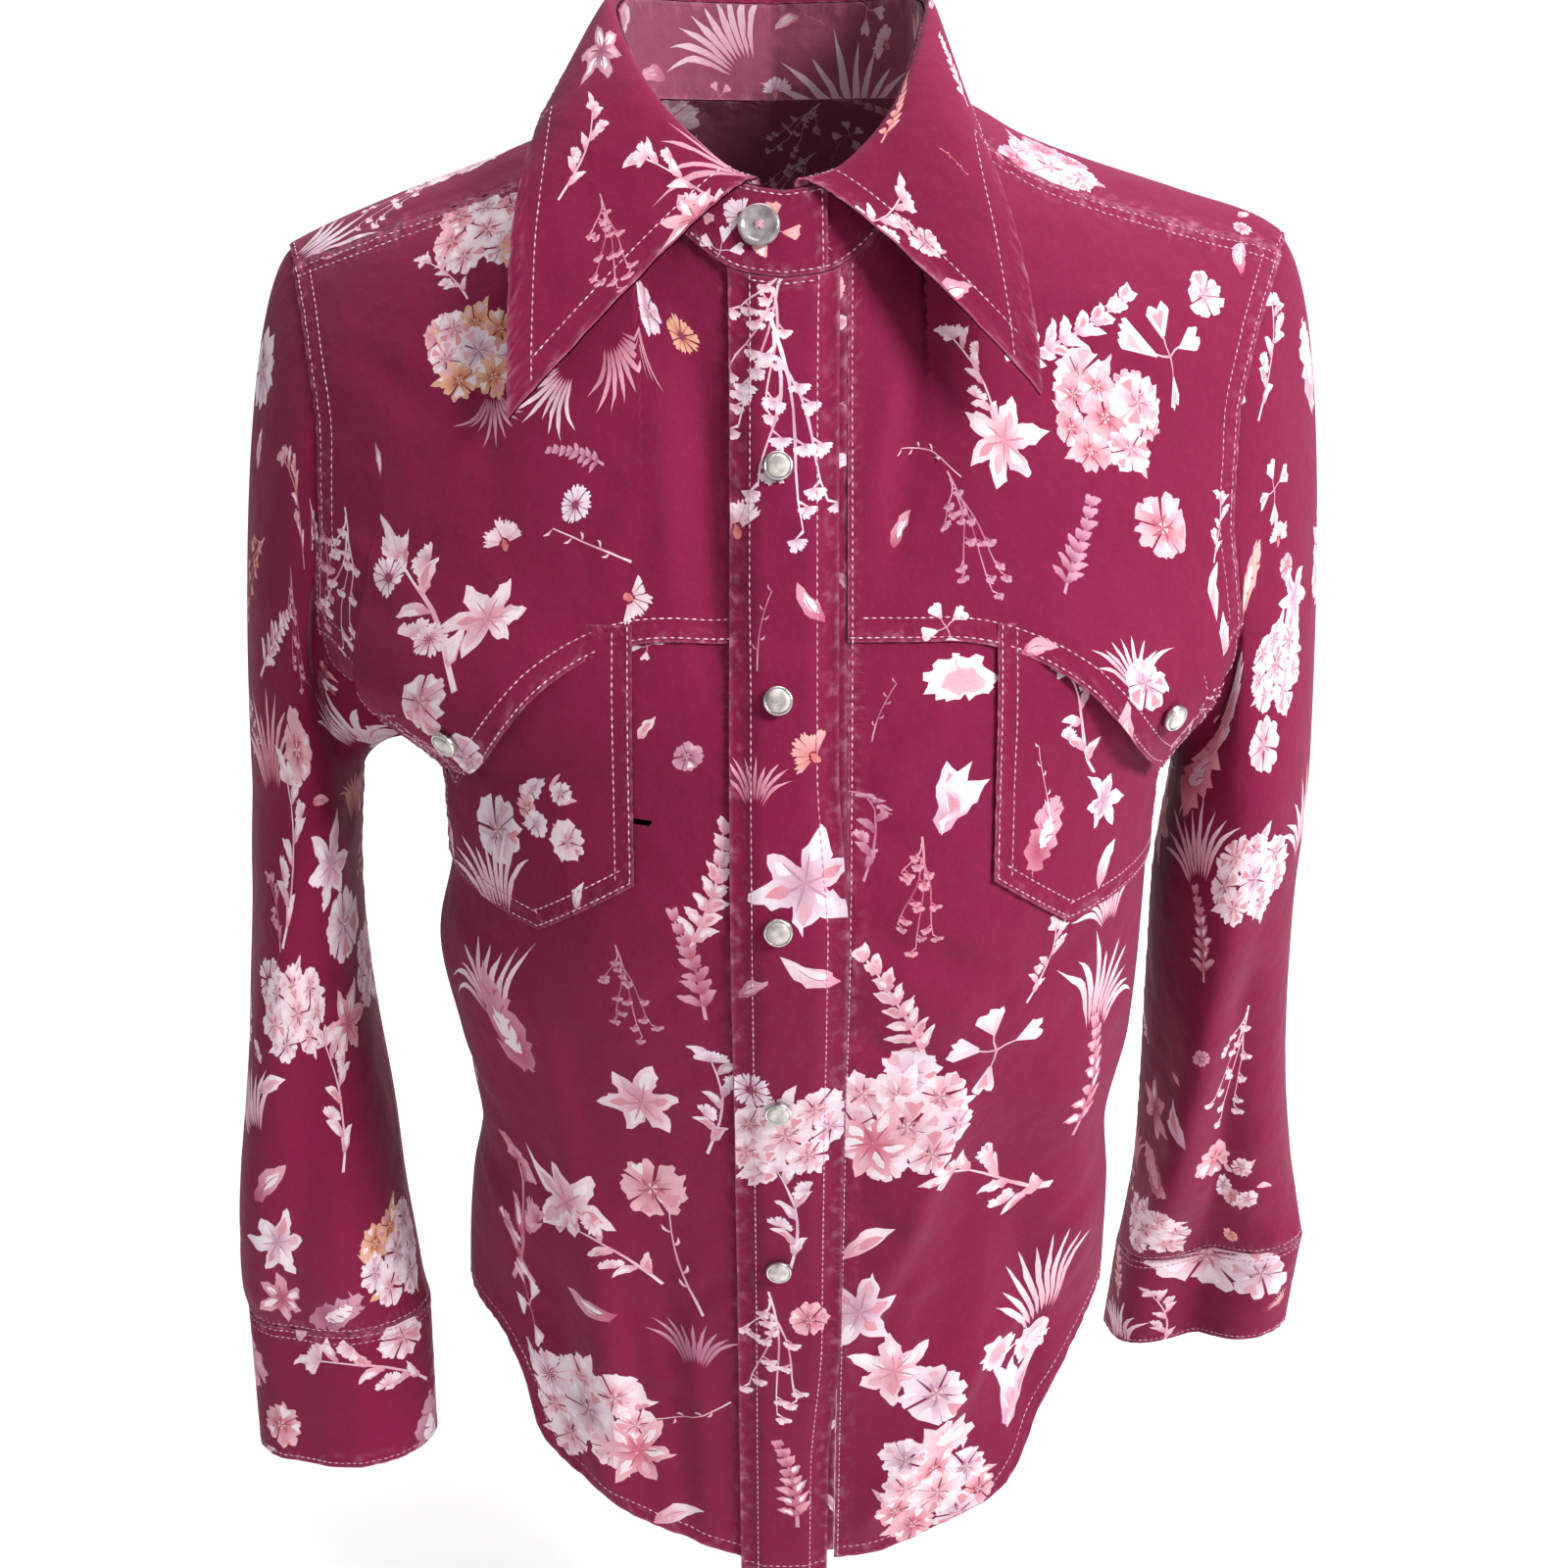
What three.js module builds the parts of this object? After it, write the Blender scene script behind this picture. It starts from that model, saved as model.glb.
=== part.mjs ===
// A western snap shirt as it hangs when worn: hollow, with every cloth piece a thin wall of its own.
// Millimetres, +Z up. The origin is the centre of the neck, level with the sides of the neck seam.
// +X is the wearer's left, the front faces -Y.
import * as THREE from "three";

// Cloth and seams
const WALL = 1.2; // one cloth wall
const SEAM_GAP = 0.3; // clearance between pieces that meet
const STAND_SEAM_GAP = 0.9; // the same along the stand's curved foot and top
const ARMHOLE_GAP = 3.1; // the same round the armhole
const YOKE_LIFT = 2.3; // a yoke lies this far out over the front's top
const POCKET_LIFT = 3.7; // a pocket stands this far off the front
const FLAP_LIFT = 9; // the yoke's free flap stands off the pocket below it
const PLACKET_LIFT = 4.4; // the snap placket lies over the yoke's edge
const SNAP_LIFT = 0.6; // a cap's rim stands clear of the cloth's facets

// Closure
const PLACKET_WIDTH = 38;
const UNDER_PLACKET_LEFT_EDGE = -15; // how far the under placket reaches below the upper one
const UNDER_PLACKET_RIGHT_EDGE = 22;
const SNAP_PITCH = 81;
const FIRST_SNAP_DROP = 84; // from the collar button to the first snap, along the cloth
const SNAP_COUNT = 5;
const SNAP_X = -2;
const SNAP_DIAMETER = 10.5;
const SNAP_HEIGHT = 3.4;
const BUTTON_DIAMETER = 15;
const BUTTON_HEIGHT = 2.6;
const BUTTON_X = -8.5;
const PLACKET_END_Z = { upper: -611, under: -600 };

// Shoulders
const FRONT_ROLL = 70; // radius of the cloth as it rolls over the shoulder to the front
const BACK_ROLL = 62;
const RIDGE_Y = 5; // the shoulder ridge stands this far behind the neck's centre
const BACK_YOKE_SEAM_Z = -105;
const FRONT_TOP_Z = -150; // each front starts here, under its yoke
const UNDERARM_Z = -237;
const TIP_X = 196; // shoulder tip, where the armhole seam is highest
const SHOULDER_SPAN = 205; // half width that the shoulder cloth is measured against
const SIDE_TURN = Math.PI / 2 - 0.003; // the side seam, just short of the middle of the side

// Collar
const STAND = { front: 29, back: 36 };
const STAND_WALL = 1.5;
const STAND_LEAN = 3; // the top stands this far nearer the neck than the seam
const STAND_END_X = 15; // both ends run this far past the centre
const STAND_OVERLAP_LIFT = 2.1; // the upper end lies this far out
const STAND_SLOPE = 5; // the front of the stand leans back this far over its height
const BUTTON_SHARE = 0.55; // the button's height on the stand, as a share of it

// The body cloth by height: depth of the front and the back from the neck's plane, half width on the
// wearer's right and left, how square its section is (2 is an ellipse), and the side seam's place in depth
const BODY = [
  { z: 40, front: 46, back: 60, right: 205, left: 205, square: 2, side: 0 },
  { z: -60, front: 73, back: 86, right: 205, left: 205, square: 2, side: 0 },
  { z: -124, front: 95, back: 97, right: 205, left: 205, square: 2, side: 0 },
  { z: -170, front: 109, back: 101, right: 202, left: 201, square: 2, side: 0 },
  { z: -202, front: 119, back: 103, right: 190, left: 190, square: 2.1, side: -1 },
  { z: -237, front: 125, back: 104, right: 142, left: 156, square: 2.2, side: -3 },
  { z: -284, front: 129, back: 101, right: 139, left: 152, square: 2.3, side: -4 },
  { z: -324, front: 121, back: 96, right: 147, left: 152, square: 2.3, side: -4 },
  { z: -364, front: 110, back: 92, right: 141, left: 151, square: 2.3, side: -3 },
  { z: -412, front: 100, back: 90, right: 134, left: 143, square: 2.3, side: -1 },
  { z: -444, front: 94, back: 90, right: 141, left: 146, square: 2.3, side: 0 },
  { z: -490, front: 88, back: 94, right: 146, left: 148, square: 2.2, side: 2 },
  { z: -552, front: 81, back: 99, right: 148, left: 149, square: 2.2, side: 4 },
  { z: -650, front: 72, back: 106, right: 150, left: 152, square: 2.2, side: 6 },
];

// Height of the shoulder ridge by distance from the centre, on the wearer's right and left
const RIDGE = [
  { x: 0, right: 38, left: 38 },
  { x: 40, right: 26, left: 26 },
  { x: 58, right: 12, left: 12 },
  { x: 75, right: 2, left: 3 },
  { x: 92, right: -6, left: -6 },
  { x: 155, right: -29, left: -26 },
  { x: 185, right: -41, left: -35 },
  { x: 205, right: -51, left: -47 },
];

// How far below the ridge the front shoulder seam lies, by distance from the centre
const SHOULDER_SEAM = [
  { x: 58, drop: 15 },
  { x: 92, drop: 18 },
  { x: 155, drop: 15 },
  { x: 196, drop: 10 },
];

// Neck seam by turn from the centre front, for either side
const NECK = [
  { turn: 0, x: 0, y: -75, z: -60 },
  { turn: 15, x: 14, y: -74, z: -58 },
  { turn: 35, x: 31, y: -68, z: -47 },
  { turn: 55, x: 44, y: -58, z: -33 },
  { turn: 75, x: 53, y: -40, z: -16 },
  { turn: 95, x: 58, y: -17, z: 0 },
  { turn: 120, x: 56, y: 14, z: 9 },
  { turn: 150, x: 36, y: 44, z: 13 },
  { turn: 180, x: 0, y: 56, z: 14 },
];
const NECK_SHIFT = -5; // the neck seam's sides and back lie this far to the wearer's right of the closure
const NECK_CORNER_TURN = 95; // where the shoulder seam meets the neck

// Armhole seam: half width by height, on the front and the back of either side
const ARMHOLE = {
  right: [
    { z: -44, front: 196, back: 196 },
    { z: -60, front: 188, back: 193 },
    { z: -83, front: 181, back: 187 },
    { z: -120, front: 175, back: 181 },
    { z: -150, front: 175, back: 179 },
    { z: -180, front: 180, back: 178 },
    { z: -200, front: 179, back: 174 },
    { z: -215, front: 164, back: 162 },
    { z: -226, front: 149, back: 148 },
    { z: -237, front: 141.5, back: 141.5 },
  ],
  left: [
    { z: -44, front: 196, back: 196 },
    { z: -60, front: 187, back: 193 },
    { z: -83, front: 177, back: 187 },
    { z: -110, front: 170, back: 181 },
    { z: -145, front: 168, back: 179 },
    { z: -170, front: 172, back: 178 },
    { z: -200, front: 176, back: 174 },
    { z: -215, front: 168, back: 166 },
    { z: -226, front: 160, back: 159 },
    { z: -237, front: 155.5, back: 155.5 },
  ],
};

// Lower edge of the front yokes: level to the arch, an arch down to the point, and one up to the armhole
const SCALLOP = {
  right: { levelZ: -183, archX: 42, pointX: 115, pointZ: -243, endX: 178.5, endZ: -191, inner: 2.1, outer: 1.5 },
  left: { levelZ: -183, archX: 52, pointX: 137, pointZ: -240, endX: 174, endZ: -188, inner: 2.3, outer: 1.3 },
};

// Patch pockets: top under the yoke, sides, and the shallow point of the bottom
const POCKET = {
  right: { topZ: -178, innerX: 53, outerX: 134, pointX: 90, innerZ: -269, outerZ: -282, pointZ: -292 },
  left: { topZ: -178, innerX: 75, outerX: 150, pointX: 105, innerZ: -269, outerZ: -282, pointZ: -290 },
};

// Shirttail hem by distance from the centre front, and by turn round the back
const FRONT_HEM = {
  right: [
    { x: 0, z: -610 },
    { x: 27, z: -602 },
    { x: 60, z: -589 },
    { x: 84, z: -573 },
    { x: 98, z: -565 },
    { x: 110, z: -552 },
    { x: 115, z: -530 },
    { x: 121, z: -514 },
    { x: 130, z: -503 },
    { x: 148, z: -499 },
  ],
  left: [
    { x: 0, z: -606 },
    { x: 35, z: -604 },
    { x: 70, z: -592 },
    { x: 95, z: -582 },
    { x: 106, z: -568 },
    { x: 116, z: -542 },
    { x: 128, z: -518 },
    { x: 136, z: -506 },
    { x: 143, z: -498 },
  ],
};
const BACK_HEM = { centreZ: -640, sideZ: -499, power: 3 };
const HEM_PROFILE_Z = -560; // the height whose half width spreads the hem's columns

// Soft ridges (height above 0) and troughs of the fronts and back, each along a line from one point to another
const FRONT_FOLDS = [
  { x0: 62, z0: -60, x1: 48, z1: -150, width: 9, height: -3.5 },
  { x0: -30, z0: -75, x1: -26, z1: -190, width: 8, height: -2.5 },
  { x0: 58, z0: -345, x1: 30, z1: -520, width: 13, height: 5 },
  { x0: 84, z0: -370, x1: 60, z1: -500, width: 12, height: -4 },
  { x0: 80, z0: -480, x1: 32, z1: -590, width: 12, height: 4 },
  { x0: 112, z0: -330, x1: 130, z1: -480, width: 10, height: 4.5 },
  { x0: 96, z0: -400, x1: 98, z1: -560, width: 9, height: -4 },
  { x0: -52, z0: -430, x1: -38, z1: -600, width: 9, height: -4 },
  { x0: -78, z0: -400, x1: -72, z1: -580, width: 11, height: 4.5 },
  { x0: -100, z0: -440, x1: -92, z1: -560, width: 9, height: -4 },
  { x0: -118, z0: -300, x1: -112, z1: -470, width: 10, height: 3.5 },
  { x0: 30, z0: -300, x1: 75, z1: -330, width: 9, height: 2.5 },
];
const BACK_FOLDS = [
  { x0: -96, z0: -190, x1: -84, z1: -560, width: 15, height: 4.5 },
  { x0: -52, z0: -300, x1: -58, z1: -620, width: 14, height: -4 },
  { x0: -16, z0: -380, x1: -22, z1: -630, width: 15, height: 4.5 },
  { x0: 24, z0: -330, x1: 18, z1: -620, width: 14, height: -4 },
  { x0: 60, z0: -260, x1: 62, z1: -600, width: 15, height: 5 },
  { x0: 102, z0: -200, x1: 96, z1: -560, width: 14, height: -3.5 },
];

// Sleeves as rings below the armhole: centre, half width, half depth, how far the ring is turned, and how far its
// outer side stands above its middle
const SLEEVE = {
  right: [
    { z: -262, x: -205.5, y: 0, wide: 22, deep: 56, turn: -14, tilt: 0 },
    { z: -300, x: -209, y: -1, wide: 22, deep: 55, turn: -14, tilt: 0 },
    { z: -359, x: -211.5, y: -2, wide: 25, deep: 52, turn: -12, tilt: 0 },
    { z: -420, x: -212, y: -3, wide: 31, deep: 47, turn: -8, tilt: 0 },
    { z: -470, x: -213.5, y: -5, wide: 36, deep: 42, turn: -4, tilt: 0 },
    { z: -505, x: -213, y: -6, wide: 40, deep: 33, turn: 0, tilt: 0 },
    { z: -519.7, x: -211, y: -6, wide: 41, deep: 28, turn: 2, tilt: 0 },
  ],
  left: [
    { z: -262, x: 199, y: 8, wide: 28, deep: 60, turn: -14, tilt: 0 },
    { z: -300, x: 199, y: 16, wide: 30, deep: 58, turn: -15, tilt: 0 },
    { z: -359, x: 203, y: 30, wide: 31, deep: 54, turn: -16, tilt: 0 },
    { z: -420, x: 209, y: 44, wide: 33, deep: 48, turn: -18, tilt: 2 },
    { z: -480, x: 217, y: 60, wide: 37, deep: 42, turn: -22, tilt: 7 },
    { z: -515, x: 221, y: 69, wide: 42, deep: 34, turn: -28, tilt: 12 },
    { z: -535.7, x: 223, y: 74, wide: 46, deep: 28, turn: -32, tilt: 15 },
  ],
};

// How a sleeve's cap leaves the armhole, low at the underarm and high at the shoulder: its direction across and
// down, how far it keeps it, and how the cap comes down onto the first ring
const CAP = {
  lowAcross: 0.62,
  highAcross: 0.86,
  lowDown: 0.78,
  highDown: 0.5,
  lowReach: 14,
  highReach: 22,
  startShare: 0.4,
  endShare: 0.45,
  lean: 4,
};

// Cuffs: depth of the band and how its lower edge moves from its upper edge
const CUFF_WALL = 1.6;
const CUFF = {
  right: { height: 72, shiftX: -1, shiftY: -1, spread: 0 },
  left: { height: 60, shiftX: 0, shiftY: 14, spread: 1 },
};

// Long folds of the sleeves by height and by turn round the ring, 0 on the outer side and 90 at the front
const SLEEVE_FOLDS = {
  right: [
    { z0: -330, turn0: 112, z1: -540, turn1: 66, width: 15, height: -6 },
    { z0: -300, turn0: 70, z1: -480, turn1: 30, width: 17, height: 4 },
    { z0: -150, turn0: 60, z1: -330, turn1: 75, width: 18, height: -3 },
    { z0: -280, turn0: 260, z1: -500, turn1: 285, width: 22, height: -6 },
  ],
  left: [
    { z0: -300, turn0: 75, z1: -620, turn1: 135, width: 13, height: 6 },
    { z0: -330, turn0: 58, z1: -640, turn1: 92, width: 16, height: -13 },
    { z0: -290, turn0: 110, z1: -470, turn1: 150, width: 18, height: -3 },
    { z0: -280, turn0: 250, z1: -500, turn1: 275, width: 22, height: -5 },
  ],
};

// Outer edge of the collar by share of the way round one side, from its front end to the centre back, and how far
// the leaf stands off the straight line from the stand to that edge
const COLLAR = {
  right: [
    { along: 0, x: -96, y: -93, z: -108, arch: 3 },
    { along: 0.12, x: -96, y: -87, z: -90, arch: 4 },
    { along: 0.28, x: -95, y: -76, z: -54, arch: 4 },
    { along: 0.45, x: -90, y: -54, z: -16, arch: 2 },
    { along: 0.6, x: -81, y: -12, z: 9, arch: 0 },
    { along: 0.78, x: -69, y: 48, z: 6, arch: 1 },
    { along: 1, x: -4, y: 92, z: -10, arch: 7 },
  ],
  left: [
    { along: 0, x: 87.5, y: -103, z: -99, arch: 5 },
    { along: 0.12, x: 86, y: -95, z: -80, arch: 4 },
    { along: 0.28, x: 81, y: -79, z: -50, arch: 3 },
    { along: 0.45, x: 72, y: -54, z: -17, arch: 1 },
    { along: 0.6, x: 63, y: -12, z: 10, arch: 0 },
    { along: 0.78, x: 54, y: 48, z: 6, arch: 1 },
    { along: 1, x: -4, y: 92, z: -10, arch: 7 },
  ],
};
const COLLAR_START_X = { right: -9, left: 4 }; // where each leaf leaves the stand's top
const COLLAR_ROLL = 5; // how far the collar rises above the stand before it falls

// Flap snaps at the scallops' points
const FLAP_SNAPS = { right: { x: -118, z: -217 }, left: { x: 137, z: -211 } };

// Columns and rows of each piece's grid; armhole rows lie beside the armhole, cap rows above the hanging rings
const GRID = {
  front: { columns: 11, rows: 23, armholeRows: 9 },
  frontYoke: { columns: 16, rows: 15, neckColumns: 4, pointColumn: 11 },
  pocket: { columns: 10, rows: 9, pointColumn: 5 },
  placket: { columns: 3, rows: 28 },
  back: { columns: 18, rows: 20, armholeRows: 9 },
  backYoke: { columns: 22, rows: 10, neckColumns: 8 },
  sleeve: { columns: 24, rows: 16, capRows: 7 },
  cuff: { columns: 24, rows: 3 },
  stand: { columns: 36, rows: 2 },
  collar: { columns: 30, rows: 8 },
};
const SNAP_SIDES = 14;
const BUTTON_SIDES = 20;
const NECK_FADE = 3; // how fast a panel leaves the neck seam's curve
const PLACKET_FADE = 14;

// Looks of the cloth, the pearl snap caps and the clear button
const FINISHES = {
  cloth: { color: 0x7a1f3d, roughness: 0.9, metalness: 0, side: THREE.DoubleSide },
  pearl: { color: 0xc9c4bd, roughness: 0.25, metalness: 0.2 },
  button: { color: 0xa9a3a3, roughness: 0.2, metalness: 0 },
};

const SIDES = [
  { name: "right", sign: -1 },
  { name: "left", sign: 1 },
];

const rad = THREE.MathUtils.degToRad;
const lerp = THREE.MathUtils.lerp;
const clamp = THREE.MathUtils.clamp;
const smoothstep = THREE.MathUtils.smoothstep;

// A smooth curve through a table's rows: the value of one column at a place along another
function along(rows, key, column) {
  const keys = rows.map((row) => row[key]);
  const values = rows.map((row) => row[column]);
  const falling = keys[0] > keys[keys.length - 1];
  if (falling) {
    keys.reverse();
    values.reverse();
  }
  const slopes = keys.map((_, i) => {
    if (i === 0 || i === keys.length - 1) return 0;
    const before = (values[i] - values[i - 1]) / (keys[i] - keys[i - 1]);
    const after = (values[i + 1] - values[i]) / (keys[i + 1] - keys[i]);
    return before * after <= 0 ? 0 : (2 * before * after) / (before + after);
  });
  slopes[0] = (values[1] - values[0]) / (keys[1] - keys[0]);
  const last = keys.length - 1;
  slopes[last] = (values[last] - values[last - 1]) / (keys[last] - keys[last - 1]);
  return (at) => {
    const place = clamp(at, keys[0], keys[last]);
    let i = 0;
    while (i < last - 1 && place > keys[i + 1]) i += 1;
    const span = keys[i + 1] - keys[i];
    const t = (place - keys[i]) / span;
    const rise = values[i + 1] - values[i];
    const a = slopes[i] * span;
    const b = slopes[i + 1] * span;
    return values[i] + t * (a + t * (3 * rise - 2 * a - b + t * (a + b - 2 * rise)));
  };
}

const body = Object.fromEntries(
  ["front", "back", "right", "left", "square", "side"].map((name) => [name, along(BODY, "z", name)]),
);
const ridges = { right: along(RIDGE, "x", "right"), left: along(RIDGE, "x", "left") };
const seamDrop = along(SHOULDER_SEAM, "x", "drop");
const neckAt = Object.fromEntries(["x", "y", "z"].map((name) => [name, along(NECK, "turn", name)]));

// Height of the shoulder ridge at a distance from the centre, below 0 on the wearer's right
function ridge(x) {
  return ridges[x < 0 ? "right" : "left"](Math.abs(x));
}

// Height of the front shoulder seam
function shoulderZ(x) {
  return ridge(x) - seamDrop(Math.abs(x));
}

// Sum of soft ridges and troughs at a point
function foldAt(folds, x, z, a = "x", b = "z") {
  let sum = 0;
  for (const fold of folds) {
    const ax = fold[a + "0"];
    const az = fold[b + "0"];
    const dx = fold[a + "1"] - ax;
    const dz = fold[b + "1"] - az;
    const length = Math.hypot(dx, dz);
    const t = ((x - ax) * dx + (z - az) * dz) / (length * length);
    const aside = ((x - ax) * dz - (z - az) * dx) / length;
    const inside = clamp(t, 0, 1);
    const past = (t - inside) * length;
    const fade = Math.min(1, 0.25 + 3 * Math.min(inside, 1 - inside));
    sum += fold.height * fade * Math.exp(-(aside * aside + past * past) / (2 * fold.width * fold.width));
  }
  return sum;
}

// How far down a roll of this radius a point lies: its drop below the ridge, and its share of the full depth
function roll(radius, run) {
  const quarter = (radius * Math.PI) / 2;
  if (run >= quarter) return { drop: radius + run - quarter, share: 1 };
  return { drop: radius * (1 - Math.cos(run / radius)), share: Math.sin(run / radius) };
}

// The reverse: how far down the roll a drop is reached
function runOf(radius, drop) {
  if (drop >= radius) return (radius * Math.PI) / 2 + drop - radius;
  return radius * Math.acos(1 - Math.max(0, drop) / radius);
}

// The run that reaches a height at a turn
function runTo(turn, z, front) {
  const drop = ridge(Math.sin(turn) * SHOULDER_SPAN) - z;
  return front ? -runOf(FRONT_ROLL, drop) : runOf(BACK_ROLL, drop);
}

// A point of the body cloth: turn is 0 at the centre and 90 degrees at the side, run is measured down from the
// shoulder ridge, below 0 on the front and above 0 on the back
function cloth(turn, run) {
  const front = run <= 0;
  const radius = front ? FRONT_ROLL : BACK_ROLL;
  const sine = Math.sin(turn);
  const { drop, share } = roll(radius, Math.abs(run));
  const z = ridge(sine * SHOULDER_SPAN) - drop;
  const half = sine < 0 ? body.right(z) : body.left(z);
  const square = body.square(z);
  const bulge = Math.pow(Math.max(0, 1 - Math.pow(Math.abs(sine), square)), 1 / square);
  const side = body.side(z);
  const full = front ? side - (body.front(z) + side) * bulge : side + (body.back(z) - side) * bulge;
  return new THREE.Vector3(half * sine, lerp(RIDGE_Y, full, share), z);
}

// The same, moved out from the cloth along its normal, with its folds
function lifted(turn, run, lift) {
  const step = 0.004;
  const acrossStep = cloth(turn + step, run).sub(cloth(turn - step, run));
  const downStep = cloth(turn, run + 0.5).sub(cloth(turn, run - 0.5));
  const normal = acrossStep.cross(downStep).normalize();
  const point = cloth(turn, run);
  const folds = run <= 0 ? FRONT_FOLDS : BACK_FOLDS;
  return point.addScaledVector(normal, lift + foldAt(folds, point.x, point.z));
}

// Turn and run of the cloth at a distance from the centre and a height
function place(x, z, front) {
  const half = x < 0 ? body.right(z) : body.left(z);
  const turn = clamp(Math.asin(clamp(x / half, -1, 1)), -SIDE_TURN, SIDE_TURN);
  return [turn, runTo(turn, z, front)];
}

// A closed wall between two grids of points: the outer grid's point and the inner grid's at each place
function wall(pointAt, columns, rows, ring = false) {
  const across = ring ? columns : columns + 1;
  const grid = across * (rows + 1);
  const positions = [];
  for (const layer of [1, 0])
    for (let j = 0; j <= rows; j += 1)
      for (let i = 0; i < across; i += 1) positions.push(...pointAt(i / columns, j / rows, layer).toArray());
  const at = (i, j, layer) => (layer ? 0 : grid) + j * across + (ring ? i % columns : i);
  const faces = [];
  const quad = (a, b, c, d) => faces.push(a, b, c, a, c, d);
  for (let j = 0; j < rows; j += 1)
    for (let i = 0; i < columns; i += 1) {
      quad(at(i, j, 1), at(i + 1, j, 1), at(i + 1, j + 1, 1), at(i, j + 1, 1));
      quad(at(i, j, 0), at(i, j + 1, 0), at(i + 1, j + 1, 0), at(i + 1, j, 0));
    }
  for (let i = 0; i < columns; i += 1) {
    quad(at(i, 0, 0), at(i + 1, 0, 0), at(i + 1, 0, 1), at(i, 0, 1));
    quad(at(i, rows, 1), at(i + 1, rows, 1), at(i + 1, rows, 0), at(i, rows, 0));
  }
  if (!ring)
    for (let j = 0; j < rows; j += 1) {
      quad(at(0, j, 0), at(0, j, 1), at(0, j + 1, 1), at(0, j + 1, 0));
      quad(at(columns, j, 1), at(columns, j, 0), at(columns, j + 1, 0), at(columns, j + 1, 1));
    }
  return facingOut(positions, faces);
}

// A geometry from points and faces, turned round if its faces point inwards
function facingOut(positions, faces) {
  const a = new THREE.Vector3();
  const b = new THREE.Vector3();
  const c = new THREE.Vector3();
  let volume = 0;
  for (let i = 0; i < faces.length; i += 3) {
    a.fromArray(positions, faces[i] * 3);
    b.fromArray(positions, faces[i + 1] * 3);
    c.fromArray(positions, faces[i + 2] * 3);
    volume += a.dot(b.cross(c));
  }
  if (volume < 0) faces.reverse();
  const geometry = new THREE.BufferGeometry();
  geometry.setAttribute("position", new THREE.Float32BufferAttribute(positions, 3));
  geometry.setIndex(faces);
  geometry.computeVertexNormals();
  return geometry;
}

// A panel of the body cloth between four edges, each a function of 0 to 1 that gives turn and run. A seam function
// gives the point that its top edge is drawn to, or none where the edge keeps its place
function panel({ inner, outer, top, bottom, lift = () => 0, grid, seam, fade = NECK_FADE }) {
  const corner = (u, v, k) =>
    lerp(lerp(top(0)[k], top(1)[k], u), lerp(bottom(0)[k], bottom(1)[k], u), v);
  const map = (u, v) =>
    [0, 1].map(
      (k) => lerp(top(u)[k], bottom(u)[k], v) + lerp(inner(v)[k], outer(v)[k], u) - corner(u, v, k),
    );
  return wall(
    (u, v, layer) => {
      const raised = (row) => {
        const [turn, run] = map(u, row);
        return lifted(turn, run, lift(u, cloth(turn, run).z) + layer * WALL);
      };
      const target = seam ? seam(u, layer * WALL) : null;
      if (!target) return raised(v);
      return raised(v).addScaledVector(target.sub(raised(0)), Math.pow(1 - v, fade));
    },
    grid.columns,
    grid.rows,
  );
}

// The neck seam's distance from the closure at a turn
function neckX(turn, sign) {
  return sign * neckAt.x(turn) + NECK_SHIFT * smoothstep(turn, 20, 90);
}

// The neck seam at a turn, moved out from the neck
function neckPoint(turn, sign, out) {
  const at = (angle) => new THREE.Vector3(neckX(angle, sign), neckAt.y(angle), neckAt.z(angle));
  const ahead = at(Math.min(180, turn + 1)).sub(at(Math.max(0, turn - 1)));
  const outward = new THREE.Vector3(sign * ahead.y, -sign * ahead.x, 0).normalize();
  if (turn < 1) outward.set(0, -1, 0);
  if (turn > 179) outward.set(0, 1, 0);
  return at(turn).addScaledVector(outward, out);
}

// The same, a little below the seam, for the edges that meet the stand's foot
function belowNeck(turn, sign, out) {
  return neckPoint(turn, sign, out).setZ(neckAt.z(turn) - STAND_SEAM_GAP);
}

// Turn of the armhole seam at a height
function armholePlace(side, z, front) {
  const curve = along(ARMHOLE[side.name], "z", front ? "front" : "back");
  return place(side.sign * curve(z), z, front);
}

// Where a front's edge stands beside the closure
function closureX(side) {
  return side.sign < 0 ? UNDER_PLACKET_LEFT_EDGE - SEAM_GAP : UNDER_PLACKET_RIGHT_EDGE + SEAM_GAP;
}

function hemZ(side, x) {
  return along(FRONT_HEM[side.name], "x", "z")(Math.abs(x));
}

// One front below its yoke, from the closure to the side seam and from the yoke to the shirttail hem
function front(side) {
  const grid = GRID.front;
  const edgeX = closureX(side);
  const sideTurn = side.sign * SIDE_TURN;
  const [topStart] = place(edgeX, FRONT_TOP_Z, true);
  const [topEnd] = armholePlace(side, FRONT_TOP_Z, true);
  const [hemStart] = place(edgeX, PLACKET_END_Z.under, true);
  const top = (u) => {
    const turn = lerp(topStart, topEnd, u);
    return [turn, runTo(turn, FRONT_TOP_Z, true)];
  };
  const bottom = (u) => {
    const turn = lerp(hemStart, sideTurn, u);
    return [turn, runTo(turn, hemZ(side, body[side.name](HEM_PROFILE_Z) * Math.sin(turn)), true)];
  };
  const armShare = grid.armholeRows / grid.rows;
  const below = (v) => (v - armShare) / (1 - armShare);
  const inner = (v) => {
    if (v < armShare) return place(edgeX, lerp(FRONT_TOP_Z, UNDERARM_Z, v / armShare), true);
    return place(edgeX, lerp(UNDERARM_Z, hemZ(side, edgeX), below(v)), true);
  };
  const outer = (v) => {
    if (v < armShare) return armholePlace(side, lerp(FRONT_TOP_Z, UNDERARM_Z, v / armShare), true);
    return [sideTurn, lerp(runTo(sideTurn, UNDERARM_Z, true), bottom(1)[1], below(v))];
  };
  return panel({ inner, outer, top, bottom, grid });
}

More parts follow.
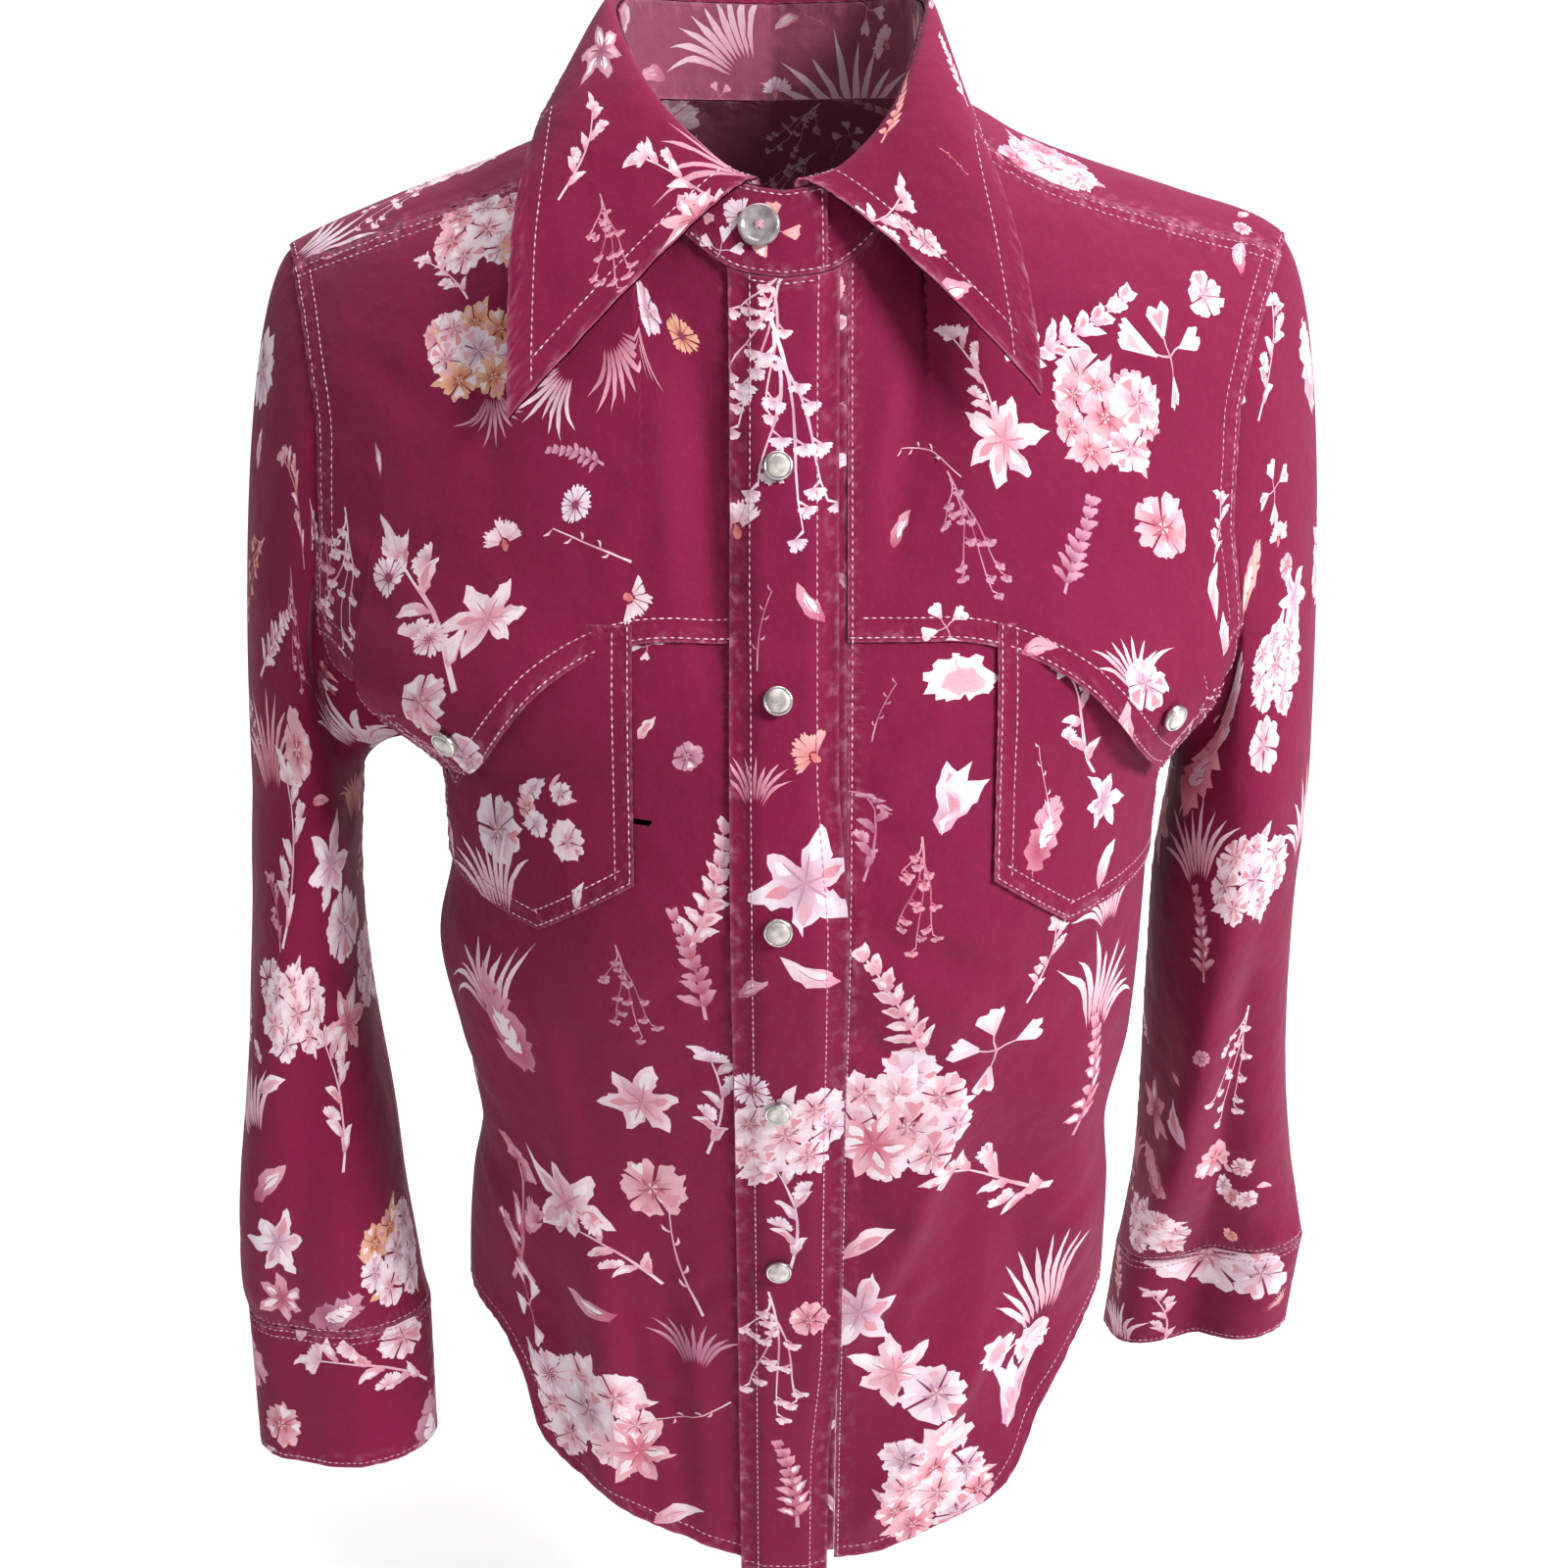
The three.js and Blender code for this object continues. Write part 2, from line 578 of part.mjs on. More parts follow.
// Lower edge of a front yoke at a distance from the centre
function scallopZ(side, x) {
  const cut = SCALLOP[side.name];
  const away = Math.abs(x);
  if (away <= cut.archX) return cut.levelZ;
  if (away <= cut.pointX) {
    const t = (away - cut.archX) / (cut.pointX - cut.archX);
    return lerp(cut.levelZ, cut.pointZ, Math.pow(t, cut.inner));
  }
  const t = clamp((cut.endX - away) / (cut.endX - cut.pointX), 0, 1);
  return lerp(cut.endZ, cut.pointZ, Math.pow(t, cut.outer));
}

// One front yoke, from the neck and shoulder seams down to its scalloped flap
function frontYoke(side) {
  const cut = SCALLOP[side.name];
  const grid = GRID.frontYoke;
  const edgeX = closureX(side);
  const neckShare = grid.neckColumns / grid.columns;
  const pointShare = grid.pointColumn / grid.columns;
  const startTurn = neckTurnAtX(Math.abs(edgeX));
  const tipZ = shoulderZ(side.sign * TIP_X);
  const cornerX = neckX(NECK_CORNER_TURN, side.sign);
  const tipX = side.sign * along(ARMHOLE[side.name], "z", "front")(tipZ);
  const neckTurn = (u) => lerp(startTurn, NECK_CORNER_TURN, u / neckShare);
  const top = (u) => {
    if (u < neckShare) return place(neckX(neckTurn(u), side.sign), neckAt.z(neckTurn(u)), true);
    const x = lerp(cornerX, tipX, (u - neckShare) / (1 - neckShare));
    return place(x, shoulderZ(x) - SEAM_GAP, true);
  };
  const bottom = (u) => {
    const beforePoint = lerp(Math.abs(edgeX), cut.pointX, u / pointShare);
    const afterPoint = lerp(cut.pointX, cut.endX, (u - pointShare) / (1 - pointShare));
    const x = u < pointShare ? beforePoint : afterPoint;
    return place(side.sign * x, scallopZ(side, x), true);
  };
  const outer = (v) => (v === 0 ? top(1) : armholePlace(side, lerp(tipZ, cut.endZ, v), true));
  const inner = (v) => place(edgeX, lerp(neckAt.z(startTurn), cut.levelZ, v), true);
  const lift = (u, z) => {
    const overFront = smoothstep(-z, 100, -FRONT_TOP_Z - 6);
    const overPocket = smoothstep(u, 0.05, 0.25) * smoothstep(1 - u, 0, 0.15) * smoothstep(-z, 135, 172);
    return overFront * YOKE_LIFT + overPocket * (FLAP_LIFT - YOKE_LIFT);
  };
  const seam = (u, out) => (u <= neckShare + 1e-6 ? belowNeck(neckTurn(u), side.sign, out) : null);
  return panel({ inner, outer, top, bottom, lift, seam, grid });
}

// Turn of the neck seam at a distance from the centre, in front of the shoulder
function neckTurnAtX(x) {
  let low = 0;
  let high = NECK_CORNER_TURN;
  for (let i = 0; i < 30; i += 1) {
    const middle = (low + high) / 2;
    if (neckAt.x(middle) < x) low = middle;
    else high = middle;
  }
  return low;
}

// The back yoke: from its straight seam over both shoulders to the front seams, round the back of the neck
function backYoke() {
  const grid = GRID.backYoke;
  const neckShare = grid.neckColumns / grid.columns;
  const sideOf = (u) => SIDES[u < 0.5 ? 0 : 1];
  const ends = SIDES.map((side) => armholePlace(side, BACK_YOKE_SEAM_Z, false)[0]);
  const share = (u) => Math.abs(2 * u - 1);
  const neckTurn = (u) => lerp(180, NECK_CORNER_TURN, share(u) / neckShare);
  const top = (u) => {
    const side = sideOf(u);
    if (share(u) < neckShare - 1e-9) {
      const turn = neckTurn(u);
      return place(neckX(turn, side.sign), neckAt.z(turn), neckAt.y(turn) < RIDGE_Y);
    }
    const cornerX = neckX(NECK_CORNER_TURN, side.sign);
    const tipX = side.sign * along(ARMHOLE[side.name], "z", "front")(shoulderZ(side.sign * TIP_X));
    const x = lerp(cornerX, tipX, (share(u) - neckShare) / (1 - neckShare));
    return place(x, shoulderZ(x), true);
  };
  const bottom = (u) => {
    const turn = lerp(ends[0], ends[1], u);
    return [turn, runTo(turn, BACK_YOKE_SEAM_Z, false)];
  };
  const edge = (side) => (v) => {
    const u = side.sign < 0 ? 0 : 1;
    const run = lerp(top(u)[1], bottom(u)[1], v);
    const front = run <= 0;
    const z = ridge(side.sign * TIP_X) - roll(front ? FRONT_ROLL : BACK_ROLL, Math.abs(run)).drop;
    const seamX = along(ARMHOLE[side.name], "z", front ? "front" : "back")(z);
    return [side.sign * Math.asin(clamp(seamX / body[side.name](z), 0, 1)), run];
  };
  const seam = (u, out) => (share(u) <= neckShare + 1e-6 ? belowNeck(neckTurn(u), sideOf(u).sign, out) : null);
  return panel({ inner: edge(SIDES[0]), outer: edge(SIDES[1]), top, bottom, seam, grid });
}

// The back below its yoke, with the longer tail
function back() {
  const grid = GRID.back;
  const topZ = BACK_YOKE_SEAM_Z - SEAM_GAP;
  const ends = SIDES.map((side) => armholePlace(side, topZ, false)[0]);
  const top = (u) => {
    const turn = lerp(ends[0], ends[1], u);
    return [turn, runTo(turn, topZ, false)];
  };
  const bottom = (u) => {
    const turn = lerp(-SIDE_TURN, SIDE_TURN, u);
    const aside = Math.pow(Math.abs(Math.sin(turn)), BACK_HEM.power);
    return [turn, runTo(turn, lerp(BACK_HEM.centreZ, BACK_HEM.sideZ, aside), false)];
  };
  const armShare = grid.armholeRows / grid.rows;
  const edge = (side) => (v) => {
    if (v < armShare) return armholePlace(side, lerp(topZ, UNDERARM_Z, v / armShare), false);
    const turn = side.sign * SIDE_TURN;
    const low = (v - armShare) / (1 - armShare);
    return [turn, lerp(runTo(turn, UNDERARM_Z, false), runTo(turn, BACK_HEM.sideZ, false), low)];
  };
  return panel({ inner: edge(SIDES[0]), outer: edge(SIDES[1]), top, bottom, grid });
}

// A patch pocket, from under the yoke to its shallow point
function pocket(side) {
  const cut = POCKET[side.name];
  const pointShare = GRID.pocket.pointColumn / GRID.pocket.columns;
  const top = (u) => place(side.sign * lerp(cut.innerX, cut.outerX, u), cut.topZ, true);
  const bottom = (u) => {
    const inside = u < pointShare;
    const t = inside ? u / pointShare : (u - pointShare) / (1 - pointShare);
    const x = inside ? lerp(cut.innerX, cut.pointX, t) : lerp(cut.pointX, cut.outerX, t);
    const z = inside ? lerp(cut.innerZ, cut.pointZ, t) : lerp(cut.pointZ, cut.outerZ, t);
    return place(side.sign * x, z, true);
  };
  const inner = (v) => place(side.sign * cut.innerX, lerp(cut.topZ, cut.innerZ, v), true);
  const outer = (v) => place(side.sign * cut.outerX, lerp(cut.topZ, cut.outerZ, v), true);
  return panel({ inner, outer, top, bottom, lift: () => POCKET_LIFT, grid: GRID.pocket });
}

// A placket strip from the neck seam to the hem
function placket(left, right, lift, lowZ) {
  const turnAt = (x) => neckTurnAtX(Math.abs(x));
  const topZ = (x) => neckAt.z(turnAt(x)) - STAND_SEAM_GAP;
  const at = (u) => lerp(left, right, u);
  const top = (u) => place(at(u), topZ(at(u)), true);
  const bottom = (u) => place(at(u), lowZ, true);
  const inner = (v) => place(left, lerp(topZ(left), lowZ, v), true);
  const outer = (v) => place(right, lerp(topZ(right), lowZ, v), true);
  const seam = (u, out) => belowNeck(turnAt(at(u)), at(u) < 0 ? -1 : 1, lift + out);
  return panel({ inner, outer, top, bottom, lift: () => lift, seam, fade: PLACKET_FADE, grid: GRID.placket });
}

// A point of a hanging sleeve ring: angle 0 is the outer side and 90 degrees the front
function ringPoint(side, angle, z, out) {
  const rows = SLEEVE[side.name];
  const at = (column) => along(rows, "z", column)(z);
  const raised = out + foldAt(SLEEVE_FOLDS[side.name], THREE.MathUtils.radToDeg(angle), z, "turn", "z");
  const x = side.sign * (at("wide") + raised) * Math.cos(angle);
  const y = -(at("deep") + raised) * Math.sin(angle);
  const turned = rad(at("turn")) * side.sign;
  return new THREE.Vector3(
    at("x") + x * Math.cos(turned) - y * Math.sin(turned),
    at("y") + x * Math.sin(turned) + y * Math.cos(turned),
    z + at("tilt") * Math.cos(angle),
  );
}

// A point of the armhole's edge at an angle round it, 0 at the shoulder tip and 90 degrees at the front
function armholePoint(side, angle, out) {
  const tip = ridge(side.sign * TIP_X) - 0.01;
  const low = (1 - Math.cos(angle)) / 2;
  const [turn, run] = armholePlace(side, lerp(tip, UNDERARM_Z, low), Math.sin(angle) >= 0);
  const away = new THREE.Vector3(side.sign * ARMHOLE_GAP, 0, -ARMHOLE_GAP * smoothstep(low, 0.6, 0.85));
  return lifted(turn, run, out).add(away);
}

// One sleeve: a cap that leaves the armhole and turns down into hanging rings
function sleeve(side) {
  const rows = SLEEVE[side.name];
  const topZ = rows[0].z;
  const endZ = rows[rows.length - 1].z;
  const grid = GRID.sleeve;
  const capShare = grid.capRows / grid.rows;
  const pointAt = (u, v, layer) => {
    const angle = u * 2 * Math.PI;
    const out = layer * WALL;
    if (v >= capShare) {
      return ringPoint(side, angle, lerp(topZ, endZ, (v - capShare) / (1 - capShare)), out);
    }
    const start = armholePoint(side, angle, out);
    const end = ringPoint(side, angle, topZ, out);
    const high = (1 + Math.cos(angle)) / 2;
    const leave = new THREE.Vector3(
      side.sign * lerp(CAP.lowAcross, CAP.highAcross, high),
      0,
      -lerp(CAP.lowDown, CAP.highDown, high),
    );
    const span = start.distanceTo(end);
    const reach = Math.min(lerp(CAP.lowReach, CAP.highReach, high), CAP.startShare * span);
    const above = new THREE.Vector3(-side.sign * CAP.lean * high, 0, CAP.endShare * span);
    return new THREE.CubicBezierCurve3(
      start,
      start.clone().addScaledVector(leave, reach),
      end.clone().add(above),
      end,
    ).getPoint(v / capShare);
  };
  return wall(pointAt, grid.columns, grid.rows, true);
}

// One cuff: a band that goes on from the sleeve's last ring
function cuff(side) {
  const rows = SLEEVE[side.name];
  const endZ = rows[rows.length - 1].z;
  const shape = CUFF[side.name];
  return wall(
    (u, v, layer) => {
      const point = ringPoint(side, u * 2 * Math.PI, endZ, layer * CUFF_WALL + shape.spread * v);
      point.add(new THREE.Vector3(shape.shiftX * v, shape.shiftY * v, -SEAM_GAP - shape.height * v));
      return point;
    },
    GRID.cuff.columns,
    GRID.cuff.rows,
    true,
  );
}

// A point of the collar stand: turn round the neck from the centre front, share of its height, and distance out
function standPoint(turn, sign, share, out) {
  const back = smoothstep(turn, 0, 100);
  const point = neckPoint(turn, sign, out - STAND_LEAN * share);
  point.z += share * lerp(STAND.front, STAND.back, back);
  point.y += share * lerp(STAND_SLOPE, 0, back);
  return point;
}

// The collar stand: a band on the neck seam whose ends overlap at the front, the wearer's right end on top
function collarStand() {
  const endTurn = neckTurnAtX(STAND_END_X);
  const total = 360 + 2 * endTurn;
  return wall(
    (u, v, layer) => {
      const angle = total * u - endTurn; // from under the closure, round by the wearer's left
      const turned = angle > 180 ? 360 - angle : angle;
      const sign = angle < 0 || (angle > 180 && angle < 360) ? -1 : 1;
      const over = smoothstep(u, 0.75, 0.94) * STAND_OVERLAP_LIFT;
      return standPoint(Math.abs(turned), sign, v, over + layer * STAND_WALL);
    },
    GRID.stand.columns,
    GRID.stand.rows,
  );
}

// The collar: on each side a leaf that rolls over from the stand and falls to its edge, joined at the centre back.
// Each section lies upright in the plane that holds its foot on the stand and its outer edge
function collar() {
  const curves = Object.fromEntries(
    SIDES.map((side) => [
      side.name,
      Object.fromEntries(["x", "y", "z", "arch"].map((name) => [name, along(COLLAR[side.name], "along", name)])),
    ]),
  );
  const up = new THREE.Vector3(0, 0, 1);
  return wall(
    (u, v, layer) => {
      const side = SIDES[u < 0.5 ? 0 : 1];
      const curve = curves[side.name];
      const share = 1 - Math.abs(2 * u - 1);
      const turn = lerp(neckTurnAtX(Math.abs(COLLAR_START_X[side.name])), 180, share);
      const foot = standPoint(turn, side.sign, 1, STAND_OVERLAP_LIFT + STAND_WALL / 2).addScaledVector(up, STAND_SEAM_GAP);
      const edge = new THREE.Vector3(curve.x(share), curve.y(share), curve.z(share));
      const across = edge.clone().sub(foot).setZ(0).normalize();
      const reach = edge.clone().sub(foot).dot(across);
      const fall = edge.z - foot.z;
      const length = Math.hypot(reach, fall);
      const bow = 2 * curve.arch(share);
      const section = new THREE.CubicBezierCurve(
        new THREE.Vector2(0, 0),
        new THREE.Vector2(0, 2 * COLLAR_ROLL),
        new THREE.Vector2(0.4 * reach - (bow * fall) / length, 0.4 * fall + (bow * reach) / length),
        new THREE.Vector2(reach, fall),
      );
      const at = Math.pow(v, 1.3);
      const point = section.getPoint(at);
      const tangent = section.getTangent(clamp(at, 0.001, 0.999));
      point.add(new THREE.Vector2(-tangent.y, tangent.x).multiplyScalar(layer * WALL));
      return foot.addScaledVector(across, point.x).addScaledVector(up, point.y);
    },
    GRID.collar.columns,
    GRID.collar.rows,
  );
}

// A closed round body from its profile, standing at a point along a normal
function turnedPiece(name, profile, sides, finish, { point, normal }) {
  const geometry = new THREE.LatheGeometry(
    profile.map(([radius, height]) => new THREE.Vector2(radius, height)),
    sides,
  );
  const mesh = new THREE.Mesh(geometry, new THREE.MeshStandardMaterial(finish));
  mesh.name = name;
  mesh.position.copy(point);
  mesh.quaternion.setFromUnitVectors(new THREE.Vector3(0, 1, 0), normal);
  return mesh;
}

// A snap cap: a rim round a low dome
function snapCap(name, seat) {
  const radius = SNAP_DIAMETER / 2;
  const rimWidth = 1.1;
  const profile = [
    [0, 0],
    [radius, 0],
    [radius, SNAP_HEIGHT * 0.6],
    [radius - rimWidth, SNAP_HEIGHT * 0.8],
    [radius * 0.5, SNAP_HEIGHT],
    [0, SNAP_HEIGHT],
  ];
  return turnedPiece(name, profile, SNAP_SIDES, FINISHES.pearl, seat);
}

// The collar's button: a low rim round a dished middle
function collarButton() {
  const radius = BUTTON_DIAMETER / 2;
  const profile = [
    [0, 0],
    [radius - 0.8, 0],
    [radius, BUTTON_HEIGHT * 0.4],
    [radius - 0.3, BUTTON_HEIGHT * 0.9],
    [radius - 1, BUTTON_HEIGHT],
    [radius - 2.2, BUTTON_HEIGHT * 0.75],
    [0, BUTTON_HEIGHT * 0.65],
  ];
  const turn = neckTurnAtX(Math.abs(BUTTON_X));
  const onStand = (out) => standPoint(turn, -1, BUTTON_SHARE, STAND_OVERLAP_LIFT + STAND_WALL + out);
  const slope = (STAND_SLOPE + STAND_LEAN) / STAND.front;
  const normal = onStand(1).sub(onStand(0)).setZ(slope).normalize();
  return turnedPiece("collar_button", profile, BUTTON_SIDES, FINISHES.button, {
    point: onStand(SEAM_GAP),
    normal,
  });
}

// A point on the front cloth at a lift, and its normal
function seatOn(x, z, lift) {
  const [turn, run] = place(x, z, true);
  const point = lifted(turn, run, lift);
  const normal = lifted(turn, run, lift + 1)
    .sub(point)
    .normalize();
  return { point, normal };
}

// Height of the closure at a length of cloth below the collar button
function closureZ(length) {
  const step = 1;
  let z = neckAt.z(0) + STAND.front * BUTTON_SHARE;
  let done = 0;
  while (done < length) {
    const slope = z > neckAt.z(0) ? 0 : body.front(z) - body.front(z - step);
    done += Math.hypot(step, slope);
    z -= step;
  }
  return z;
}

const shirt = new THREE.Group();

function addCloth(name, geometry) {
  const mesh = new THREE.Mesh(geometry, new THREE.MeshStandardMaterial(FINISHES.cloth));
  mesh.name = name;
  shirt.add(mesh);
}

for (const side of SIDES) {
  addCloth("front_" + side.name, front(side));
  addCloth("front_yoke_" + side.name, frontYoke(side));
  addCloth("pocket_" + side.name, pocket(side));
  addCloth("sleeve_" + side.name, sleeve(side));
  addCloth("cuff_" + side.name, cuff(side));
}
addCloth("back", back());
addCloth("back_yoke", backYoke());
addCloth("under_placket", placket(UNDER_PLACKET_LEFT_EDGE, UNDER_PLACKET_RIGHT_EDGE, 0, PLACKET_END_Z.under));
addCloth("snap_placket", placket(-PLACKET_WIDTH / 2, PLACKET_WIDTH / 2, PLACKET_LIFT, PLACKET_END_Z.upper));
addCloth("collar_stand", collarStand());
addCloth("collar", collar());

for (let i = 0; i < SNAP_COUNT; i += 1) {
  const z = closureZ(FIRST_SNAP_DROP + i * SNAP_PITCH);
  shirt.add(snapCap("placket_snap_" + (i + 1), seatOn(SNAP_X, z, PLACKET_LIFT + WALL + SNAP_LIFT)));
}
for (const side of SIDES) {
  const { x, z } = FLAP_SNAPS[side.name];
  shirt.add(snapCap("flap_snap_" + side.name, seatOn(x, z, FLAP_LIFT + WALL + SNAP_LIFT)));
}
shirt.add(collarButton());

export default shirt;
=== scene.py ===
"""Dresses the western snap shirt: printed cloth panels, top stitching, pearl snaps, the button, studio and camera."""

from __future__ import annotations

import logging
import math
import random
from dataclasses import dataclass, field
from enum import Enum
from typing import Callable, NamedTuple, Sequence

import bpy
import numpy as np
from mathutils import Matrix, Vector
from mathutils.geometry import delaunay_2d_cdt

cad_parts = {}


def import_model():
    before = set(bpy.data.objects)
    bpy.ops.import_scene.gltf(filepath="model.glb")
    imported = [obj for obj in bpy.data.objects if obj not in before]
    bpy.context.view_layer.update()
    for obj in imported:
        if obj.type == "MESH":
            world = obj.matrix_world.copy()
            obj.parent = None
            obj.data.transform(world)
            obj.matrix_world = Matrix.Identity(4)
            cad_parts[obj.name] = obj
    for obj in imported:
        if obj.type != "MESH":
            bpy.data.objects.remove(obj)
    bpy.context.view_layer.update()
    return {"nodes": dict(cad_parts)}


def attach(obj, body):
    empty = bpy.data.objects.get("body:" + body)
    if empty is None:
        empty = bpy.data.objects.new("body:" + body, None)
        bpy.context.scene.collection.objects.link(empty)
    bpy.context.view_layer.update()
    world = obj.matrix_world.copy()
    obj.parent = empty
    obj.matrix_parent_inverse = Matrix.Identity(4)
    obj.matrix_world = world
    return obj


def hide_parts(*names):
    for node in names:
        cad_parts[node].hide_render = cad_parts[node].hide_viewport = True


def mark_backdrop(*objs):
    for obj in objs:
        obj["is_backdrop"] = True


LOG = logging.getLogger("western_shirt")
MM = 0.001
Array = np.ndarray
Surface = Callable[[Array, Array, float], Array]
Edge2 = Callable[[Array], tuple[Array, Array]]


class BodyRow(NamedTuple):
    """The body cloth at one height: depths, half widths, squareness and the side seam's depth."""

    z: float
    front: float
    back: float
    right: float
    left: float
    square: float
    side: float


class RidgeRow(NamedTuple):
    """Height of the shoulder ridge at a distance from the centre."""

    x: float
    right: float
    left: float


class SeamRow(NamedTuple):
    """How far below the ridge the front shoulder seam lies."""

    x: float
    drop: float


class NeckRow(NamedTuple):
    """The neck seam at a turn from the centre front."""

    turn: float
    x: float
    y: float
    z: float


class ArmholeRow(NamedTuple):
    """Half width of the armhole seam at a height."""

    z: float
    front: float
    back: float


class HemRow(NamedTuple):
    """Height of the front hem at a distance from the closure."""

    x: float
    z: float


class Scallop(NamedTuple):
    """Lower edge of a front yoke."""

    level_z: float
    arch_x: float
    point_x: float
    point_z: float
    end_x: float
    end_z: float
    inner: float
    outer: float


class PocketCut(NamedTuple):
    """A patch pocket's outline."""

    top_z: float
    inner_x: float
    outer_x: float
    point_x: float
    inner_z: float
    outer_z: float
    point_z: float


class Fold(NamedTuple):
    """A soft ridge, or trough below 0, along a line from one point to another."""

    x0: float
    z0: float
    x1: float
    z1: float
    width: float
    height: float


class Ring(NamedTuple):
    """One ring of a hanging sleeve."""

    z: float
    x: float
    y: float
    wide: float
    deep: float
    turn: float
    tilt: float


class CollarRow(NamedTuple):
    """The collar's outer edge at a share of the way round one side."""

    along: float
    x: float
    y: float
    z: float
    arch: float


BODY = (
    BodyRow(40, 46, 60, 205, 205, 2, 0),
    BodyRow(-60, 73, 86, 205, 205, 2, 0),
    BodyRow(-124, 95, 97, 205, 205, 2, 0),
    BodyRow(-170, 109, 101, 202, 201, 2, 0),
    BodyRow(-202, 119, 103, 190, 190, 2.1, -1),
    BodyRow(-237, 125, 104, 142, 156, 2.2, -3),
    BodyRow(-284, 129, 101, 139, 152, 2.3, -4),
    BodyRow(-324, 121, 96, 147, 152, 2.3, -4),
    BodyRow(-364, 110, 92, 141, 151, 2.3, -3),
    BodyRow(-412, 100, 90, 134, 143, 2.3, -1),
    BodyRow(-444, 94, 90, 141, 146, 2.3, 0),
    BodyRow(-490, 88, 94, 146, 148, 2.2, 2),
    BodyRow(-552, 81, 99, 148, 149, 2.2, 4),
    BodyRow(-650, 72, 106, 150, 152, 2.2, 6),
)
RIDGE = (
    RidgeRow(0, 38, 38),
    RidgeRow(40, 26, 26),
    RidgeRow(58, 12, 12),
    RidgeRow(75, 2, 3),
    RidgeRow(92, -6, -6),
    RidgeRow(155, -29, -26),
    RidgeRow(185, -41, -35),
    RidgeRow(205, -51, -47),
)
SHOULDER_SEAM = (SeamRow(58, 15), SeamRow(92, 18), SeamRow(155, 15), SeamRow(196, 10))
NECK = (
    NeckRow(0, 0, -75, -60),
    NeckRow(15, 14, -74, -58),
    NeckRow(35, 31, -68, -47),
    NeckRow(55, 44, -58, -33),
    NeckRow(75, 53, -40, -16),
    NeckRow(95, 58, -17, 0),
    NeckRow(120, 56, 14, 9),
    NeckRow(150, 36, 44, 13),
    NeckRow(180, 0, 56, 14),
)
ARMHOLE = {
    "right": (
        ArmholeRow(-44, 196, 196),
        ArmholeRow(-60, 188, 193),
        ArmholeRow(-83, 181, 187),
        ArmholeRow(-120, 175, 181),
        ArmholeRow(-150, 175, 179),
        ArmholeRow(-180, 180, 178),
        ArmholeRow(-200, 179, 174),
        ArmholeRow(-215, 164, 162),
        ArmholeRow(-226, 149, 148),
        ArmholeRow(-237, 141.5, 141.5),
    ),
    "left": (
        ArmholeRow(-44, 196, 196),
        ArmholeRow(-60, 187, 193),
        ArmholeRow(-83, 177, 187),
        ArmholeRow(-110, 170, 181),
        ArmholeRow(-145, 168, 179),
        ArmholeRow(-170, 172, 178),
        ArmholeRow(-200, 176, 174),
        ArmholeRow(-215, 168, 166),
        ArmholeRow(-226, 160, 159),
        ArmholeRow(-237, 155.5, 155.5),
    ),
}
SCALLOP = {
    "right": Scallop(-183, 42, 115, -243, 178.5, -191, 2.1, 1.5),
    "left": Scallop(-183, 52, 137, -240, 174, -188, 2.3, 1.3),
}
POCKET = {
    "right": PocketCut(-178, 53, 134, 90, -269, -282, -292),
    "left": PocketCut(-178, 75, 150, 105, -269, -282, -290),
}
FRONT_HEM = {
    "right": (
        HemRow(0, -610),
        HemRow(27, -602),
        HemRow(60, -589),
        HemRow(84, -573),
        HemRow(98, -565),
        HemRow(110, -552),
        HemRow(115, -530),
        HemRow(121, -514),
        HemRow(130, -503),
        HemRow(148, -499),
    ),
    "left": (
        HemRow(0, -606),
        HemRow(35, -604),
        HemRow(70, -592),
        HemRow(95, -582),
        HemRow(106, -568),
        HemRow(116, -542),
        HemRow(128, -518),
        HemRow(136, -506),
        HemRow(143, -498),
    ),
}
FRONT_FOLDS = (
    Fold(62, -60, 48, -150, 9, -3.5),
    Fold(-30, -75, -26, -190, 8, -2.5),
    Fold(58, -345, 30, -520, 13, 5),
    Fold(84, -370, 60, -500, 12, -4),
    Fold(80, -480, 32, -590, 12, 4),
    Fold(112, -330, 130, -480, 10, 4.5),
    Fold(96, -400, 98, -560, 9, -4),
    Fold(-52, -430, -38, -600, 9, -4),
    Fold(-78, -400, -72, -580, 11, 4.5),
    Fold(-100, -440, -92, -560, 9, -4),
    Fold(-118, -300, -112, -470, 10, 3.5),
    Fold(30, -300, 75, -330, 9, 2.5),
)
BACK_FOLDS = (
    Fold(-96, -190, -84, -560, 15, 4.5),
    Fold(-52, -300, -58, -620, 14, -4),
    Fold(-16, -380, -22, -630, 15, 4.5),
    Fold(24, -330, 18, -620, 14, -4),
    Fold(60, -260, 62, -600, 15, 5),
    Fold(102, -200, 96, -560, 14, -3.5),
)
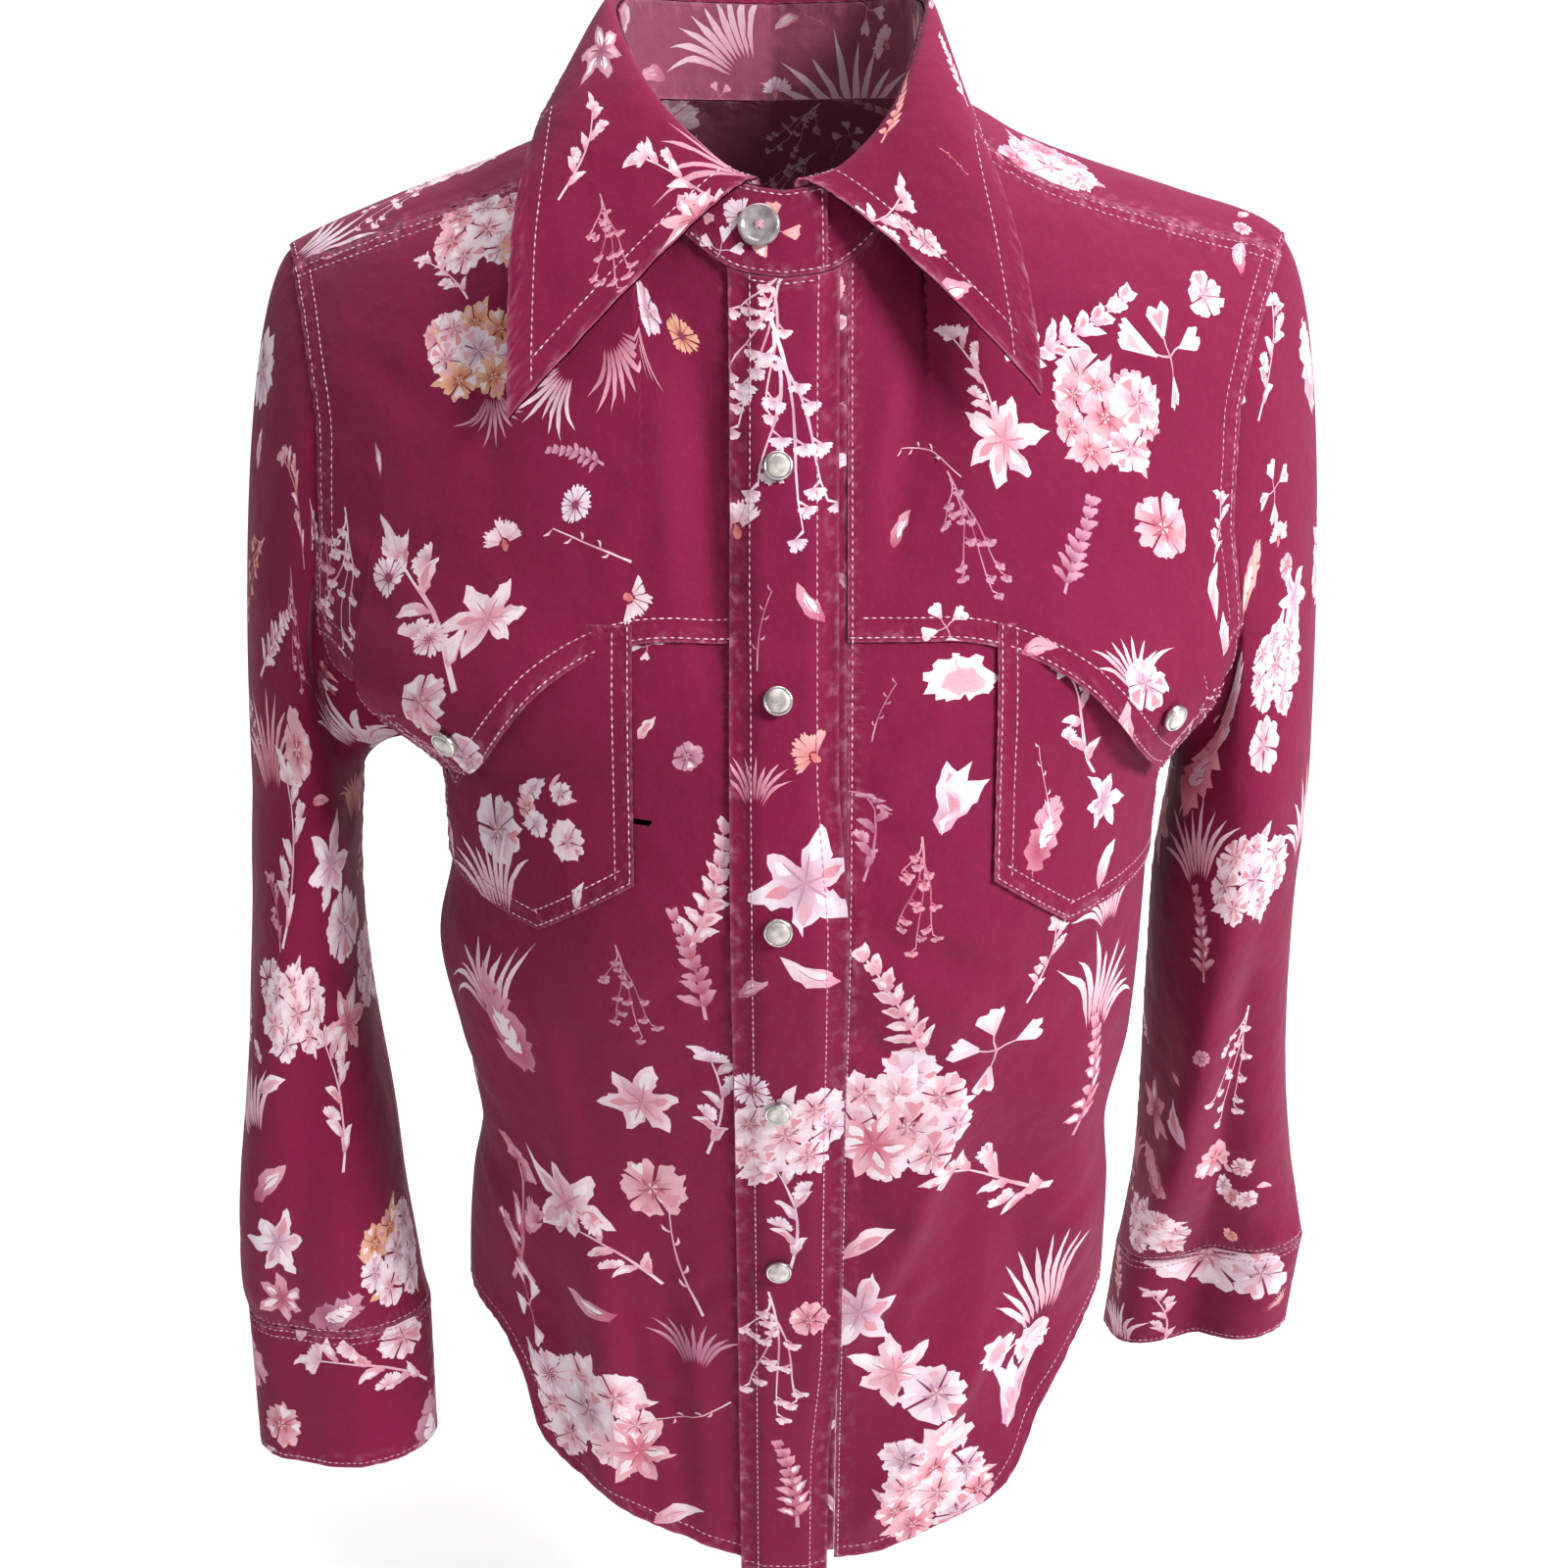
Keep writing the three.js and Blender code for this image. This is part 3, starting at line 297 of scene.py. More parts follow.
FRONT_CREASES = (
    Fold(150, -70, 96, -108, 5, -1.3),
    Fold(165, -120, 112, -150, 4, 1),
    Fold(-160, -85, -118, -110, 5, -1.1),
    Fold(-166, -150, -130, -176, 4, 1),
    Fold(-26, -300, -50, -318, 3.5, -1),
    Fold(-25, -352, -46, -362, 3, 0.7),
    Fold(24, -240, 52, -262, 4, -1.1),
    Fold(24, -330, 64, -352, 4, -1.3),
    Fold(26, -410, 58, -440, 4, -1.4),
    Fold(25, -470, 70, -455, 4, 1.1),
    Fold(-24, -450, -44, -470, 3.5, -1),
    Fold(-24, -520, -60, -505, 4, 1.1),
    Fold(118, -300, 84, -318, 4, -1.1),
    Fold(140, -350, 112, -340, 4, 1.1),
    Fold(-132, -300, -108, -322, 4, 1.3),
    Fold(-140, -372, -112, -390, 4, -1.3),
    Fold(-134, -420, -106, -446, 4, 1.1),
    Fold(132, -420, 108, -452, 4, -1.3),
    Fold(38, -92, 30, -140, 4, 1),
    Fold(-52, -120, -64, -170, 5, 1.1),
    Fold(72, -345, 44, -455, 5, 3.2),
    Fold(54, -436, 30, -505, 4.5, -2.8),
    Fold(86, -498, 34, -588, 5, 3.2),
    Fold(26, -285, 74, -306, 5, -2.5),
    Fold(102, -440, 112, -560, 5, -2.8),
    Fold(-66, -445, -60, -580, 5, -3.1),
    Fold(-40, -462, -33, -604, 5, 2.7),
    Fold(-92, -325, -84, -430, 5, 2.4),
    Fold(48, -84, 38, -158, 4.5, -2.7),
    Fold(124, -62, 98, -112, 6, 2.1),
    Fold(-124, -70, -104, -130, 6, -2),
    Fold(-30, -84, -24, -200, 5, -2.7),
    Fold(-44, -90, -38, -168, 5, 1.7),
    Fold(60, -200, 34, -236, 5, 1.7),
    Fold(-98, -520, -70, -585, 5, 2.4),
    Fold(122, -470, 92, -500, 5, 2.1),
)
BACK_CREASES = (
    Fold(-140, -300, -96, -322, 5, -1.0),
    Fold(140, -310, 98, -330, 5, 1.0),
    Fold(-136, -380, -90, -372, 5, 0.9),
    Fold(134, -390, 92, -400, 5, -0.9),
    Fold(-40, -260, -10, -330, 5, 0.9),
    Fold(30, -200, 44, -290, 5, -0.8),
    Fold(-20, -450, 26, -520, 5, 0.8),
)
SLEEVES = {
    "right": (
        Ring(-262, -205.5, 0, 22, 56, -14, 0),
        Ring(-300, -209, -1, 22, 55, -14, 0),
        Ring(-359, -211.5, -2, 25, 52, -12, 0),
        Ring(-420, -212, -3, 31, 47, -8, 0),
        Ring(-470, -213.5, -5, 36, 42, -4, 0),
        Ring(-505, -213, -6, 40, 33, 0, 0),
        Ring(-519.7, -211, -6, 41, 28, 2, 0),
    ),
    "left": (
        Ring(-262, 199, 8, 28, 60, -14, 0),
        Ring(-300, 199, 16, 30, 58, -15, 0),
        Ring(-359, 203, 30, 31, 54, -16, 0),
        Ring(-420, 209, 44, 33, 48, -18, 2),
        Ring(-480, 217, 60, 37, 42, -22, 7),
        Ring(-515, 221, 69, 42, 34, -28, 12),
        Ring(-535.7, 223, 74, 46, 28, -32, 15),
    ),
}
SLEEVE_FOLDS = {
    "right": (
        Fold(112, -330, 66, -540, 15, -6),
        Fold(70, -300, 30, -480, 17, 4),
        Fold(60, -150, 75, -330, 18, -3),
        Fold(260, -280, 285, -500, 22, -6),
    ),
    "left": (
        Fold(75, -300, 135, -620, 13, 6),
        Fold(58, -330, 92, -640, 16, -13),
        Fold(110, -290, 150, -470, 18, -3),
        Fold(250, -280, 275, -500, 22, -5),
    ),
}
SLEEVE_CREASES = {
    "right": (
        Fold(120, -240, 150, -275, 9, -1.6),
        Fold(100, -262, 140, -300, 8, 1.4),
        Fold(92, -392, 140, -412, 7, -1.5),
        Fold(60, -430, 112, -418, 8, 1.4),
        Fold(88, -470, 130, -492, 7, -1.3),
        Fold(40, -498, 60, -517, 6, 1.2),
        Fold(92, -500, 100, -519, 5, -1.2),
        Fold(240, -330, 300, -352, 10, -1.8),
        Fold(230, -420, 300, -440, 10, 1.8),
    ),
    "left": (
        Fold(60, -190, 80, -262, 10, -1.5),
        Fold(118, -230, 150, -262, 9, 1.5),
        Fold(40, -350, 96, -372, 8, -1.4),
        Fold(50, -420, 100, -400, 8, 1.5),
        Fold(30, -470, 84, -488, 7, -1.4),
        Fold(110, -450, 150, -472, 8, -1.5),
        Fold(30, -520, 36, -534, 6, 1.2),
        Fold(240, -330, 300, -350, 10, -1.8),
        Fold(230, -430, 290, -446, 10, 1.8),
    ),
}
COLLARS = {
    "right": (
        CollarRow(0, -96, -93, -108, 3),
        CollarRow(0.12, -96, -87, -90, 4),
        CollarRow(0.28, -95, -76, -54, 4),
        CollarRow(0.45, -90, -54, -16, 2),
        CollarRow(0.6, -81, -12, 9, 0),
        CollarRow(0.78, -69, 48, 6, 1),
        CollarRow(1, -4, 92, -10, 7),
    ),
    "left": (
        CollarRow(0, 87.5, -103, -99, 5),
        CollarRow(0.12, 86, -95, -80, 4),
        CollarRow(0.28, 81, -79, -50, 3),
        CollarRow(0.45, 72, -54, -17, 1),
        CollarRow(0.6, 63, -12, 10, 0),
        CollarRow(0.78, 54, 48, 6, 1),
        CollarRow(1, -4, 92, -10, 7),
    ),
}
SIGNS = {"right": -1.0, "left": 1.0}


class Curve:
    """A smooth curve through one column of a table, by another."""

    def __init__(self, rows: Sequence[NamedTuple], key: str, column: str) -> None:
        """Reads the rows.

        Args:
            rows: the table's rows.
            key: the column that the curve runs along.
            column: the column that it gives.
        """
        pairs = sorted((getattr(row, key), getattr(row, column)) for row in rows)
        self.keys = np.array([pair[0] for pair in pairs], float)
        self.values = np.array([pair[1] for pair in pairs], float)
        steps = np.diff(self.values) / np.diff(self.keys)
        product = steps[:-1] * steps[1:]
        total = steps[:-1] + steps[1:]
        inner = np.where(product > 0, 2 * product / np.where(product > 0, total, 1), 0)
        self.slopes = np.concatenate([steps[:1], inner, steps[-1:]])

    def __call__(self, at: Array | float) -> Array:
        """The curve's value at one or more places."""
        place = np.clip(np.asarray(at, float), self.keys[0], self.keys[-1])
        i = np.clip(np.searchsorted(self.keys, place, side="left") - 1, 0, len(self.keys) - 2)
        span = self.keys[i + 1] - self.keys[i]
        t = (place - self.keys[i]) / span
        rise = self.values[i + 1] - self.values[i]
        a = self.slopes[i] * span
        b = self.slopes[i + 1] * span
        return self.values[i] + t * (a + t * (3 * rise - 2 * a - b + t * (a + b - 2 * rise)))


def lerp(a: Array | float, b: Array | float, t: Array | float) -> Array:
    """The value a share of the way from one to the other."""
    return a + (b - a) * t


def smoothstep(x: Array | float, low: float, high: float) -> Array:
    """0 below low, 1 above high, and a smooth rise between."""
    t = np.clip((np.asarray(x, float) - low) / (high - low), 0, 1)
    return t * t * (3 - 2 * t)


def fold_height(folds: Sequence[Fold], x: Array, z: Array) -> Array:
    """Sum of the ridges and troughs at points.

    Args:
        folds: the ridges and troughs.
        x: the points' first coordinate.
        z: the points' second coordinate.

    Returns:
        How far each point is raised.
    """
    total = np.zeros_like(x)
    for fold in folds:
        dx = fold.x1 - fold.x0
        dz = fold.z1 - fold.z0
        length = math.hypot(dx, dz)
        t = ((x - fold.x0) * dx + (z - fold.z0) * dz) / (length * length)
        aside = ((x - fold.x0) * dz - (z - fold.z0) * dx) / length
        inside = np.clip(t, 0, 1)
        past = (t - inside) * length
        fade = np.minimum(1, 0.25 + 3 * np.minimum(inside, 1 - inside))
        total += fold.height * fade * np.exp(-(aside**2 + past**2) / (2 * fold.width**2))
    return total


@dataclass
class BodyForm:
    """The form that the body's cloth lies on: a rolled shoulder over hanging sections."""

    front_roll: float = 70
    back_roll: float = 62
    ridge_y: float = 5
    span: float = 205
    side_turn: float = math.pi / 2 - 0.003
    folds: tuple[Fold, ...] = FRONT_FOLDS + FRONT_CREASES
    back_folds: tuple[Fold, ...] = BACK_FOLDS + BACK_CREASES

    def __post_init__(self) -> None:
        """Reads the tables into curves."""
        self.section = {name: Curve(BODY, "z", name) for name in BodyRow._fields[1:]}
        self.ridges = {side: Curve(RIDGE, "x", side) for side in SIGNS}
        self.seam_drop = Curve(SHOULDER_SEAM, "x", "drop")
        self.armholes = {
            side: {name: Curve(rows, "z", name) for name in ("front", "back")}
            for side, rows in ARMHOLE.items()
        }

    def ridge(self, x: Array | float) -> Array:
        """Height of the shoulder ridge at a distance from the centre."""
        x = np.asarray(x, float)
        return np.where(x < 0, self.ridges["right"](np.abs(x)), self.ridges["left"](np.abs(x)))

    def shoulder_z(self, x: Array | float) -> Array:
        """Height of the front shoulder seam."""
        return self.ridge(x) - self.seam_drop(np.abs(x))

    def roll(self, run: Array) -> tuple[Array, Array]:
        """Drop below the ridge, and share of the full depth, at a run down the front or back."""
        radius = np.where(run <= 0, self.front_roll, self.back_roll)
        length = np.abs(run)
        quarter = radius * math.pi / 2
        rolled = length < quarter
        angle = np.minimum(length / radius, math.pi / 2)
        drop = np.where(rolled, radius * (1 - np.cos(angle)), radius + length - quarter)
        return drop, np.where(rolled, np.sin(angle), 1)

    def run_to(self, turn: Array | float, z: Array | float, front: Array | bool) -> Array:
        """The run that reaches a height at a turn."""
        drop = self.ridge(np.sin(turn) * self.span) - z
        radius = np.where(front, self.front_roll, self.back_roll)
        share = np.clip(1 - np.maximum(0, drop) / radius, 0, 1)
        run = np.where(drop >= radius, radius * math.pi / 2 + drop - radius, radius * np.arccos(share))
        return np.where(front, -run, run)

    def half(self, x: Array, z: Array) -> Array:
        """Half width of the body on the side of x."""
        return np.where(x < 0, self.section["right"](z), self.section["left"](z))

    def place(self, x: Array | float, z: Array | float, front: Array | bool) -> tuple[Array, Array]:
        """Turn and run of the cloth at a distance from the centre and a height."""
        x = np.asarray(x, float)
        z = np.broadcast_to(np.asarray(z, float), x.shape) if x.shape else np.asarray(z, float)
        turn = np.arcsin(np.clip(x / self.half(x, z), -1, 1))
        turn = np.clip(turn, -self.side_turn, self.side_turn)
        return turn, self.run_to(turn, z, front)

    def cloth(self, turn: Array, run: Array) -> Array:
        """Points of the cloth at turns and runs."""
        sine = np.sin(turn)
        drop, share = self.roll(run)
        z = self.ridge(sine * self.span) - drop
        square = self.section["square"](z)
        bulge = np.power(np.maximum(0, 1 - np.power(np.abs(sine), square)), 1 / square)
        side = self.section["side"](z)
        front = side - (self.section["front"](z) + side) * bulge
        back = side + (self.section["back"](z) - side) * bulge
        full = np.where(run <= 0, front, back)
        return np.stack([self.half(sine, z) * sine, lerp(self.ridge_y, full, share), z], axis=-1)

    def lifted(self, turn: Array, run: Array, lift: Array | float) -> Array:
        """The same, moved out along the normal and raised by the folds."""
        across = self.cloth(turn + 0.004, run) - self.cloth(turn - 0.004, run)
        down = self.cloth(turn, run + 0.5) - self.cloth(turn, run - 0.5)
        normal = np.cross(across, down)
        normal /= np.maximum(np.linalg.norm(normal, axis=-1, keepdims=True), 1e-9)
        point = self.cloth(turn, run)
        ahead = fold_height(self.folds, point[..., 0], point[..., 2])
        behind = fold_height(self.back_folds, point[..., 0], point[..., 2])
        raised = lift + np.where(run <= 0, ahead, behind)
        return point + normal * np.asarray(raised)[..., None]

    def armhole(self, side: str, z: Array, front: bool) -> tuple[Array, Array]:
        """Turn and run of the armhole seam at heights."""
        seam = self.armholes[side]["front" if front else "back"]
        return self.place(SIGNS[side] * seam(z), z, front)


@dataclass
class NeckSeam:
    """The seam that the collar stand rises from."""

    shift: float = -5
    corner_turn: float = 95
    stand_front: float = 29
    stand_back: float = 36
    lean: float = 3
    slope: float = 5
    foot_gap: float = 0.4

    def __post_init__(self) -> None:
        """Reads the table into curves."""
        self.at = {name: Curve(NECK, "turn", name) for name in NeckRow._fields[1:]}

    def x(self, turn: Array, sign: Array | float) -> Array:
        """The seam's distance from the closure."""
        return sign * self.at["x"](turn) + self.shift * smoothstep(turn, 20, 90)

    def point(self, turn: Array, sign: Array | float, out: Array | float) -> Array:
        """Points of the seam, moved out from the neck."""
        turn = np.asarray(turn, float)
        sign = np.broadcast_to(np.asarray(sign, float), turn.shape)
        high = np.minimum(180, turn + 1)
        low = np.maximum(0, turn - 1)
        dx = self.x(high, sign) - self.x(low, sign)
        dy = self.at["y"](high) - self.at["y"](low)
        outward = np.stack([sign * dy, -sign * dx, np.zeros_like(turn)], axis=-1)
        outward /= np.maximum(np.linalg.norm(outward, axis=-1, keepdims=True), 1e-9)
        outward = np.where((turn < 1)[..., None], [0.0, -1.0, 0.0], outward)
        outward = np.where((turn > 179)[..., None], [0.0, 1.0, 0.0], outward)
        seam = np.stack([self.x(turn, sign), self.at["y"](turn), self.at["z"](turn)], axis=-1)
        return seam + outward * np.asarray(out)[..., None]

    def below(self, turn: Array, sign: Array | float, out: Array | float) -> Array:
        """The same, a little below the seam."""
        return self.point(turn, sign, out) - [0.0, 0.0, self.foot_gap]

    def turn_at(self, x: Array | float) -> Array:
        """The turn at a distance from the centre, in front of the shoulder."""
        turns = np.linspace(0, self.corner_turn, 400)
        return np.interp(np.abs(x), self.at["x"](turns), turns)

    def stand(self, turn: Array, sign: Array | float, share: Array | float, out: Array | float) -> Array:
        """Points of the collar stand at a share of its height."""
        back = smoothstep(turn, 0, 100)
        share = np.asarray(share, float)
        point = self.point(turn, sign, out - self.lean * share)
        rise = share * lerp(self.stand_front, self.stand_back, back)
        lean = share * lerp(self.slope, 0, back)
        return point + np.stack([np.zeros_like(rise), lean, rise], axis=-1)


FORM = BodyForm()
NECKLINE = NeckSeam()


class Ink(Enum):
    """Inks of the print: the heart and the tip of a petal or leaf, as linear colours."""

    LILAC = ((0.60, 0.33, 0.44), (0.84, 0.70, 0.78))
    PALE = ((0.70, 0.30, 0.38), (0.86, 0.68, 0.73))
    PINK = ((0.58, 0.15, 0.21), (0.80, 0.45, 0.50))
    ROSE = ((0.45, 0.10, 0.17), (0.70, 0.34, 0.42))
    SALMON = ((0.58, 0.14, 0.13), (0.80, 0.40, 0.38))
    PEACH = ((0.58, 0.16, 0.08), (0.78, 0.44, 0.30))
    MAUVE = ((0.36, 0.10, 0.18), (0.60, 0.30, 0.40))


class Motif(Enum):
    """Kinds of flower, leaf and spray in the print."""

    BLOSSOM = "blossom"
    DAISY = "daisy"
    SIDE_DAISY = "side_daisy"
    LILY = "lily"
    TULIP = "tulip"
    ROUND = "round"
    PLUME = "plume"
    LEAF = "leaf"
    FAN = "fan"
    FERN = "fern"
    TREFOIL = "trefoil"
    SPRIG = "sprig"
    VINE = "vine"
    TWIG = "twig"
    CLUSTER = "cluster"


class Spray(NamedTuple):
    """One motif of the print, placed in the front view's 1600 by 1600 frame."""

    kind: Motif
    across: float
    down: float
    size: float
    turn: float = 0
    ink: Ink = Ink.PALE


@dataclass
class Shape:
    """One closed outline of the print, with the colours at its heart and tips."""

    outline: Array
    heart: Array
    reach: float
    inner: Array
    outer: Array


@dataclass
class PrintArtist:
    """Draws the print's flowers, leaves and sprays, in millimetres round their own middle, +Y up."""

    rng: random.Random = field(default_factory=lambda: random.Random(7))
    least_brushed: float = 2.2
    least_marked: float = 5.0
    full_cluster: float = 18.0

    def shade(self, ink: Ink, outline: Array, heart: tuple[float, float], reach: float) -> Shape:
        """One shape in an ink, a little lighter or darker than the last."""
        tone = self.rng.uniform(0.86, 1.08)
        tip = self.rng.uniform(0.9, 1.06)
        inner = np.array(ink.value[0]) * tone
        outer = np.minimum(1, np.array(ink.value[1]) * tip)
        return Shape(outline, np.array(heart, float), reach, inner, outer)

    def blade(self, base: tuple[float, float], turn: float, length: float, width: float, bend: float = 0.15) -> Array:
        """A leaf or petal outline from its base, pointed at both ends.

        Args:
            base: where it grows from.
            turn: its direction in degrees, 0 to the right.
            length: its length.
            width: its greatest width.
            bend: how far it curves aside, as a share of its length.

        Returns:
            The outline's points.
        """
        t = np.linspace(0, 1, 9)
        middle = bend * length * np.sin(np.pi * t * 0.9)
        half = width / 2 * np.power(np.sin(np.pi * np.power(t, 0.85)), 0.8)
        wave = 1 + 0.12 * np.sin(9 * t + self.rng.uniform(0, 6))
        upper = np.stack([t * length, middle + half * wave], axis=-1)
        lower = np.stack([t * length, middle - half], axis=-1)[-2:0:-1]
        return self.turned(np.concatenate([upper, lower]), turn) + base

    @staticmethod
    def turned(points: Array, degrees: float) -> Array:
        """Points turned about their origin."""
        a = math.radians(degrees)
        spin = np.array([[math.cos(a), math.sin(a)], [-math.sin(a), math.cos(a)]])
        return points @ spin

    def petal(self, turn: float, length: float, width: float, notch: float = 0.1, start: float = 0.1) -> Array:
        """A round petal from near the middle, with a shallow notch at its tip."""
        a = np.linspace(-1, 1, 11)
        radius = length * (1 - notch * np.exp(-((a / 0.22) ** 2)) - 0.16 * a * a)
        radius *= 1 + 0.05 * np.sin(7 * a + self.rng.uniform(0, 6))
        angle = a * width
        edge = np.stack([radius * np.cos(angle), radius * np.sin(angle)], axis=-1)
        foot = np.array([[start * length, -0.05 * length], [start * length, 0.05 * length]])
        return self.turned(np.concatenate([foot[:1], edge, foot[1:]]), turn)

    def stem(self, points: Sequence[tuple[float, float]], width: float) -> Array:
        """A thin ribbon along points, tapering to its end."""
        line = np.array(points, float)
        ahead = np.gradient(line, axis=0)
        ahead /= np.maximum(np.linalg.norm(ahead, axis=1, keepdims=True), 1e-9)
        aside = np.stack([-ahead[:, 1], ahead[:, 0]], axis=-1)
        half = (width / 2 * np.linspace(1, 0.45, len(line)))[:, None]
        return np.concatenate([line + aside * half, (line - aside * half)[::-1]])

    def draw(self, kind: Motif, size: float, ink: Ink) -> list[Shape]:
        """The shapes of one motif of a size.

        Args:
            kind: which motif.
            size: its radius, or half the length of a long one.
            ink: its ink.

        Returns:
            The shapes, from the lowest to the topmost.
        """
        painted = []
        for shape in getattr(self, kind.value)(size, ink):
            edge = np.roll(shape.outline, -1, axis=0) - shape.outline
            area = abs(float(np.sum(shape.outline[:, 0] * edge[:, 1] - shape.outline[:, 1] * edge[:, 0]))) / 2
            body = 2 * area / max(float(np.linalg.norm(edge, axis=1).sum()), 1e-6)
            shape.outline = self.roughened(shape.outline, 0.1 * body)
            painted.append(shape)
            if body > self.least_brushed:
                painted.append(self.brushed(shape))
        return painted

    def roughened(self, outline: Array, amount: float) -> Array:
        """The same outline with uneven edges, as a worn print has."""
        noise = np.array([[self.rng.gauss(0, amount), self.rng.gauss(0, amount)] for _ in outline])
        return outline + noise

    def brushed(self, shape: Shape) -> Shape:
        """A smaller uneven patch of another tint within a shape."""
        middle = shape.outline.mean(axis=0)
        aside = np.array([self.rng.uniform(-0.16, 0.16), self.rng.uniform(-0.16, 0.16)])
        size = self.rng.uniform(0.4, 0.62)
        spread = shape.outline - middle
        patch = middle + (spread + aside * np.ptp(spread, axis=0)) * size
        tint = self.rng.choice(((0.88, 0.78, 0.83), (0.86, 0.74, 0.78), (0.70, 0.30, 0.35), (0.74, 0.42, 0.48)))
        colour = np.array(tint)
        return Shape(patch[::2], shape.heart, shape.reach, colour * 0.9, colour)

    def blossom(self, r: float, ink: Ink) -> list[Shape]:
        """Five round petals round a small darker eye."""
        spin = self.rng.uniform(0, 72)
        shapes = []
        for i in range(5):
            length = r * self.rng.uniform(0.82, 1.08)
            outline = self.petal(spin + 72 * i, length, 0.6, self.rng.uniform(0.06, 0.2))
            shapes.append(self.shade(ink, outline, (0, 0), r))
        eye = self.petal(0, 0.18 * r, math.pi * 0.95, 0, 0)
        shapes.append(Shape(eye, np.zeros(2), r, np.array([0.75, 0.5, 0.5]), np.array([0.85, 0.6, 0.6])))
        for i in range(5 if r > self.least_marked else 0):
            mark = self.blade((0, 0), spin + 72 * i + 8, 0.42 * r, 0.09 * r)
            shapes.append(Shape(mark, np.zeros(2), r, np.array(ink.value[0]) * 0.7, np.array(ink.value[0]) * 0.8))
        return shapes

    def daisy(self, r: float, ink: Ink) -> list[Shape]:
        """Many narrow petals round an eye."""
        count = 11
        shapes = []
        for i in range(count):
            length = r * self.rng.uniform(0.85, 1.1)
            outline = self.petal(360 / count * i, length, 0.25, 0.16, 0.22)
            shapes.append(self.shade(ink, outline, (0, 0), r))
        for i in range(count):
            mark = self.blade((0, 0), 360 / count * (i + 0.5), 0.4 * r, 0.05 * r)
            shapes.append(Shape(mark, np.zeros(2), r, np.array([0.3, 0.07, 0.13]), np.array([0.45, 0.15, 0.2])))
        return shapes

    def side_daisy(self, r: float, ink: Ink) -> list[Shape]:
        """A daisy seen from the side, opening upwards on its stalk."""
        shapes = []
        for i in range(7):
            length = r * self.rng.uniform(0.95, 1.3)
            outline = self.petal(90 + (i - 3) * 24, length, 0.2, 0.12, 0.25)
            shapes.append(self.shade(ink, outline, (0, 0), r))
        cup = self.blade((0, -0.35 * r), 90, 0.6 * r, 0.34 * r, 0)
        shapes.append(self.shade(Ink.SALMON, cup, (0, 0), r))
        return shapes

    def lily(self, r: float, ink: Ink) -> list[Shape]:
        """Six long pointed petals of uneven length."""
        shapes = []
        for i in range(6):
            length = r * self.rng.uniform(0.8, 1.15)
            turn = 60 * i + self.rng.uniform(-9, 9)
            outline = self.blade((0, 0), turn, length, 0.46 * r, self.rng.uniform(-0.08, 0.08))
            shapes.append(self.shade(ink, outline, (0, 0), r))
        for i in range(6):
            mark = self.blade((0, 0), 60 * i + self.rng.uniform(-9, 9), 0.55 * r, 0.05 * r, 0)
            shapes.append(Shape(mark, np.zeros(2), r, np.array(ink.value[0]) * 0.75, np.array(ink.value[0])))
        return shapes

    def tulip(self, r: float, ink: Ink) -> list[Shape]:
        """A cup of three or four pointed petals, opening upwards."""
        shapes = [self.shade(ink, self.blade((0, -0.7 * r), 90 + a, 1.9 * r, w * r, b), (0, -0.4 * r), 1.5 * r)
                  for a, w, b in ((26, 0.62, -0.16), (-26, 0.62, 0.16), (4, 0.6, 0))]
        shapes.append(self.shade(ink, self.blade((0, -0.7 * r), 118, 1.3 * r, 0.34 * r, -0.3), (0, 0), r))
        return shapes

    def round(self, r: float, ink: Ink) -> list[Shape]:
        """A round flower with a saw-toothed edge and a few inner strokes."""
        a = np.linspace(0, 2 * np.pi, 37)[:-1]
        radius = r * (1 + 0.09 * np.sign(np.sin(9 * a)) + 0.06 * np.sin(2 * a + self.rng.uniform(0, 6)))
        outline = np.stack([radius * np.cos(a), 0.86 * radius * np.sin(a)], axis=-1)
        shapes = [self.shade(ink, outline, (0, 0), r)]
        for _ in range(7):
            turn = self.rng.uniform(0, 360)
            base = self.turned(np.array([[0.3 * r, 0.0]]), turn)[0]
            mark = self.blade(tuple(base), turn, 0.42 * r, 0.05 * r)
            shapes.append(Shape(mark, np.zeros(2), r, np.array(ink.value[0]), np.array(ink.value[0]) * 1.1))
        return shapes

    def plume(self, r: float, ink: Ink) -> list[Shape]:
        """A tall feathery head with a saw-toothed edge."""
        t = np.linspace(0, 2 * np.pi, 49)[:-1]
        tooth = 1 + 0.1 * np.sign(np.sin(14 * t))
        outline = np.stack([0.42 * r * np.cos(t) * tooth, r * np.sin(t) * (0.97 + 0.03 * tooth)], axis=-1)
        shapes = [self.shade(ink, outline, (0, -0.4 * r), 1.4 * r)]
        for i in range(9):
            y = r * (-0.7 + 0.17 * i)
            side = -1 if i % 2 else 1
            mark = self.blade((side * 0.05 * r, y), 90 - side * 50, 0.3 * r, 0.05 * r)
            shapes.append(Shape(mark, np.zeros(2), r, np.array(ink.value[0]) * 1.05, np.array(ink.value[0]) * 1.2))
        return shapes

    def leaf(self, r: float, ink: Ink) -> list[Shape]:
        """One pointed leaf with a thin darker rib."""
        shapes = [self.shade(ink, self.blade((-r, 0), 0, 2 * r, 0.7 * r, 0.1), (-r, 0), 2 * r)]
        rib = self.blade((-0.8 * r, 0.02 * r), 0, 1.3 * r, 0.05 * r, 0.14)
        shapes.append(Shape(rib, np.zeros(2), r, np.array(ink.value[0]) * 0.8, np.array(ink.value[0])))
        return shapes

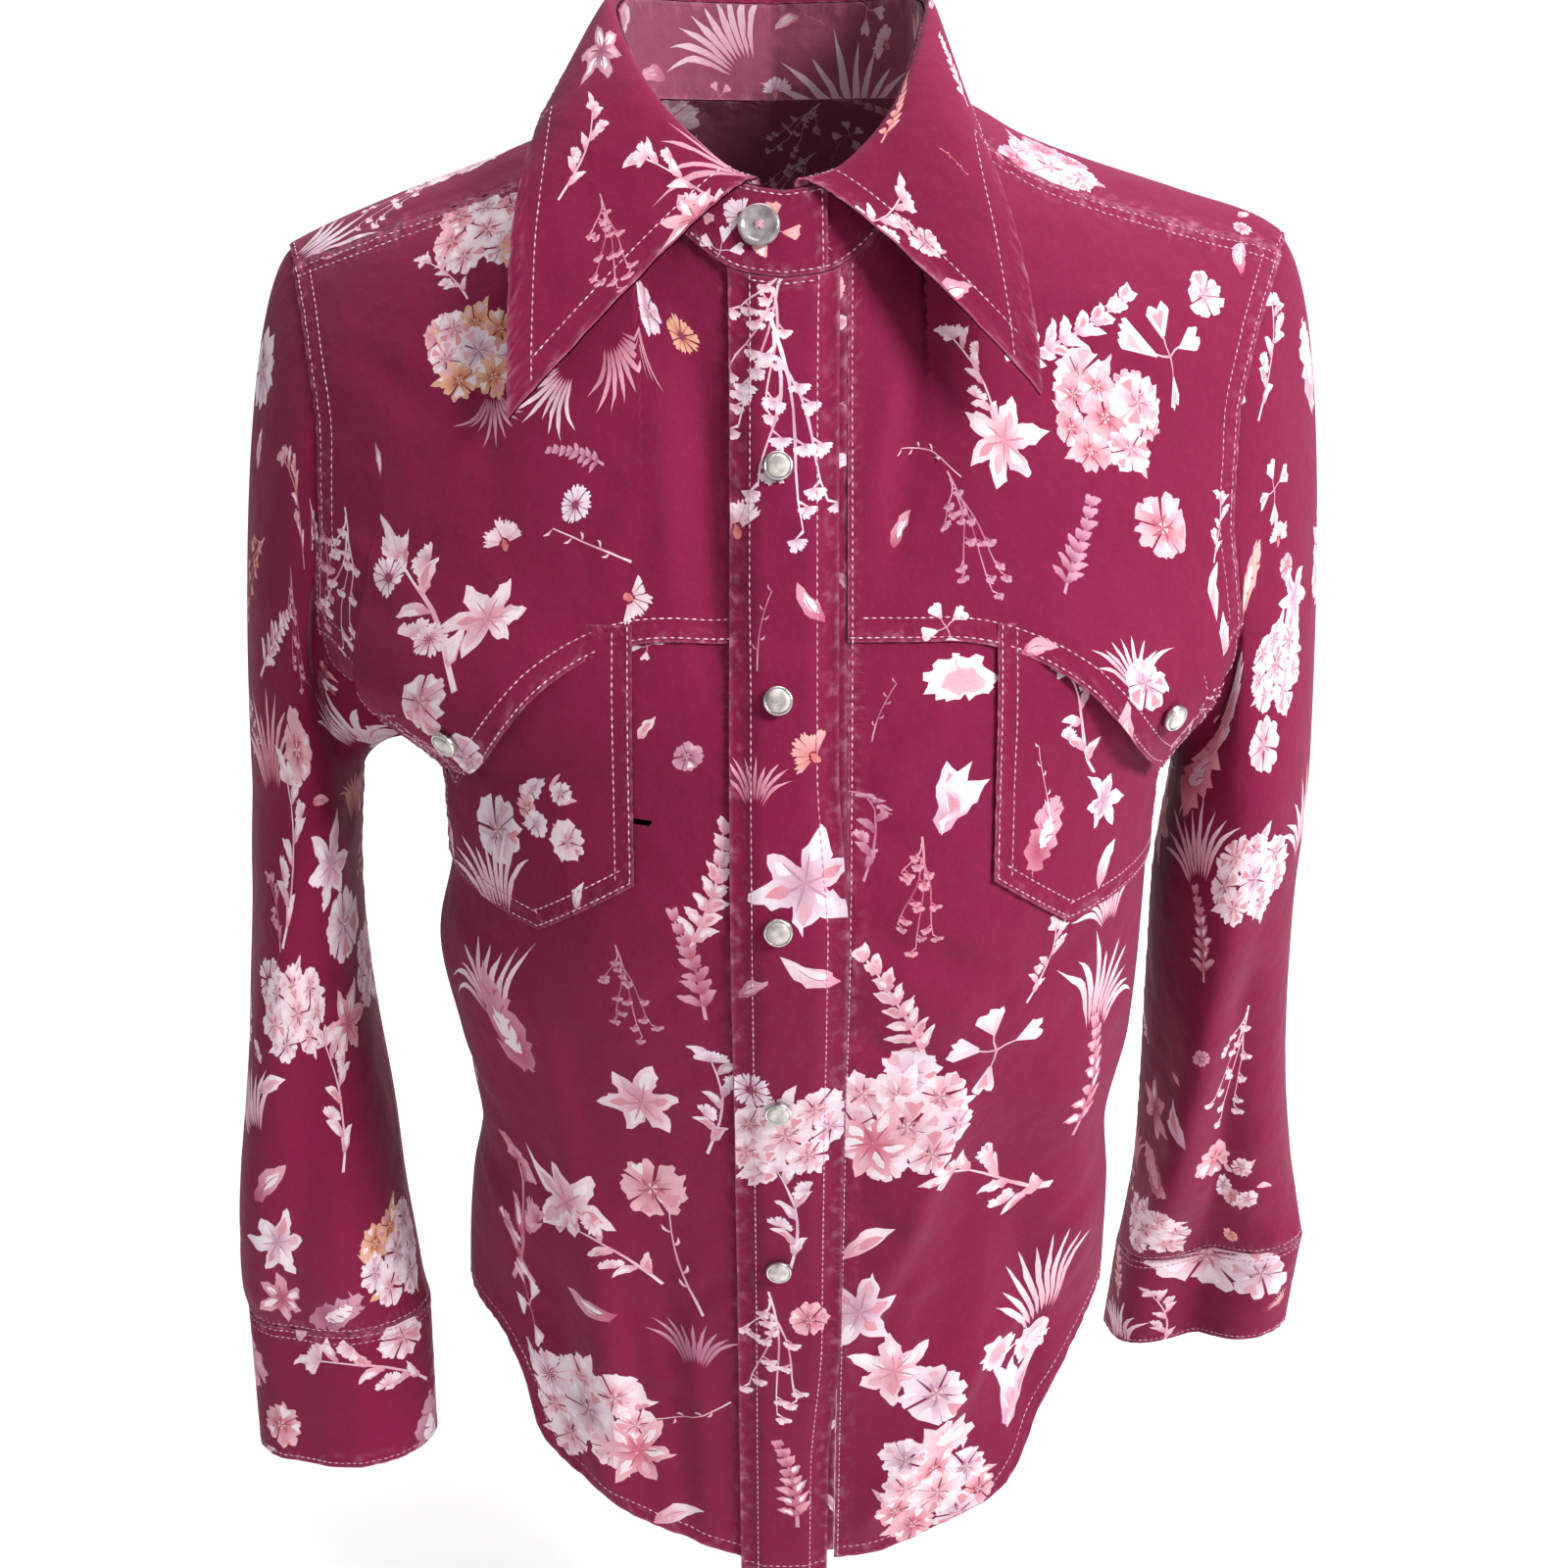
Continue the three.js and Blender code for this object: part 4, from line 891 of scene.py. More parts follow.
    def fan(self, r: float, ink: Ink) -> list[Shape]:
        """Curved blades that spread from one foot."""
        shapes = []
        for i in range(9):
            length = 2 * r * self.rng.uniform(0.7, 1.05)
            turn = 34 + 14 * i
            foot = (0.34 * r * math.cos(math.radians(turn)), -r + 0.34 * r * math.sin(math.radians(turn)))
            outline = self.blade(foot, turn, 0.84 * length, 0.13 * r, 0.2 * (4 - i) / 4)
            shapes.append(self.shade(ink, outline, (0, -r), 2 * r))
        return shapes

    def fern(self, r: float, ink: Ink) -> list[Shape]:
        """A bent stalk with pairs of leaflets."""
        path = [(0.22 * r * math.sin(2.2 * t), -r + 2 * r * t) for t in np.linspace(0, 1, 9)]
        shapes = [self.shade(ink, self.stem(path, 0.07 * r), (0, 0), r)]
        for i in range(1, 9):
            x, y = path[i]
            size = 0.5 * r * (1.05 - 0.07 * i)
            for side in (-1, 1):
                turn = 90 + side * (58 - 4 * i) + self.rng.uniform(-8, 8)
                outline = self.blade((x, y), turn, size * self.rng.uniform(0.8, 1.1), 0.17 * r, -0.12 * side)
                shapes.append(self.shade(ink, outline, (x, y), size))
        return shapes

    def trefoil(self, r: float, ink: Ink) -> list[Shape]:
        """Four heart-shaped leaflets on short stalks."""
        shapes = []
        for turn in (20, 105, 180, 268):
            turn += self.rng.uniform(-12, 12)
            stalk = self.turned(np.array([[0.0, 0.0], [0.25 * r, 0.03 * r], [0.5 * r, 0.0]]), turn)
            shapes.append(self.shade(ink, self.stem([tuple(p) for p in stalk], 0.06 * r), (0, 0), r))
            leaflet = self.petal(0, 0.75 * r, 0.55, 0.16, 0.02) + [0.42 * r, 0]
            shapes.append(self.shade(ink, self.turned(leaflet, turn), (0, 0), 1.2 * r))
        return shapes

    def sprig(self, r: float, ink: Ink) -> list[Shape]:
        """A bent stalk with uneven leaves and small flowers."""
        path = [(0.3 * r * math.sin(2.6 * t), -r + 2 * r * t) for t in np.linspace(0, 1, 9)]
        shapes = [self.shade(ink, self.stem(path, 0.06 * r), (0, 0), r)]
        for i in range(1, 9):
            x, y = path[i]
            side = -1 if i % 2 else 1
            turn = 90 + side * self.rng.uniform(30, 62)
            if i % 3:
                outline = self.blade((x, y), turn, 0.5 * r, 0.17 * r, -0.15 * side)
                shapes.append(self.shade(ink, outline, (x, y), 0.6 * r))
            else:
                shapes += self.moved(self.small_flower(0.2 * r, ink), (x + side * 0.28 * r, y + 0.12 * r), turn - 90)
        shapes += self.moved(self.small_flower(0.24 * r, ink), path[-1], 0)
        return shapes

    def vine(self, r: float, ink: Ink) -> list[Shape]:
        """A hanging branched vine with small bell flowers."""
        shapes = []
        for x_end, y_end, share in ((0.02, -1, 0), (-0.32, -0.55, 0.32), (0.3, -0.75, 0.3), (-0.26, 0.35, 0.1)):
            start = (0.03 * r, r * (1 - 2 * share * 0.6))
            path = [
                (lerp(start[0], x_end * r, t) + 0.06 * r * math.sin(5 * t), lerp(start[1], y_end * r, t))
                for t in np.linspace(0, 1, 8)
            ]
            shapes.append(self.shade(ink, self.stem(path, 0.035 * r), (0, 0), r))
            for i in (2, 4, 6, 7):
                side = self.rng.choice((-1, 1))
                end = (path[i][0] + side * 0.08 * r, path[i][1] - 0.06 * r)
                shapes.append(self.shade(ink, self.stem([path[i], end], 0.03 * r), (0, 0), r))
                shapes += self.moved(self.small_flower(0.1 * r, ink), end, 180)
        return shapes

    def twig(self, r: float, ink: Ink) -> list[Shape]:
        """A long thin stalk with a few thorny leaves."""
        path = [(-r + 2 * r * t, 0.12 * r * math.sin(3 * t)) for t in np.linspace(0, 1, 9)]
        shapes = [self.shade(ink, self.stem(path, 0.04 * r), (0, 0), r)]
        for i in (2, 3, 5, 6, 8):
            side = -1 if i % 2 else 1
            outline = self.blade(path[i], side * self.rng.uniform(25, 50), 0.2 * r, 0.05 * r, 0.2 * side)
            shapes.append(self.shade(ink, outline, path[i], 0.2 * r))
        return shapes

    def cluster(self, r: float, ink: Ink) -> list[Shape]:
        """Several blossoms packed together, with leaves round them."""
        shapes = []
        for turn in (15, 80, 160, 215, 300):
            leaf = self.blade(tuple(self.turned(np.array([[0.5 * r, 0.0]]), turn)[0]), turn, 0.6 * r, 0.2 * r)
            shapes.append(self.shade(ink, leaf, (0, 0), r))
        places = (
            (-0.58, 0.42, 0.4), (-0.1, 0.56, 0.38), (0.48, 0.46, 0.42), (0.72, -0.04, 0.34), (-0.66, -0.14, 0.38),
            (0.02, 0.04, 0.5), (-0.34, -0.52, 0.4), (0.38, -0.46, 0.42),
        )
        for x, y, size in places if r > self.full_cluster else places[::2]:
            tint = self.rng.choice((ink, ink, Ink.PALE, Ink.LILAC))
            shapes += self.moved(self.blossom(size * r, tint), (x * r, y * r), self.rng.uniform(0, 90))
        return shapes

    def small_flower(self, r: float, ink: Ink) -> list[Shape]:
        """A few pointed petals opening upwards."""
        shapes = []
        for i in range(4):
            outline = self.petal(90 + (i - 1.5) * 42, r * self.rng.uniform(0.9, 1.4), 0.36, 0.1, 0.0)
            shapes.append(self.shade(ink, outline, (0, 0), r))
        return shapes

    def moved(self, shapes: list[Shape], to: tuple[float, float], turn: float) -> list[Shape]:
        """The same shapes turned and moved."""
        for shape in shapes:
            shape.outline = self.turned(shape.outline, turn) + to
            shape.heart = self.turned(shape.heart[None, :], turn)[0] + to
        return shapes


class Edge(Enum):
    """Edges of a panel's unit square."""

    TOP = "top"
    BOTTOM = "bottom"
    INNER = "inner"
    OUTER = "outer"


class StitchRow(NamedTuple):
    """A row of top stitching along one edge of a panel, from a share of the edge to another."""

    edge: Edge
    inset: float
    start: float = 0.0
    end: float = 1.0


@dataclass
class Panel:
    """One cut piece of cloth: its surface over a unit square, and how it is printed, sewn and held."""

    name: str
    surface: Surface
    step: float = 3.2
    outer: float = 1.2
    thickness: float = 0.6
    ripple: float = 0.22
    held: str = "hung"
    sprays: tuple[Spray, ...] = ()
    big_motifs: int = 0
    small_motifs: int = 12
    inside_motifs: int = 0
    rows: tuple[StitchRow, ...] = ()
    grid_size: int = 121

    def __post_init__(self) -> None:
        """Measures the piece's width and length along the cloth."""
        share = np.linspace(0, 1, 41)
        u, v = np.meshgrid(share, share)
        grid = self.surface(u, v, self.outer)
        self.width = float(np.linalg.norm(np.diff(grid, axis=1), axis=-1).sum(axis=1).max())
        self.length = float(np.linalg.norm(np.diff(grid, axis=0), axis=-1).sum(axis=0).max())
        share = np.linspace(0, 1, self.grid_size)
        self.grid = self.surface(*np.meshgrid(share, share), self.outer)
        self.grid_down, self.grid_across = (
            np.gradient(self.grid, axis=axis) * (self.grid_size - 1) for axis in (0, 1)
        )
        middle = np.array([0.5])
        across, down = self.steps(middle, middle)
        lift = self.surface(middle, middle, self.outer + 1) - self.surface(middle, middle, self.outer)
        self.facing = 1.0 if float(np.sum(np.cross(across, down) * lift)) > 0 else -1.0

    def puckers(self, u: Array, v: Array) -> Array:
        """Small waves of the cloth beside its sewn edges."""
        aside = np.minimum(u, 1 - u) * self.width
        ends = np.minimum(v, 1 - v) * self.length
        x = u * self.width
        y = v * self.length
        down = np.sin(y * 0.62 + 1.7 * np.sin(y * 0.11)) + 0.6 * np.sin(y * 0.37 + 2)
        across = np.sin(x * 0.6 + 1.5 * np.sin(x * 0.13)) + 0.6 * np.sin(x * 0.35 + 1)
        return self.ripple * (down * np.exp(-aside / 5) + across * np.exp(-ends / 5))

    def at(self, u: Array, v: Array, out: float) -> Array:
        """Points of the cloth with its puckers, in millimetres."""
        return self.surface(u, v, out + self.puckers(u, v))

    def steps(self, u: Array, v: Array) -> tuple[Array, Array]:
        """How the surface moves with each of its two coordinates."""
        e = 0.002
        high_u, low_u = np.minimum(1, u + e), np.maximum(0, u - e)
        high_v, low_v = np.minimum(1, v + e), np.maximum(0, v - e)
        across = self.surface(high_u, v, self.outer) - self.surface(low_u, v, self.outer)
        down = self.surface(u, high_v, self.outer) - self.surface(u, low_v, self.outer)
        return across / (high_u - low_u)[..., None], down / (high_v - low_v)[..., None]

    def normals(self, u: Array, v: Array) -> Array:
        """Outward normals of the puckered cloth."""
        e = 0.6
        du, dv = e / self.width, e / self.length
        across = self.at(np.minimum(1, u + du), v, self.outer) - self.at(np.maximum(0, u - du), v, self.outer)
        down = self.at(u, np.minimum(1, v + dv), self.outer) - self.at(u, np.maximum(0, v - dv), self.outer)
        normal = np.cross(across, down) * self.facing
        return normal / np.maximum(np.linalg.norm(normal, axis=-1, keepdims=True), 1e-9)

    def edge_path(self, edge: Edge, t: Array, inset: float) -> tuple[Array, Array]:
        """Places along an edge, moved into the cloth by a distance.

        Args:
            edge: which edge.
            t: shares of the edge.
            inset: distance from the edge in millimetres.

        Returns:
            The two coordinates of the places.
        """
        level = edge in (Edge.TOP, Edge.BOTTOM)
        near = edge in (Edge.TOP, Edge.INNER)
        fixed = np.full_like(t, 0.0 if near else 1.0)
        u, v = (t, fixed) if level else (fixed, t)
        for _ in range(4):
            across, down = self.steps(u, v)
            along, inward = (across, down) if level else (down, across)
            along = along / np.maximum(np.linalg.norm(along, axis=-1, keepdims=True), 1e-9)
            inward = inward - along * np.sum(inward * along, axis=-1, keepdims=True)
            inward = inward / np.maximum(np.linalg.norm(inward, axis=-1, keepdims=True), 1e-9)
            aim = inward * (inset / 4 if near else -inset / 4)
            flat = np.stack([across, down], axis=-1)
            step = (np.linalg.pinv(flat, rcond=0.05) @ aim[..., None])[..., 0]
            u, v = np.clip(u + step[..., 0], 0, 1), np.clip(v + step[..., 1], 0, 1)
        return u, v


@dataclass
class Viewpoint:
    """Where the photograph was taken from, and its frame."""

    distance: float = 653.1
    height: float = -76.2
    pitch: float = 16.3
    frame: float = 1600

    def eye(self) -> Array:
        """Where the camera stands."""
        return np.array([0.0, -self.distance, self.height])

    def seen(self, points: Array) -> tuple[Array, Array, Array]:
        """Place in the frame, and depth, of points in millimetres."""
        tilt = math.radians(self.pitch)
        ahead = points[..., 1] + self.distance
        above = points[..., 2] - self.height
        depth = ahead * math.cos(tilt) - above * math.sin(tilt)
        up = ahead * math.sin(tilt) + above * math.cos(tilt)
        middle = self.frame / 2
        return middle + self.frame * points[..., 0] / depth, middle - self.frame * up / depth, depth


VIEW = Viewpoint()


@dataclass
class ClothPrinter:
    """Lays the print on a panel: the placed motifs, and between them a scatter of others."""

    artist: PrintArtist = field(default_factory=PrintArtist)
    margin: float = 0.35
    most_stretch: float = 1.5
    spread: float = 1.22

    def lay(self, panel: Panel, side_seed: int) -> list[Shape]:
        """All the shapes of a panel's outer face, in its flat coordinates.

        Args:
            panel: the panel.
            side_seed: a number of its own, which fixes its scatter.

        Returns:
            The shapes, from the lowest to the topmost.
        """
        self.artist.rng = random.Random(side_seed)
        taken: list[tuple[float, float, float]] = []
        shapes: list[Shape] = []
        placed = [self.find(panel, spray) for spray in panel.sprays]
        for spray, (x, y, size) in zip(panel.sprays, placed):
            taken.append((x, y, size))
            shapes += self.set_down(panel, spray.kind, spray.ink, (x, y), size, spray.turn)
        return self.scatter(panel, panel.big_motifs, panel.small_motifs, taken) + shapes

    def inside(self, panel: Panel, side_seed: int) -> list[Shape]:
        """The shapes of a panel's inner face."""
        self.artist.rng = random.Random(side_seed)
        return self.scatter(panel, panel.inside_motifs, panel.inside_motifs * 2, [])

    def scatter(self, panel: Panel, big: int, small: int, taken: list[tuple[float, float, float]]) -> list[Shape]:
        """Motifs where there is room for them.

        Args:
            panel: the panel.
            big: how many large motifs are tried.
            small: how many small ones are tried.
            taken: the circles that are taken already, and are added to.

        Returns:
            The shapes.
        """
        rng = self.artist.rng
        large = (Motif.LILY, Motif.CLUSTER, Motif.SPRIG, Motif.VINE, Motif.FERN, Motif.PLUME, Motif.FAN, Motif.BLOSSOM)
        little = (Motif.LEAF, Motif.BLOSSOM, Motif.TREFOIL, Motif.TWIG, Motif.SIDE_DAISY, Motif.FAN, Motif.LEAF)
        inks = (Ink.LILAC, Ink.PALE, Ink.PALE, Ink.PINK, Ink.ROSE, Ink.SALMON, Ink.MAUVE)
        shapes: list[Shape] = []
        for i in range(6 * big + 5 * small):
            wide = i < 6 * big
            size = rng.uniform(15, 25) if wide else rng.uniform(4.5, 9)
            x = rng.uniform(0, panel.width)
            y = rng.uniform(0, panel.length)
            if any(math.hypot(x - a, y - b) < 0.86 * (size + c) for a, b, c in taken):
                continue
            taken.append((x, y, size))
            kind = rng.choice(large if wide else little)
            shapes += self.set_down(panel, kind, rng.choice(inks), (x, y), size, rng.uniform(-70, 70))
        return shapes

    def find(self, panel: Panel, spray: Spray) -> tuple[float, float, float]:
        """Where a placed motif lies on its panel, and its size in millimetres."""
        across, down, depth = VIEW.seen(panel.grid)
        outward = np.cross(panel.grid_across, panel.grid_down) * panel.facing
        away = np.sum(outward * (panel.grid - VIEW.eye()), axis=-1) > 0
        miss = np.hypot(across - spray.across, down - spray.down) + np.where(away, 60, 0)
        row, column = np.unravel_index(int(np.argmin(miss)), miss.shape)
        scale = float(depth[row, column]) / VIEW.frame
        last = panel.grid_size - 1
        return column / last * panel.width, row / last * panel.length, spray.size * scale * self.spread

    def set_down(
        self, panel: Panel, kind: Motif, ink: Ink, at: tuple[float, float], size: float, turn: float
    ) -> list[Shape]:
        """Draws a motif and bends it to the panel's flat coordinates, upright as worn.

        Args:
            panel: the panel.
            kind: which motif.
            ink: its ink.
            at: its middle in the panel's flat coordinates.
            size: its radius in millimetres.
            turn: its turn in degrees.

        Returns:
            The shapes in the panel's flat coordinates.
        """
        last = panel.grid_size - 1
        column = round(at[0] / panel.width * last)
        row = round(at[1] / panel.length * last)
        across, down = panel.grid_across[row, column], panel.grid_down[row, column]
        normal = np.cross(across, down) * panel.facing
        normal /= max(float(np.linalg.norm(normal)), 1e-9)
        up = np.array([0.0, 0.0, 1.0]) - normal * normal[2]
        up /= max(float(np.linalg.norm(up)), 1e-9)
        flat = np.stack([across / panel.width, down / panel.length], axis=-1)
        left, stretch, right = np.linalg.svd(np.linalg.pinv(flat) @ np.stack([np.cross(up, normal), up], axis=-1))
        bend = left @ np.diag(np.clip(stretch, 0.75, self.most_stretch)) @ right
        edge = np.array([panel.width, panel.length]) - self.margin
        shapes = self.artist.moved(self.artist.draw(kind, size, ink), (0, 0), turn)
        for shape in shapes:
            shape.outline = np.clip(shape.outline @ bend.T + at, self.margin, edge)
            shape.heart = shape.heart @ bend.T + at
        return shapes


GROUND = np.array([0.205, 0.0088, 0.050])


@dataclass
class Tailor:
    """Cuts panels: a fine mesh on the panel's form, with the print in its corner colours, and its stitching."""

    printer: ClothPrinter = field(default_factory=ClothPrinter)
    stitch_pitch: float = 2.9
    stitch_length: float = 2.75
    stitch_width: float = 0.66
    count: int = 0

    def lattice(self, width: float, length: float, step: float) -> tuple[Array, int]:
        """Points over a flat rectangle, its rim first and in order.

        Args:
            width: the rectangle's width.
            length: its length.
            step: the points' spacing inside.

        Returns:
            The points, and how many of them form the rim.
        """
        columns = max(4, round(width / 3.2))
        rows = max(4, round(length / 3.2))
        x = np.linspace(0, width, columns + 1)
        y = np.linspace(0, length, rows + 1)
        rim = [(a, 0.0) for a in x[:-1]] + [(width, b) for b in y[:-1]]
        rim += [(a, length) for a in x[:0:-1]] + [(0.0, b) for b in y[:0:-1]]
        inner_rows = max(3, round(length / (0.87 * step)))
        inner_columns = max(3, round(width / step))
        inner = [
            ((i + 0.5 + 0.5 * (j % 2)) * width / inner_columns, j * length / inner_rows)
            for j in range(1, inner_rows)
            for i in range(inner_columns)
        ]
        inner = [p for p in inner if p[0] < width - 0.4 * step]
        return np.array(rim + inner), len(rim)

    def mesh_flat(self, size: tuple[float, float], step: float, shapes: list[Shape]) -> tuple[Array, Array, Array]:
        """Triangles over a flat rectangle that follow the edges of the print.

        Args:
            size: the rectangle's width and length.
            step: the mesh's spacing.
            shapes: the print's shapes.

        Returns:
            The points, the triangles, and the topmost shape of each, -1 for the ground.
        """
        points, rim = self.lattice(size[0], size[1], step)
        edges = [(i, (i + 1) % rim) for i in range(rim)]
        if shapes:
            drawn = np.concatenate([shape.outline for shape in shapes])
            cells = {tuple(cell) for cell in np.round(drawn / 1.4).astype(int)}
            inner = [p for p in points[rim:] if tuple(np.round(p / 1.4).astype(int)) not in cells]
            points = np.concatenate([points[:rim], np.array(inner).reshape(-1, 2), drawn])
            first = len(points) - len(drawn)
            for shape in shapes:
                count = len(shape.outline)
                edges += [(first + i, first + (i + 1) % count) for i in range(count)]
                first += count
        coords, _, faces, *_ = delaunay_2d_cdt([Vector(p) for p in points], edges, [], 0, 0.01, False)
        flat = np.array([tuple(c) for c in coords])
        triangles = np.array([f for f in faces if len(f) == 3])
        middle = flat[triangles].mean(axis=1)
        owner = np.full(len(triangles), -1)
        for number, shape in enumerate(shapes):
            low, high = shape.outline.min(axis=0), shape.outline.max(axis=0)
            near = np.nonzero(np.all((middle >= low) & (middle <= high), axis=1))[0]
            if len(near):
                owner[near[self.inside(shape.outline, middle[near])]] = number
        return flat, triangles, owner

    @staticmethod
    def inside(outline: Array, points: Array) -> Array:
        """Which points lie inside an outline."""
        a = outline
        b = np.roll(outline, -1, axis=0)
        x, y = points[:, :1], points[:, 1:]
        crosses = (a[:, 1] > y) != (b[:, 1] > y)
        rise = np.where(b[:, 1] == a[:, 1], 1, b[:, 1] - a[:, 1])
        left = x < a[:, 0] + (b[:, 0] - a[:, 0]) * (y - a[:, 1]) / rise
        return np.sum(crosses & left, axis=1) % 2 == 1

    @staticmethod
    def colours(flat: Array, triangles: Array, owner: Array, shapes: list[Shape]) -> Array:
        """The print's colour at each corner of each triangle."""
        colour = np.broadcast_to(GROUND, (len(triangles), 3, 3)).copy()
        drawn = owner >= 0
        if not drawn.any():
            return colour
        which = owner[drawn]
        heart = np.array([shape.heart for shape in shapes])[which][:, None]
        reach = np.array([shape.reach for shape in shapes])[which][:, None]
        inner = np.array([shape.inner for shape in shapes])[which][:, None]
        outer = np.array([shape.outer for shape in shapes])[which][:, None]
        away = np.linalg.norm(flat[triangles[drawn]] - heart, axis=-1) / reach
        share = np.clip((away - 0.12) / 0.62, 0, 1)[..., None]
        colour[drawn] = inner + (outer - inner) * share
        return colour

    def cut(self, panel: Panel, finishes: tuple[bpy.types.Material, bpy.types.Material]) -> bpy.types.Object:
        """Makes a panel's mesh: an outer and an inner face and the rim between them.

        Args:
            panel: the panel.
            finishes: the materials of its outer and its inner face.

        Returns:
            The mesh's object.
        """
        self.count += 1
        size = (panel.width, panel.length)
        outer_shapes = self.printer.lay(panel, 100 + self.count)
        inner_shapes = self.printer.inside(panel, 200 + self.count)
        faces: list[Array] = []
        colours: list[Array] = []
        points: list[Array] = []
        normals: list[Array] = []
        flats: list[Array] = []
        start = 0
        rim = self.lattice(*size, panel.step)[1]
        for shapes, spacing, out, turn in (
            (outer_shapes, panel.step, panel.outer, 1),
            (inner_shapes, 1.7 * panel.step, panel.outer - panel.thickness, -1),
        ):
            flat, triangles, owner = self.mesh_flat(size, spacing, shapes)
            colours.append(self.colours(flat, triangles, owner, shapes))
            u, v = flat[:, 0] / size[0], flat[:, 1] / size[1]
            points.append(panel.at(u, v, out))
            normals.append(panel.normals(u, v) * turn)
            flats.append(flat)
            order = triangles if turn * panel.facing > 0 else triangles[:, ::-1]
            if turn * panel.facing <= 0:
                colours[-1] = colours[-1][:, ::-1]
            faces.append(order + start)
            start += len(flat)
        first = len(flats[0])
        ring = np.arange(rim)
        after = (ring + 1) % rim
        one = np.stack([ring, first + ring, after], axis=-1)
        two = np.stack([after, first + ring, first + after], axis=-1)
        band = np.concatenate([one, two])
        faces.append(band if panel.facing > 0 else band[:, ::-1])
        colours.append(np.broadcast_to(GROUND * 1.6, (len(band), 3, 3)))
        every = np.concatenate(faces)
        mesh = bpy.data.meshes.new(panel.name)
        mesh.from_pydata((np.concatenate(points) * MM).tolist(), [], every.tolist())
        for finish in finishes:
            mesh.materials.append(finish)
        slots = np.zeros(len(every), dtype=np.int32)
        slots[len(faces[0]):len(faces[0]) + len(faces[1])] = 1
        mesh.polygons.foreach_set("material_index", slots)
        mesh.polygons.foreach_set("use_smooth", np.ones(len(every), dtype=bool))
        self.add_attributes(mesh, panel, np.concatenate(flats), every, np.concatenate(colours))
        mesh.normals_split_custom_set_from_vertices(np.concatenate(normals).tolist())
        piece = bpy.data.objects.new(panel.name + "_cloth", mesh)
        bpy.context.collection.objects.link(piece)
        return piece

    @staticmethod
    def add_attributes(mesh: bpy.types.Mesh, panel: Panel, flat: Array, faces: Array, colours: Array) -> None:
        """Stores the print, the flat coordinates in metres and the distance from the edges on a mesh.

        Args:
            mesh: the mesh.
            panel: the panel that it shows.
            flat: flat coordinates of its points.
            faces: its triangles.
            colours: the colour at each corner of each triangle.
        """
        ink = mesh.color_attributes.new("Print", "FLOAT_COLOR", "CORNER")
        rgba = np.concatenate([colours.reshape(-1, 3), np.ones((len(faces) * 3, 1))], axis=1)
        ink.data.foreach_set("color", rgba.astype(np.float32).ravel())
        layer = mesh.uv_layers.new(name="Cloth")
        layer.data.foreach_set("uv", (flat[faces].reshape(-1, 2) * MM).astype(np.float32).ravel())
        aside = np.minimum(flat[:, 0], panel.width - flat[:, 0])
        ends = np.minimum(flat[:, 1], panel.length - flat[:, 1])
        seam = mesh.attributes.new("SeamDistance", "FLOAT", "POINT")
        seam.data.foreach_set("value", (np.minimum(aside, ends) * MM).astype(np.float32))

    def stitch(self, panel: Panel, thread: bpy.types.Material) -> bpy.types.Object | None:
        """Makes a panel's top stitching.

        Args:
            panel: the panel.
            thread: the thread's material.

        Returns:
            The stitching's object, or None where the panel has none.
        """
        centres: list[Array] = []
        aims: list[Array] = []
        lifts: list[Array] = []
        for row in panel.rows:
            t = np.linspace(row.start, row.end, 300)
            u, v = panel.edge_path(row.edge, t, row.inset)
            line = panel.at(u, v, panel.outer)
            run = np.concatenate([[0], np.cumsum(np.linalg.norm(np.diff(line, axis=0), axis=1))])
            places = np.arange(self.stitch_pitch / 2, run[-1], self.stitch_pitch)
            u, v = np.interp(places, run, u), np.interp(places, run, v)
            centre = panel.at(u, v, panel.outer)
            ahead = np.stack([np.interp(places + 1, run, line[:, k]) - np.interp(places - 1, run, line[:, k])
                              for k in range(3)], axis=-1)
            centres.append(centre)
            aims.append(ahead / np.maximum(np.linalg.norm(ahead, axis=-1, keepdims=True), 1e-9))
            lifts.append(panel.normals(u, v))
        if not centres:
            return None
        centre, aim, lift = np.concatenate(centres), np.concatenate(aims), np.concatenate(lifts)
        aside = np.cross(aim, lift)
        half, wide, high = self.stitch_length / 2, self.stitch_width / 2, 0.34
        corners = np.stack(
            [
                centre - aim * half,
                centre + aim * half,
                centre - aside * wide + lift * high * 0.4,
                centre + aside * wide + lift * high * 0.4,
                centre + lift * high,
                centre - lift * 0.2,
            ],
            axis=1,
        )
        pattern = np.array([[0, 2, 4], [2, 1, 4], [1, 3, 4], [3, 0, 4], [2, 0, 5], [1, 2, 5], [3, 1, 5], [0, 3, 5]])
        faces = (pattern[None] + 6 * np.arange(len(centre))[:, None, None]).reshape(-1, 3)
        mesh = bpy.data.meshes.new(panel.name + "_stitching")
        mesh.from_pydata((corners.reshape(-1, 3) * MM).tolist(), [], faces.tolist())
        mesh.materials.append(thread)
        mesh.polygons.foreach_set("use_smooth", np.ones(len(faces), dtype=bool))
        piece = bpy.data.objects.new(panel.name + "_stitching", mesh)
        bpy.context.collection.objects.link(piece)
        return piece


